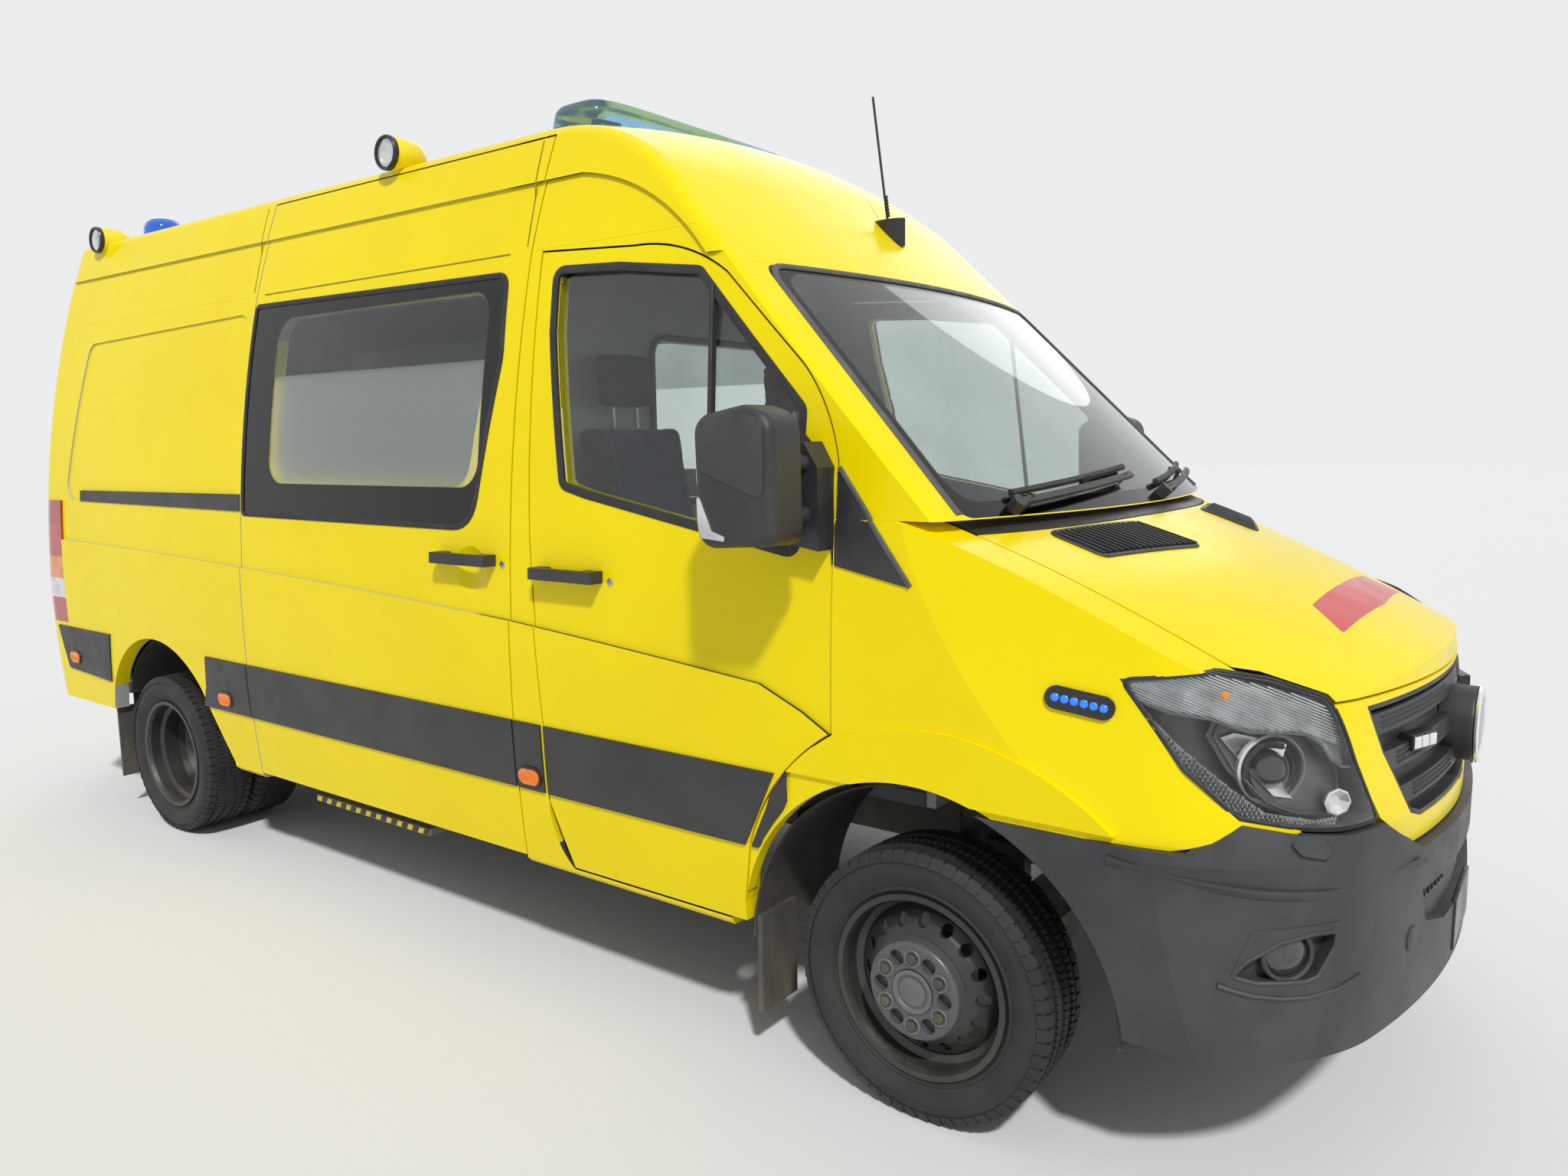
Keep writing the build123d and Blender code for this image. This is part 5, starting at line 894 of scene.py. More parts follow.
# Upper band: a clear ribbed lens part over a bright reflector, greyer down its inner side, with the amber bulb
BAND = mm((-352, 1148), (-163, 1164), (-66, 1141), (62, 1103), (112, 1016), (127, 964), (106, 966), (72, 986),
    (50, 1018), (12, 1043), (-111, 1053), (-183, 1078), (-252, 1086), (-318, 1112))
make("headlamp_band_right", sheet_of(BAND, lamp_face(0.034), -0.003, 0.0), chrome)
make("headlamp_ribs_right", joined(*ribs_in(BAND, (1.0, -0.42), 0.0058, lamp_face(0.016), [(-0.0022, -0.001),
    (0.0022, -0.001), (0.0, 0.0014)])), rib_clear)
make("headlamp_band_lip_right", sweep(laid(lamp_face(0.014), mm((-318, 1112), (-252, 1086), (-183, 1078),
    (-111, 1053), (12, 1043), (50, 1018), (72, 986), (106, 966), (127, 964))), flat(0.003, -0.022, 0.002)),
    lamp_grey)
bulb_spot, _ = lamp_face(0.030)(-0.150, 1.122)
make("indicator_bulb_right", turned([(0, 0), (0.008, 0), (0.011, 0.004), (0.011, 0.010), (0.007, 0.015),
    (0, 0.017)], bulb_spot, NOSE_OUT, 24), amber_glow)

# Main bowl: dark bezel, the angular bright reflector, and the round projector half behind it
BOWL = mm((-161, 1036), (-150, 1066), (-81, 1043), (49, 1021), (100, 990), (113, 942), (113, 885), (91, 866),
    (8, 874), (-59, 902), (-126, 972))
SHIELD = mm((-151, 1034), (-125, 1044), (-14, 1019), (-26, 985), (-30, 948), (-22, 925), (-4, 908), (-47, 915),
    (-106, 978))
make("headlamp_bezel_right", frame_of(shrunk(BOWL, -0.012), SHIELD, lamp_face(0.052), -0.004, 0.0, 0.03), lamp_grey)
make("headlamp_bezel_edge_right", sweep(laid(lamp_face(0.046), BOWL), flat(0.004, -0.012, 0.004, 0.002), True),
    lamp_grey)
front = [spot for spot, _ in laid(lamp_face(0.040), SHIELD)]
pulled = [lamp_face(0.070)(-0.085 + (u + 0.085) * 0.4, 0.985 + (z - 0.985) * 0.4)[0] for u, z in SHIELD]
hind, skirt = ([spot - NOSE_OUT * 0.004 for spot in ring] for ring in (pulled, front))
count = len(SHIELD)
faces = [face for r in (0, 2, 3) for face in quads(count, r * count, (r + 1) % 4 * count)]
faces += [list(range(count, 2 * count)), list(range(2 * count, 3 * count))[::-1]]
make("headlamp_reflector_right", (front + pulled + hind + skirt, faces), chrome, angle=12)
projector = lamp_face(0.080)(-0.046, 0.966)[0]
make("projector_rings_right", turned([(0.040, 0.0), (0.064, 0.0), (0.068, 0.030), (0.064, 0.036), (0.058, 0.030),
    (0.052, 0.034), (0.046, 0.030), (0.041, 0.016)], projector, NOSE_OUT, 56), lamp_black, angle=40)
make("projector_trim_right", turned([(0.0685, 0.020), (0.0735, 0.022), (0.0745, 0.034), (0.070, 0.038),
    (0.0682, 0.032)], projector, NOSE_OUT, 56), chrome)
make("projector_lens_right", turned([(0, 0.004), (0.038, 0.006), (0.0395, 0.016), (0.038, 0.030), (0.031, 0.042),
    (0.020, 0.049), (0.010, 0.0525), (0, 0.0535)], projector, NOSE_OUT, 48), projector_glass)

# Lower band: fine diamond mesh, with the small faceted daytime lamp at its inner end
MESH = mm((-334, 1124), (-254, 997), (-173, 917), (-91, 862), (31, 850), (88, 850), (86, 866), (30, 866),
    (-76, 888), (-142, 936), (-239, 1024), (-309, 1108))
mesh_face, mesh_edge = lamp_face(0.016), shrunk(MESH, 0.002)
mesh_studs = [sheet_of(MESH, lamp_face(0.020), -0.003, 0.0)]
stud_faces = [[0, 1, 4], [1, 2, 4], [2, 3, 4], [3, 0, 4], [1, 0, 5], [2, 1, 5], [3, 2, 5], [0, 3, 5]]
stud_side, stud_up = NOSE_ACROSS * 0.0042, Vector((0, 0, 0.0074))
for row in range(34):
    for n in range(48):
        u, z = -0.340 + 0.0092 * (n + 0.5 * (row % 2)), 0.846 + 0.0082 * row
        if within(mesh_edge, u, z):
            spot, out = mesh_face(u, z)
            mesh_studs.append(([spot + stud_side, spot + stud_up, spot - stud_side, spot - stud_up, spot + out
                * 0.0030, spot - out * 0.0045], stud_faces))
make("headlamp_mesh_right", joined(*mesh_studs), mesh_silver, angle=10)
daytime = lamp_face(0.040)(0.096, 0.893)[0]
make("daytime_lamp_right", turned([(0, 0.0), (0.022, 0.0), (0.030, 0.018), (0.026, 0.020), (0.012, 0.006),
    (0, 0.004)], daytime, NOSE_OUT, 8), chrome, angle=12)

# Fog lamps
fog_spot, _ = on_nose(-0.040, 0.604)
make("fog_lamp_bezel_right", turned([(0.047, -0.040), (0.056, -0.038), (0.058, -0.002), (0.054, 0.002),
    (0.048, -0.001)], fog_spot, NOSE_OUT, 48), bumper_plastic)
make("fog_lamp_reflector_right", turned([(0, -0.044), (0.020, -0.042), (0.038, -0.034), (0.0462, -0.020),
    (0.0462, -0.024), (0.040, -0.038), (0.022, -0.046), (0, -0.048)], fog_spot, NOSE_OUT, 40), lamp_grey)
make("fog_lamp_glass_right", turned([(0, -0.005), (0.030, -0.008), (0.0465, -0.014), (0.0465, -0.010),
    (0.036, -0.003), (0.018, 0.001), (0, 0.002)], fog_spot, NOSE_OUT, 48), fog_glass)

# Grille
# Three louvres of black plastic, each with a recessed panel of small pyramids, round a plain disc carrier.
# The disc wears a bright ring and a satin face, and a small three-cell lamp sits beside it.
grille_skin = skin_of("grille")
studs, STUD_PITCH, UP = [], 0.0135, Vector((0, 0, 1))
for middle_z, reach in ((1.035, 0.560), (0.950, 0.500), (0.866, 0.430)):
    for row in (-1, 0, 1):
        for n in range(int(2 * reach / STUD_PITCH)):
            y = -reach + STUD_PITCH * (n + 0.5)
            spot, out = on_front(y, middle_z + row * 0.0105, grille_skin)
            if abs(y) < 0.115 or spot.x < FRONT_AXLE + 0.80:
                continue
            across = UP.cross(out).normalized()
            studs.append(brick(spot + out * 0.0008, across * 0.0054, out.cross(across) * 0.0040, out * 0.0022,
                0.55))
make("grille_studs", joined(*studs), trim_plastic, angle=20)
disc_spot, disc_out = on_front(0.0, 0.933, grille_skin)
bright_ring = [(0.076, -0.003), (0.094, -0.003), (0.0955, 0.002), (0.092, 0.006), (0.084, 0.0065), (0.078, 0.003)]
make("carrier_ring", turned(bright_ring, disc_spot, disc_out, 72), chrome, angle=40)
satin = finish_of("carrier_satin", (0.50, 0.51, 0.53), (0.36, 0.37, 0.39), 0.34, mottle_scale=18, grain_scale=900,
    bump=0.04, Metallic=0.85)
make("carrier_face", turned([(0, -0.002), (0.074, -0.002), (0.0745, 0.001), (0.060, 0.0045), (0.030, 0.0065),
    (0, 0.007)], disc_spot, disc_out, 64), satin, angle=40)
small_spot, small_out = on_front(-0.385, 0.968, grille_skin)[0], Vector((0.93, -0.37, 0)).normalized()
small_across = UP.cross(small_out).normalized()
holder = brick(small_spot + small_out * 0.004, small_across * 0.050, UP * 0.020, small_out * 0.016, 0.08)
make("repeater_holder_right", holder, lamp_black, bevel=0.003)
cells = [brick(small_spot + small_out * 0.0205 + small_across * (0.030 * k), small_across * 0.0135, (0, 0, 0.0145),
    small_out * 0.0022, 0.2) for k in (-1, 0, 1)]
make("repeater_cells_right", joined(*cells), chrome, bevel=0.001)

# Bumper
# A grained dark grey moulding across the nose: rolled belt line, hexagonal washer caps, fog recess eyes with a
# lip and a shelf, a tread pad on the step, the plate holder and the round towing cap.
bumper_skin = skin_of("front_bumper")
washer_face = fitted(bumper_skin, grid((-220, 181, 20), (690, 846, 12)), 3)
recess_line = rounded(((-165, 548), (-120, 660), (75, 664), (120, 560), (60, 512), (-110, 516)), 8, 0.02)
fog_face = fitted(bumper_skin, [p for p in grid((-240, 191, 15), (470, 721, 12))
    if not within(shrunk(recess_line, -0.012), *p)], 3)
hexagon = rounded(((-44, 834), (-24, 812), (28, 800), (50, 812), (34, 838), (-20, 850)), 9, 0.006)
make("washer_cap_right", sheet_of(hexagon, washer_face(0.0), -0.003, 0.0030), bumper_plastic, bevel=0.0012)
make("washer_cap_seam_right", sweep(laid(washer_face(0.0), shrunk(hexagon, -0.003)), lip(0.0022, 0.0012, 0.003),
    True), lamp_black)
EYE = ((-160, 566), (-132, 598), (-66, 636), (4, 648), (66, 646), (64, 616), (44, 586), (24, 556), (-6, 548),
    (-112, 552))
eye = rounded(EYE, (8, 30, 30, 30, 10, 20, 20, 20, 30, 30), 0.010)
make("fog_cover_right", frame_of(shrunk(recess_line, -0.004), eye, fog_face(0.0), -0.006, 0.0010, 0.02),
    bumper_plastic)
make("fog_eye_lip_right", sweep(laid(fog_face(0.0), eye), [(-0.004, -0.028), (0.003, -0.028), (0.005, 0.001),
    (0.001, 0.004), (-0.004, 0.002)], True), bumper_plastic)
shelf = laid(fog_face(0.0), mm((-185, 548), (-150, 536), (-115, 527), (-60, 519), (0, 516), (70, 521), (140, 536)))
make("fog_shelf_right", sweep(shelf, [(-0.004, -0.004), (0.004, -0.004), (0.005, 0.004), (0.0, 0.007),
    (-0.004, 0.004)]), bumper_plastic)
belt_face = fitted(bumper_skin, grid((-370, 391, 20), (690, 811, 12)), 4)
belt = [belt_face(0.0)(-0.372 + 0.031 * k, 0.718 + 0.062 * (1 - k / 24) ** 2.2) for k in range(25)]
make("bumper_belt_right", sweep(belt, [(-0.009, -0.003), (0.010, -0.003), (0.009, 0.0015), (-0.002, 0.0065),
    (-0.008, 0.0055)]), bumper_plastic)
front_spot = seated(on_front, bumper_skin)
tread = [sheet_of(rounded(((-380, 590), (-358, 624), (-190, 624), (-168, 590)), 8, 0.01), front_spot, -0.003,
    0.003)]
for row in range(2):
    for n in range(6):
        spot, out = front_spot(-0.345 + 0.030 * n, 0.600 + 0.014 * row)
        tread.append(turned([(0.0042, 0.002), (0.0065, 0.002), (0.0068, 0.0055), (0.0055, 0.0062),
            (0.0044, 0.0050)], spot, out, 14))
make("bumper_step_tread_right", joined(*tread), lamp_black)
plate_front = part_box("front_bumper")[1].x + 0.001
make("plate_holder", brick((plate_front - 0.006, 0, 0.462), (0.006, 0, 0), (0, 0.145, 0), (0, 0, 0.062), 0.04),
    lamp_black, bevel=0.003)
bare_plate = finish_of("bare_plate", (0.62, 0.62, 0.61), (0.54, 0.53, 0.51), 0.4, mottle_scale=12, grain_scale=500,
    bump=0.05, film_top=0.7, film_amount=0.4)
tow_spot, tow_out = front_spot(-0.483, 0.545)
make("towing_cap", joined(turned([(0, -0.002), (0.027, -0.002), (0.0275, 0.002), (0.025, 0.0035), (0, 0.004)],
    tow_spot, tow_out, 40), turned([(0.0285, -0.002), (0.031, -0.002), (0.031, 0.0012), (0.0285, 0.0012)], tow_spot,
    tow_out, 40)), bumper_plastic)

# Bonnet louvres, band and wipers
# Slatted black intakes let into both rear corners of the bonnet, and a plain red foil band across its front.
# Two wiper arms park low on the windscreen from the scuttle.
bonnet_skin = skin_of("bonnet")


def on_top(x, y, skin=bonnet_skin, lift=0.0):
    """A spot on top, from a place in metres with x from the front axle."""
    spot, normal = seat_on(skin, (FRONT_AXLE + x, y, 3.2), (0, 0, -1))
    return spot + normal * lift, normal


VENT = ((268, -292), (432, -268), (322, -652), (188, -660))
vent_line = rounded(VENT, 24, 0.02)
make("bonnet_vent_bed_right", sheet_of(vent_line, on_top, -0.002, 0.0008, 0.03), lamp_black, body="bonnet")
make("bonnet_vent_frame_right", sweep(laid(on_top, vent_line), lip(0.007, 0.005, 0.002), True), trim_plastic,
    body="bonnet")
slats, SLATS = [], 17
for n in range(SLATS):
    share = (n + 0.5) / SLATS
    front = Vector(VENT[1]).lerp(Vector(VENT[2]), share) / 1000
    rear = Vector(VENT[0]).lerp(Vector(VENT[3]), share) / 1000
    near, far = rear.lerp(front, 0.05), rear.lerp(front, 0.95)
    slats.append(sweep([on_top(*near.lerp(far, k / 5), lift=0.0012) for k in range(6)], [(-0.0035, -0.001),
        (0.0035, -0.001), (0.0048, 0.0085), (0.0012, 0.0090)]))
make("bonnet_vent_slats_right", joined(*slats), bumper_plastic, body="bonnet")
red_foil = finish_of("red_foil", (0.62, 0.012, 0.012), (0.50, 0.012, 0.012), 0.28, mottle_scale=7, grain_scale=420,
    bump=0.05, Coat_Weight=0.3)
band_line = rounded(((708, -330), (712, 0), (708, 330), (790, 405), (812, 0), (790, -405)), 8, 0.04)
make("red_bonnet_band", sheet_of(band_line, on_top, -0.0005, 0.0004, 0.05), red_foil, "bonnet")
glass_skin = skin_of("windscreen")


def on_screen(y, z, lift=0.0):
    return on_front(y, z, glass_skin, lift)


wiper_parts, rubber_parts = [], []
for foot, tip in (((-0.700, 1.462), (-0.055, 1.508)), ((0.110, 1.462), (0.700, 1.500))):
    across, rise = tip[0] - foot[0], tip[1] - foot[1]
    spine = [on_screen(foot[0] + across * k / 12, foot[1] + rise * k / 12 + 0.012, 0.026) for k in range(13)]
    wiper_parts.append(sweep(spine, flat(0.011, -0.004, 0.005, 0.009)))
    for k in (1, 11):
        spot, out = spine[k]
        wiper_parts.append(brick(spot - out * 0.008, (0, 0.012, 0), (0.004, 0, 0.010), out * 0.010, 0.2))
    blade = [on_screen(foot[0] + 0.02 + across * 1.02 * k / 14, foot[1] + 0.040 + rise * k / 14, 0.009)
        for k in range(15)]
    rubber_parts.append(sweep(blade, [(-0.010, 0.004), (-0.002, -0.004), (0.002, -0.004), (0.010, 0.004),
        (0.006, 0.012), (-0.006, 0.012)]))
    bottom, out = on_screen(foot[0], foot[1] + 0.012, 0.0)
    wiper_parts.append(cylinder(bottom - out * 0.004, bottom + out * 0.034, 0.019))
    rubber_parts.append(brick(spine[7][0].lerp(blade[7][0], 0.5), (0, 0.018, 0), (0.006, 0, 0.018), out * 0.006,
        0.2))
make("wiper_arms", joined(*wiper_parts), trim_plastic, bevel=0.0015)
make("wiper_blades", joined(*rubber_parts), seal_rubber)

# Side lamps
# Blue flashers with six cells in a black bezel on the wings, and amber markers along the lower mouldings.
# Each is a closed lamp pressed on the panel.
wing_skin = skin_of("front_wings", "cab_frame")


def oval(x, z, length, tall, tilt=0.0, count=28):
    """A round-ended outline in the side plane, in metres."""
    spots = []
    for k in range(count):
        turn = math.tau * (k + 0.5) / count
        along = math.copysign(length / 2 - tall / 2, math.cos(turn)) + tall / 2 * math.cos(turn)
        up = tall / 2 * math.sin(turn)
        spots.append((x + along * math.cos(tilt) - up * math.sin(tilt),
            z + along * math.sin(tilt) + up * math.cos(tilt)))
    return spots


wing_spot = seated(on_side, wing_skin)
FLASHER_X, FLASHER_Z, TILT = 0.395, 1.093, math.radians(-8)
make("blue_flasher_bezel_right", sheet_of(oval(FLASHER_X, FLASHER_Z, 0.148, 0.050, TILT), wing_spot, -0.002, 0.008,
    0.012), lamp_black, bevel=0.002)
blue_cells = finish_of("blue_cells", (0.02, 0.16, 0.85), (0.02, 0.10, 0.60), 0.18, mottle_scale=60, grain_scale=900,
    bump=0.06, Emission_Color=(0.03, 0.22, 1.0, 1), Emission_Strength=0.5)
cells = []
for n in range(6):
    along = (n - 2.5) * 0.0205
    spot, out = wing_spot(FLASHER_X + along * math.cos(TILT), FLASHER_Z + along * math.sin(TILT))
    cells.append(turned([(0, 0.006), (0.0088, 0.006), (0.0088, 0.0098), (0.006, 0.0118), (0, 0.0122)], spot, out,
        16))
make("blue_flasher_cells_right", joined(*cells), blue_cells)
amber_lens = finish_of("amber_lens", (0.90, 0.22, 0.012), (0.75, 0.15, 0.01), 0.16, mottle_scale=30,
    grain_scale=600, bump=0.05, Coat_Weight=0.5)
moulding_skin = skin_of("side_mouldings", "door_trim_right")
amber_parts, amber_beds, place = [], [], seated(on_side, moulding_skin)
for x, z in ((-1.311, 0.649), (-3.110, 0.656), (-4.470, 0.685)):
    amber_beds.append(sheet_of(oval(x, z, 0.104, 0.064), place, -0.002, 0.0035, 0.012))
    amber_parts.append(sheet_of(oval(x, z, 0.088, 0.048), place, 0.002, 0.0085, 0.012))
    for k in range(-3, 4):
        spot, out = place(x + 0.011 * k, z)
        amber_parts.append(brick(spot + out * 0.0088, (0.0012, 0, 0), (0, 0, 0.018), out * 0.0012, 0.4))
make("marker_beds_right", joined(*amber_beds), lamp_black)
make("marker_lenses_right", joined(*amber_parts), amber_lens, stands_for=("marker_lamps",))

# Wing mouldings
# The grained side moulding runs on past the door over the wing, up to the arch.
WING_MOULDING = ((-378, 808), (-346, 752), (-360, 724), (-396, 680), (-430, 632), (-442, 608), (-468, 606),
    (-412, 720))
make("wing_moulding_right", sheet_of(rounded(WING_MOULDING, 6, 0.03), wing_spot, -0.003, 0.007, 0.03), trim_plastic)

# Roof lamps
# A clear light bar with blue modules on a grey base, two blue beacons at the rear, and yellow teardrop pods with
# round black-rimmed work lamps; all stand on the roof skin. The aerial is a fin with a thin rod.
roof_skin = skin_of("roof_panel")
blue_haze = (0.9, 1.4, 9.0, 4.0, 0.35, (0.03, 0.14))
clear_blue = clear_finish("clear_blue", (0.10, 0.32, 0.95, 1), (0.20, 0.48, 1.0, 1), *blue_haze)
bar_clear = clear_finish("bar_clear", (0.40, 0.66, 0.92, 1), (0.25, 0.55, 0.90, 1), *blue_haze)
bar_grey = finish_of("bar_grey", (0.30, 0.31, 0.32), (0.20, 0.20, 0.21), 0.5, mottle_scale=8, grain_scale=500,
    bump=0.12)
BAR_X, BAR_LOW, BAR_TOP = -1.510, 2.575, 2.728


def loaf(x_half, y_half, low, high, crown):
    """A long rounded cover over the roof: superellipse in plan, domed in section, closed below."""
    points, faces, rings, count = [], [], 8, 64
    for ring in range(rings + 1):
        rise = ring / rings
        level_z = low + (high - low) * rise
        shrink = crown * (1 - math.sqrt(max(0.0, 1 - rise ** 2.2)))
        for k in range(count):
            turn = math.tau * k / count
            cx, sy = math.cos(turn), math.sin(turn)
            along = math.copysign(abs(cx) ** 0.45, cx) * (x_half - shrink)
            across = math.copysign(abs(sy) ** 0.28, sy) * (y_half - shrink * 1.3)
            points.append(Vector((FRONT_AXLE + BAR_X + along, across, level_z)))
    for ring in range(rings):
        faces += quads(count, ring * count, (ring + 1) * count)
    faces.append(list(range(count))[::-1])
    faces.append([rings * count + k for k in range(count)])
    return points, faces


make("light_bar_base", loaf(0.142, 0.550, BAR_LOW - 0.03, BAR_LOW + 0.030, 0.012), bar_grey)
make("light_bar_cover", loaf(0.141, 0.553, BAR_LOW + 0.0305, BAR_TOP, 0.020), bar_clear,
    stands_for=("blue_lights",))
modules, plates = [], []
for n in range(8):
    y = -0.465 + 0.1328 * n
    for x in (-0.075, 0.075):
        centre = Vector((FRONT_AXLE + BAR_X + x, y, BAR_LOW + 0.066))
        modules.append(brick(centre, (0.016, 0, 0), (0, 0.050, 0), (0, 0, 0.026), 0.12))
        for k in range(4):
            middle = centre + Vector((math.copysign(0.016, x), (k - 1.5) * 0.024, 0))
            plates.append(turned([(0.004, 0.0), (0.011, 0.008), (0.0118, 0.008), (0.006, -0.001)], middle,
                (math.copysign(1, x), 0, 0), 16))
modules.append(brick((FRONT_AXLE + BAR_X, 0, BAR_LOW + 0.040), (0.10, 0, 0), (0, 0.515, 0), (0, 0, 0.008), 0.03))
make("light_bar_modules", joined(*modules), lamp_grey, bevel=0.003)
make("light_bar_reflectors", joined(*plates), chrome)
make("light_bar_seal", loaf(0.1435, 0.5535, BAR_LOW + 0.026, BAR_LOW + 0.034, 0.0), seal_rubber)
feet = [brick((FRONT_AXLE + BAR_X, y, BAR_LOW - 0.025), (0.07, 0, 0), (0, 0.03, 0), (0, 0, 0.025), 0.1)
    for y in (-0.36, 0.36)]
make("light_bar_feet", joined(*feet), trim_plastic, bevel=0.003)

beacon, BEACON_TOP = on_top(-4.600, -0.375, roof_skin)[0], 2.770
foot, beacon.z = beacon.z - 0.004, 0
make("beacon_dome_right", turned([(0.0, BEACON_TOP), (0.034, BEACON_TOP - 0.002), (0.060, BEACON_TOP - 0.009),
    (0.080, BEACON_TOP - 0.026), (0.089, BEACON_TOP - 0.050), (0.092, foot + 0.044), (0.086, foot + 0.044),
    (0.083, BEACON_TOP - 0.050), (0.075, BEACON_TOP - 0.030), (0.056, BEACON_TOP - 0.014),
    (0.0, BEACON_TOP - 0.008)], beacon, (0, 0, 1), 64), clear_blue, angle=40)
make("beacon_base_right", turned([(0, foot - 0.03), (0.097, foot - 0.03), (0.0975, foot + 0.030),
    (0.094, foot + 0.040), (0.088, foot + 0.0445), (0.0, foot + 0.0445)], beacon, (0, 0, 1), 64), lamp_black,
    angle=40)
make("beacon_core_right", turned([(0, foot + 0.045), (0.050, foot + 0.045), (0.046, foot + 0.075),
    (0.048, BEACON_TOP - 0.034), (0.034, BEACON_TOP - 0.024), (0, BEACON_TOP - 0.022)], beacon, (0, 0, 1), 12),
    chrome, angle=15)

pod_yellow = finish_of("pod_yellow", (0.90, 0.74, 0.004), (0.82, 0.62, 0.004), 0.30, mottle_scale=6,
    grain_scale=300, bump=0.08, Coat_Weight=0.3)
fairings, bezels, glasses, bowls = [], [], [], []
for x, z in ((-2.150, 2.625), (-4.370, 2.590)):
    tail_end = Vector((FRONT_AXLE + x, -0.640, z))
    fairings.append(turned([(0, 0), (0.020, 0.002), (0.040, 0.016), (0.0555, 0.048), (0.0570, 0.090),
        (0.0555, 0.140), (0.050, 0.148), (0.048, 0.120), (0, 0.118)], tail_end, OUTWARD, 48))
    skin_spot, _ = on_top(x, -0.715, roof_skin)
    foot_line = [(Vector((FRONT_AXLE + x, -0.715, skin_spot.z - 0.012 + (z - skin_spot.z) * k / 4)),
        Vector((1, 0, 0))) for k in range(5)]
    fairings.append(sweep(foot_line, round_section(0.048, 0.044, 20)))
    bezels.append(turned([(0.046, 0.136), (0.0575, 0.138), (0.0580, 0.152), (0.0545, 0.158), (0.0475, 0.155)],
        tail_end, OUTWARD, 48))
    bowls.append(turned([(0, 0.119), (0.018, 0.121), (0.036, 0.132), (0.0455, 0.148), (0.0455, 0.144),
        (0.037, 0.128), (0.018, 0.1165), (0, 0.1155)], tail_end, OUTWARD, 40))
    glasses.append(turned([(0, 0.1505), (0.0462, 0.1475), (0.0462, 0.1505), (0.025, 0.1562), (0, 0.1575)], tail_end,
        OUTWARD, 40))
make("work_lamp_pods_right", joined(*fairings), pod_yellow, angle=45, stands_for=("scene_lamps",))
make("work_lamp_bezels_right", joined(*bezels), lamp_black)
make("work_lamp_bowls_right", joined(*bowls), chrome)
make("work_lamp_lenses_right", joined(*glasses), lens_clear)
dress(lamp_black, "aerial")
coil = [turned([(0.0045, 0.0), (0.0062, 0.002), (0.0062, 0.006), (0.0045, 0.008)],
    Vector((FRONT_AXLE - 0.6535, 0, 2.345)) + Vector((-0.15, 0, 0.98)) * 0.010 * k, (-0.15, 0, 0.98), 16)
    for k in range(7)]
make("aerial_coil", joined(*coil), seal_rubber)

# Seams and drip lines
# The roof is pressed from three lengths and a high cap; yellow-brown sealer runs down each joint and over the doors.
seam_sealer = finish_of("seam_sealer", (0.30, 0.24, 0.004), (0.12, 0.10, 0.01), 0.6, mottle_scale=20,
    grain_scale=400, bump=0.1)
high_skin = skin_of("roof_panel", "sliding_door", "cab_frame")


def over_roof(x, turn):
    """A spot over the roof at one station, by the angle round a point low in the roof."""
    start = Vector((FRONT_AXLE + x, 0, 1.70))
    ray = Vector((0, -math.sin(turn), math.cos(turn)))
    return seat_on(high_skin, start + ray * 2.5, -ray)


SEAM = flat(0.0028, -0.002, 0.0006)
seams = [sweep([over_roof(x, math.radians(-58 + 2.0 * k)) for k in range(59)], SEAM) for x in (-1.397, -2.949)]
make("roof_seams", joined(*seams), seam_sealer)
door_line = [on_side(-1.47 - 0.05 * k, 2.212, slide_skin) for k in range(29)]
make("sliding_door_cant_seam", sweep(door_line, SEAM), seam_sealer)

# Mirrors
# Grained black heads with a grey shell, glass facing back, a clear repeater in the lower corner and a triangular
# sail panel at the door's front corner.
mirror_skin = skin_of("door_trim_right")
mirror_glass = finish_of("mirror_glass", (0.80, 0.82, 0.84), (0.70, 0.72, 0.74), 0.03, mottle_scale=6,
    grain_scale=300, bump=0.004, rough_swing=0.01, Metallic=1.0)


def on_back(y, z, skin, lift=0.0, from_x=-2.4):
    """A spot on a face that looks back, from a place in metres."""
    spot, normal = seat_on(skin, (FRONT_AXLE + from_x, y, z), (1, 0, 0))
    return spot + normal * lift, normal


mirror_back, mirror_out = seated(on_back, mirror_skin), seated(on_side, mirror_skin)
mirror_panes = [sheet_of(rounded(((-1196, low), (-1196, high), (-1107, high), (-1107, low)), corner, 0.02),
    mirror_back, -0.001, 0.0025, 0.04) for low, high, corner in ((1425, 1515, 14), (1532, 1702, 18))]
make("mirror_glasses_right", joined(*mirror_panes), mirror_glass, "door_right")
REPEATER = ((-436, 1424), (-436, 1512), (-424, 1518), (-388, 1440), (-350, 1428), (-352, 1418))
make("mirror_repeater_right", sheet_of(rounded(REPEATER, 6, 0.02), mirror_out, -0.001, 0.003, 0.03), rib_clear,
    "door_right")
shell_line = rounded(((-428, 1578), (-240, 1512), (-240, 1688), (-306, 1708), (-428, 1690)), 22, 0.02)
make("mirror_shell_right", sheet_of(shell_line, mirror_out, -0.002, 0.0022, 0.03), bumper_plastic,
    body="door_right")
SAIL = ((-322, 1394), (-322, 1668), (-224, 1575), (-212, 1392))
sail_spot = seated(on_side, skin_of("door_right", "door_glass_right"))
make("mirror_sail_right", sheet_of(rounded(SAIL, 8, 0.03), sail_spot, -0.003, 0.006, 0.04), trim_plastic,
    body="door_right")
TRIANGLE = ((-209, 1580), (-203, 1349), (2, 1309))
frame_skin = skin_of("cab_frame", "front_wings", "windscreen")
make("quarter_triangle_right", sheet_of(rounded(TRIANGLE, 5, 0.03), seated(on_side, frame_skin), -0.002, 0.004,
    0.04), trim_plastic)
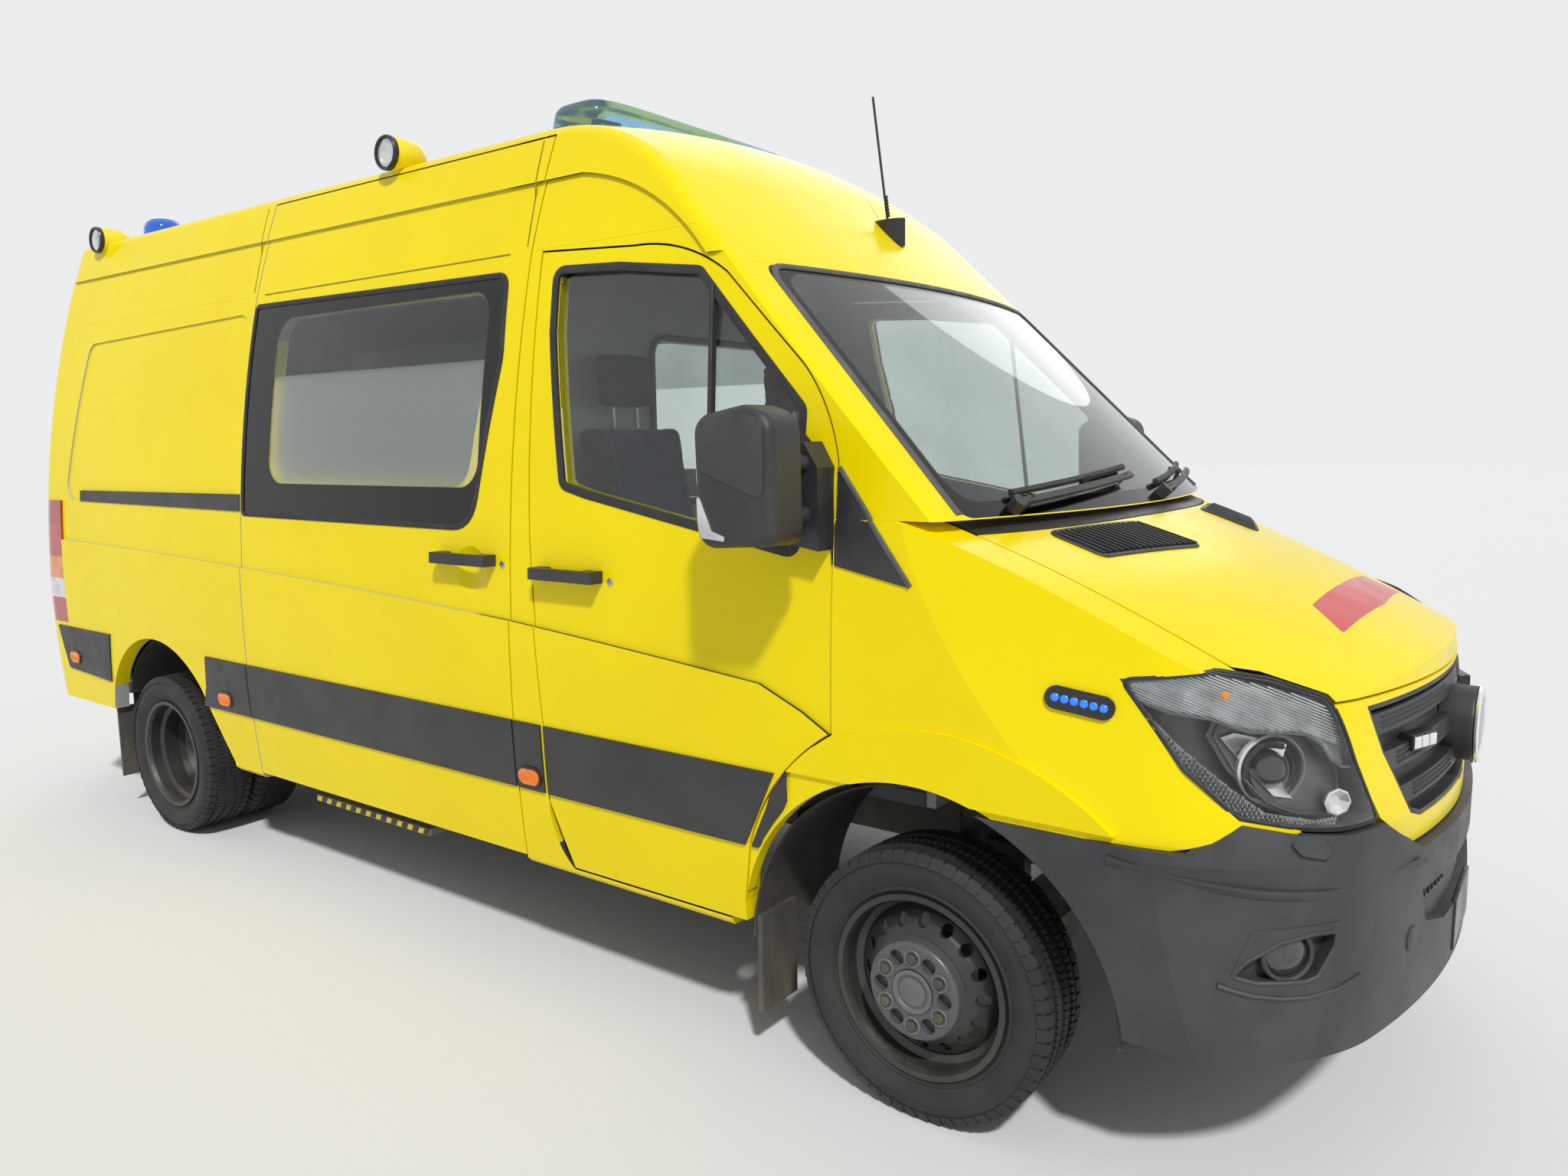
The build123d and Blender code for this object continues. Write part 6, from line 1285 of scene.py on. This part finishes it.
strip = [on_side(x, z, frame_skin, 0.002) for x, z in ((-0.206 + 0.208 * k / 10, 1.578 - 0.266 * k / 10)
    for k in range(11))]
make("triangle_strip_right", sweep(strip, lip(0.006, 0.005, 0.002)), grey_rubber)

# Door handles
# Bright lock barrels beside the black pull bars of the front doors and the sliding door.
# Each is a turned steel plug let into the panel.
LOCK = [(0, -0.002), (0.011, -0.002), (0.0115, 0.002), (0.010, 0.003), (0, 0.0032)]
make("door_lock_right", turned(LOCK, *on_side(-0.955, 1.262, door_skin), 32), steel_bright,
    "door_right")
make("sliding_door_lock", turned(LOCK, *on_side(-1.410, 1.285, slide_skin), 32), steel_bright)

# Cab seats
# Foam pads in dark blue cloth with black bolsters, sewn with channels, on painted steel boxes and two steel posts
# for each head restraint. The pads are swelled under pressure and then sewn in.
seat_cloth = finish_of("seat_cloth", (0.012, 0.020, 0.060), (0.020, 0.028, 0.075), 0.88, mottle_scale=60,
    amount=0.8, grain_scale=1500, waves=200, bump=0.5, Sheen_Weight=0.25)
bolster_cloth = finish_of("bolster_cloth", (0.014, 0.014, 0.016), (0.026, 0.026, 0.028), 0.85, mottle_scale=50,
    amount=0.8, grain_scale=1400, waves=160, bump=0.5, Sheen_Weight=0.2)
SWELL_FRAMES, SWELL_LIMIT, PAD_VOXEL = 20, 0.020, 0.009
CHANNEL_DEPTH, CHANNEL_HALF, BOLSTER_FROM = 0.0065, 0.0075, 0.152


def baked(thing):
    """The thing's mesh with its modifiers applied."""
    graph = bpy.context.evaluated_depsgraph_get()
    return bpy.data.meshes.new_from_object(thing.evaluated_get(graph))


def smoothed(thing):
    smooth = thing.modifiers.new("smooth", "SUBSURF")
    smooth.levels = smooth.render_levels = 1


def stuffed(name, profile, half_width, channels, middle_y, soften):
    """A sewn pad: a side profile in millimetres made solid, softened, swelled, and drawn in along its channels."""
    count = len(profile)
    points = [at(x, y, z) for y in (middle_y - half_width, middle_y + half_width) for x, z in profile]
    faces = [list(range(count)), [count + i for i in reversed(range(count))]]
    faces += [[i, count + i, count + (i + 1) % count, (i + 1) % count] for i in range(count)]
    pad = placed(name, solid_mesh(name, points, faces))
    soft = pad.modifiers.new("soft", "BEVEL")
    soft.width, soft.segments = soften / 1000, 5
    remesh = pad.modifiers.new("remesh", "REMESH")
    remesh.mode, remesh.voxel_size = "VOXEL", PAD_VOXEL
    pad.data = baked(pad)
    pad.modifiers.clear()
    rest = [v.co.copy() for v in pad.data.vertices]
    cloth = pad.modifiers.new("swell", "CLOTH")
    cloth.settings.quality = 4
    cloth.settings.mass = 0.3
    cloth.settings.use_pressure = True
    cloth.settings.uniform_pressure_force = 4
    cloth.settings.effector_weights.gravity = 0
    cloth.point_cache.frame_start, cloth.point_cache.frame_end = 1, SWELL_FRAMES
    for frame_number in range(1, SWELL_FRAMES + 1):
        bpy.context.scene.frame_set(frame_number)
    swelled = baked(pad)
    pad.modifiers.clear()
    bpy.context.scene.frame_set(1)
    for vertex, new in zip(pad.data.vertices, swelled.vertices):
        shift = new.co - vertex.co
        vertex.co = vertex.co + shift * min(1.0, SWELL_LIMIT / max(shift.length, 1e-9))
    low = Vector(map(min, *points)) - Vector((0.004, 0.010, 0.004))
    high = Vector(map(max, *points)) + Vector((0.012, 0.010, 0.014))
    normals = [v.normal.copy() for v in pad.data.vertices]
    for vertex, here, out in zip(pad.data.vertices, rest, normals):
        depth = sum(CHANNEL_DEPTH * math.exp(-((channel(here)) / CHANNEL_HALF) ** 2) for channel in channels)
        spot = vertex.co - out * depth
        vertex.co = Vector(min(max(a, b), c) for a, b, c in zip(spot, low, high))
    pad.data.shade_smooth()
    smoothed(pad)
    return pad


def line(axis, value, origin=0.0):
    """How far a point lies past a level on one axis."""
    return lambda p: (p[axis] - origin) - value


SEAT_Y = -0.450
PADS = (("seat_cushion_right", ((-1240, 944), (-775, 944), (-772, 1010), (-800, 1046), (-1240, 1036)), 236,
    (line(1, SEAT_Y - 0.150), line(1, SEAT_Y + 0.150), line(0, -0.98, FRONT_AXLE), line(0, -1.10, FRONT_AXLE)), 26),
    ("seat_back_right", ((-1196, 1064), (-1292, 1072), (-1418, 1700), (-1345, 1710), (-1270, 1380)), 226,
    (line(1, SEAT_Y - 0.145), line(1, SEAT_Y + 0.145), line(2, 1.22), line(2, 1.36), line(2, 1.52)), 26),
    ("head_restraint_right", ((-1360, 1762), (-1432, 1762), (-1440, 1930), (-1378, 1932), (-1362, 1860)), 110,
    (line(2, 1.80), line(2, 1.90)), 24))
for name, profile, half_width, channels, soften in PADS:
    pad = stuffed(name, profile, half_width, channels, SEAT_Y * 1000, soften)
    pad.data.materials.append(seat_cloth)
    pad.data.materials.append(bolster_cloth)
    for face in pad.data.polygons:
        face.material_index = 1 if abs(face.center.y - SEAT_Y) > BOLSTER_FROM and "head" not in name else 0
    twin = placed(other_hand(name), pad.data.copy())
    twin.data.transform(Matrix.Scale(-1, 4, (0, 1, 0)))
    twin.data.flip_normals()
    smoothed(twin)
    for thing in (pad, twin):
        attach(thing, "body")
        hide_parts("cab_seats")
seat_grey = finish_of("seat_frame_grey", (0.055, 0.057, 0.060), (0.09, 0.09, 0.092), 0.5, mottle_scale=9,
    grain_scale=500, bump=0.15)
post_steel = [cylinder(at(-1396, SEAT_Y * 1000 + y, 1690), at(-1400, SEAT_Y * 1000 + y, 1790), 0.007)
    for y in (-55, 55)]
make("restraint_posts_right", joined(*post_steel), steel_bright)
boxes = [brick(at(-1025, SEAT_Y * 1000, 810), (0.175, 0, 0), (0, 0.180, 0), (0, 0, 0.129), 0.06),
    brick(at(-1010, SEAT_Y * 1000, 932), (0.215, 0, 0), (0, 0.220, 0), (0, 0, 0.010), 0.02),
    brick(at(-1235, SEAT_Y * 1000 - 205, 1010), (0.040, 0, 0), (0, 0.012, 0), (0, 0, 0.060), 0.2)]
make("seat_boxes_right", joined(*boxes), seat_grey, bevel=0.008)
belt_web = finish_of("belt_web", (0.010, 0.010, 0.011), (0.022, 0.022, 0.023), 0.8, mottle_scale=90,
    grain_scale=1800, bump=0.4)
belt_line = [at(-1445, -820, 1700), at(-1440, -815, 1500), at(-1425, -800, 1250), at(-1400, -790, 1000),
    at(-1380, -780, 760)]
make("seat_belt_right", sweep([(p, Vector((1, 0, 0))) for p in belt_line], flat(0.024, -0.0012, 0.0012)), belt_web)

# Dashboard and wheel
# A black grained dashboard with an instrument hood, air vents, radio face and glove box line.
# The steering wheel is leather-black foam over steel with a plain boss.
dash_black = finish_of("dash_black", (0.020, 0.020, 0.022), (0.040, 0.040, 0.043), 0.6, mottle_scale=7,
    grain_scale=650, bump=0.3)
dress(dash_black, "dashboard", "steering_wheel")
dash_skin = skin_of("dashboard")
parts = []
AIR_VENT_HALF = 0.055
for y in (-0.66, -0.08, 0.10, 0.74):
    spot, out = on_back(y, 1.27, dash_skin, from_x=-1.0)
    parts.append(brick(spot + out * 0.004, (0, AIR_VENT_HALF, 0), (0, 0, 0.032), out * 0.006, 0.1))
    for k in range(5):
        parts.append(brick(spot + out * 0.012 + Vector((0, 0, -0.022 + 0.011 * k)), (0, AIR_VENT_HALF * 0.86, 0),
            (0, 0, 0.0018), out * 0.004))
spot, out = on_back(0.01, 1.11, dash_skin, from_x=-1.0)
parts.append(brick(spot + out * 0.003, (0, 0.095, 0), (0, 0, 0.055), out * 0.006, 0.05))
for k in (-1, 1):
    parts.append(cylinder(spot + Vector((0, 0.070 * k, 0)), spot + Vector((0, 0.070 * k, 0)) + out * 0.022, 0.011))
spot, out = on_back(-0.44, 1.09, dash_skin, from_x=-1.0)
parts.append(brick(spot + out * 0.003, (0, 0.20, 0), (0, 0, 0.085), out * 0.006, 0.03))
parts.append(brick(at(-395, 430, 1345), (0.055, 0, 0), (0, 0.170, 0), (0, 0, 0.048), 0.25))
make("dashboard_fittings", joined(*parts), lamp_black, bevel=0.002)
dial_parts = [turned([(0, -0.003), (0.040, -0.003), (0.041, 0.002), (0.037, 0.003), (0, 0.0015)], at(-452, y, 1350),
    (-1, 0, 0.15), 32) for y in (370, 490)]
make("instrument_dials", joined(*dial_parts), lamp_grey)
wheel_hub = at(-480, 430, 1180)
hub_axis = Vector((-0.9, 0, 0.435)).normalized()
make("steering_boss_cover", turned([(0, 0.010), (0.060, 0.010), (0.072, 0.016), (0.066, 0.028), (0.040, 0.036),
    (0, 0.038)], wheel_hub - hub_axis * 0.012, hub_axis, 40), dash_black, body="steering_wheel")

# Bulkhead, lining and cupboards
# White laminate partition with a black tube-framed window, white cupboards with aluminium edges and round locks,
# and a stretcher table with a bare grey deck.
dress(finish_of("white_laminate", (0.72, 0.73, 0.73), (0.62, 0.63, 0.63), 0.35, mottle_scale=3, grain_scale=350,
    bump=0.06), "bulkheads", "load_cupboards")
dress(finish_of("table_grey", (0.26, 0.27, 0.28), (0.18, 0.19, 0.20), 0.45, mottle_scale=6, grain_scale=400,
    bump=0.15, Metallic=0.4), "stretcher_table")
HATCH = ((-200, 1440), (-200, 2000), (600, 2000), (600, 1440))
for name, x, way in (("bulkhead_frame_front", -1.4985, 1), ("bulkhead_frame_rear", -1.5315, -1)):
    ring = [(Vector((FRONT_AXLE + x, p.x, p.y)), Vector((way, 0, 0)))
        for p in shrunk(rounded(HATCH, 60, 0.04), -0.012)]
    make(name, sweep(ring, round_section(0.012, 0.010, 12, 0.008), True), lamp_black)
edges = [brick(at(x, 538, 1075), (0.010, 0, 0), (0, 0.0035, 0), (0, 0, 0.205), 0.1)
    for x in (-1720, -2400, -3080, -3780, -4480)]
SHELF_EDGES = ((-3100, 538, 1.385, (872, 1278)), (-3750, 558, 0.735, (1912, 2168)))
edges += [brick(at(x, y, z), (half, 0, 0), (0, 0.0035, 0), (0, 0, 0.008), 0.1)
    for x, y, half, levels in SHELF_EDGES for z in levels]
KNOBS = ((541, 1200, (-2060, -2740, -3430, -4130)), (561, 1950, (-3400, -4100)))
knobs = [cylinder(at(x, y, z), at(x, y - 17, z), 0.014) for y, z, places in KNOBS for x in places]
make("cupboard_edges", joined(*edges), steel_bright)
make("cupboard_knobs", joined(*knobs), lamp_black)

# Rear end
# Tall corner lamps in red, amber and clear cells, twin doors on three black hinges each with a central handle,
# a blank plate on its mount, a pressed frame low on each door and a high stop lamp.
lamp_cells, cells_tree, cells_shader = blank_finish("tail_lamp_cells", Coat_Weight=0.6)
level_z = step(cells_tree, "SeparateXYZ", {"Vector": place_of(cells_tree)}).outputs["Z"]
share_up = step(cells_tree, "MapRange", {"Value": level_z, "From Min": 0.844, "From Max": 1.412}).outputs["Result"]
bands = step(cells_tree, "ValToRGB", {"Fac": share_up})
ramp = bands.color_ramp
ramp.interpolation = "CONSTANT"
ramp.elements[0].color = (0.42, 0.010, 0.010, 1)
ramp.elements[1].position = 0.20
ramp.elements[1].color = (0.70, 0.70, 0.69, 1)
for position, colour in ((0.36, (0.82, 0.24, 0.012, 1)), (0.54, (0.52, 0.010, 0.010, 1)),
        (0.80, (0.36, 0.008, 0.008, 1))):
    ramp.elements.new(position).color = colour
murk = step(cells_tree, "TexNoise", {"Vector": place_of(cells_tree), "Scale": 14.0, "Detail": 4.0})
dulled = mixed(cells_tree, ranged(cells_tree, murk.outputs["Fac"], 0.35, 0.75, 0.0, 0.35), bands.outputs["Color"],
    (0.20, 0.03, 0.02, 1))
cells_tree.links.new(dulled, cells_shader.inputs["Base Color"])
cells_tree.links.new(ranged(cells_tree, murk.outputs["Fac"], 0.3, 0.7, 0.08, 0.2), cells_shader.inputs["Roughness"])
ridges = step(cells_tree, "TexWave", {"Vector": place_of(cells_tree), "Scale": 38.0})
ridges.bands_direction = "Z"
fluting = step(cells_tree, "Bump", {"Height": ridges.outputs["Fac"], "Strength": 0.25, "Distance": 0.002})
cells_tree.links.new(fluting.outputs["Normal"], cells_shader.inputs["Normal"])
dress(lamp_cells, "tail_lamps")
rear_skin = skin_of("rear_door_right", "rear_quarter_right", "tail_lamps")
lamp_only = skin_of("tail_lamps")


def rear_spot(y, z, skin=rear_skin, lift=0.0):
    spot, normal = on_back(y, z, skin, lift, -5.4)
    if spot.x > FRONT_AXLE - 4.5:
        spot, normal, _, _ = skin.find_nearest(Vector((FRONT_AXLE - 4.83, y, z)))
    return spot, normal


dividers = []
for z in (0.957, 1.048, 1.151, 1.298):
    dividers.append(sweep([rear_spot(-0.820 - 0.012 * k, z, lamp_only) for k in range(13)],
        flat(0.0022, -0.002, 0.0012)))
make("tail_lamp_dividers_right", joined(*dividers), lamp_black)
hinges = []
for z in (0.62, 1.30, 2.02):
    spot, out = rear_spot(-0.735, z)
    hinges.append(brick(spot + out * 0.005, (0, 0.050, 0), (0, 0, 0.020), out * 0.007, 0.15))
    hinges.append(brick(spot + out * 0.005 + Vector((0, 0.048, 0)), (0, 0.014, 0), (0, 0, 0.030), out * 0.006, 0.2))
make("rear_hinge_straps_right", joined(*hinges), trim_plastic, body="rear_door_right", bevel=0.002)
spot, out = rear_spot(-0.120, 1.240)
plinth = sheet_of(rounded(((-205, 1200), (-205, 1280), (-40, 1280), (-40, 1200)), 14, 0.02), rear_spot, -0.002,
    0.003, 0.03)
grip = [(spot + out * (0.026 if 0 < k < 8 else 0.004) + Vector((0, -0.060 + 0.015 * k, 0.008)), out)
    for k in range(9)]
handle_parts = [plinth, sweep(grip, flat(0.012, -0.005, 0.007, 0.010))]
make("rear_door_handle", joined(*handle_parts), trim_plastic, body="rear_door_right", bevel=0.001)
left_spot = seated(rear_spot, skin_of("rear_door_left"))
plate_back = rounded(((110, 900), (110, 1030), (650, 1030), (650, 900)), 14, 0.04)
make("rear_plate_mount", sheet_of(plate_back, left_spot, -0.002, 0.006, 0.06), lamp_black, body="rear_door_left",
    bevel=0.002)
plate_face = rounded(((122, 912), (122, 1018), (638, 1018), (638, 912)), 6, 0.04)
make("bare_rear_plate", sheet_of(plate_face, left_spot, 0.005, 0.0085, 0.06), bare_plate,
    "rear_door_left")
make("plate_lamp_bar", brick(left_spot(0.38, 1.052)[0] + Vector((-0.010, 0, 0)), (0.014, 0, 0), (0, 0.16, 0),
    (0, 0, 0.012), 0.25), trim_plastic, body="rear_door_left", bevel=0.003)
swage = laid(rear_spot, rounded(((-150, 620), (-150, 860), (-690, 860), (-690, 620)), 40, 0.04))
make("rear_panel_swage_right", sweep(swage, lip(0.008, 0.003, 0.002), True), yellow_paint,
    "rear_door_right")
REAR_PANE = ((-110, 1500), (-110, 2080), (-610, 2080), (-680, 1500))
pane_edge = laid(seated(rear_spot, skin_of("rear_door_right")), shrunk(rounded(REAR_PANE, 50, 0.03), -0.007))
make("rear_window_seal_right", sweep(pane_edge, lip(0.010, 0.004, 0.006), True), seal_rubber,
    "rear_door_right")
tail_roof = skin_of("roof_panel", "rear_door_right", "rear_door_left")
stop_lamp = [on_back(-0.24 + 0.02 * k, 2.500, tail_roof, 0.0, -5.4) for k in range(25)]
stop_red = finish_of("stop_red", (0.40, 0.008, 0.008), (0.30, 0.006, 0.006), 0.18, mottle_scale=30, grain_scale=500,
    bump=0.06, Coat_Weight=0.5)
make("high_stop_lamp", sweep(stop_lamp, flat(0.016, -0.003, 0.010, 0.013)), stop_red, bevel=0.002)

# Steps
# Grey plastic rear bumper step with raised bars, and a folding side step edged in yellow and black stripes.
# Both hang on steel arms from the frame rails.
dress(finish_of("step_grey", (0.17, 0.175, 0.18), (0.25, 0.25, 0.25), 0.6, mottle_scale=6, grain_scale=420,
    bump=0.25, film_top=0.7, film_amount=0.4), "steps")
bars = [brick(at(-4935, y, 451), (0.062, 0, 0), (0, 0.006, 0), (0, 0, 0.003), 0.2) for y in range(-560, 561, 40)]
bars += [brick(at(x, -770, 326), (0.006, 0, 0), (0, 0.110, 0), (0, 0, 0.0025), 0.2)
    for x in range(-2630, -1985, 45)]
make("step_treads", joined(*bars), trim_plastic)
stripes, STRIPES = ([], []), 22
for n in range(STRIPES):
    x, wide = -2654 + 31.5 * n, 28 if n < STRIPES - 1 else 20
    points = [at(x + dx, y, z) for y in (-902.0, -899.0) for dx, z in ((0, 303), (wide, 303), (wide + 10, 322),
        (10, 322))]
    stripes[n % 2].append((points, [[0, 1, 2, 3], [7, 6, 5, 4], [0, 4, 5, 1], [1, 5, 6, 2], [2, 6, 7, 3],
        [3, 7, 4, 0]]))
make("step_edge_yellow", joined(*stripes[0]), pod_yellow)
make("step_edge_black", joined(*stripes[1]), lamp_black)
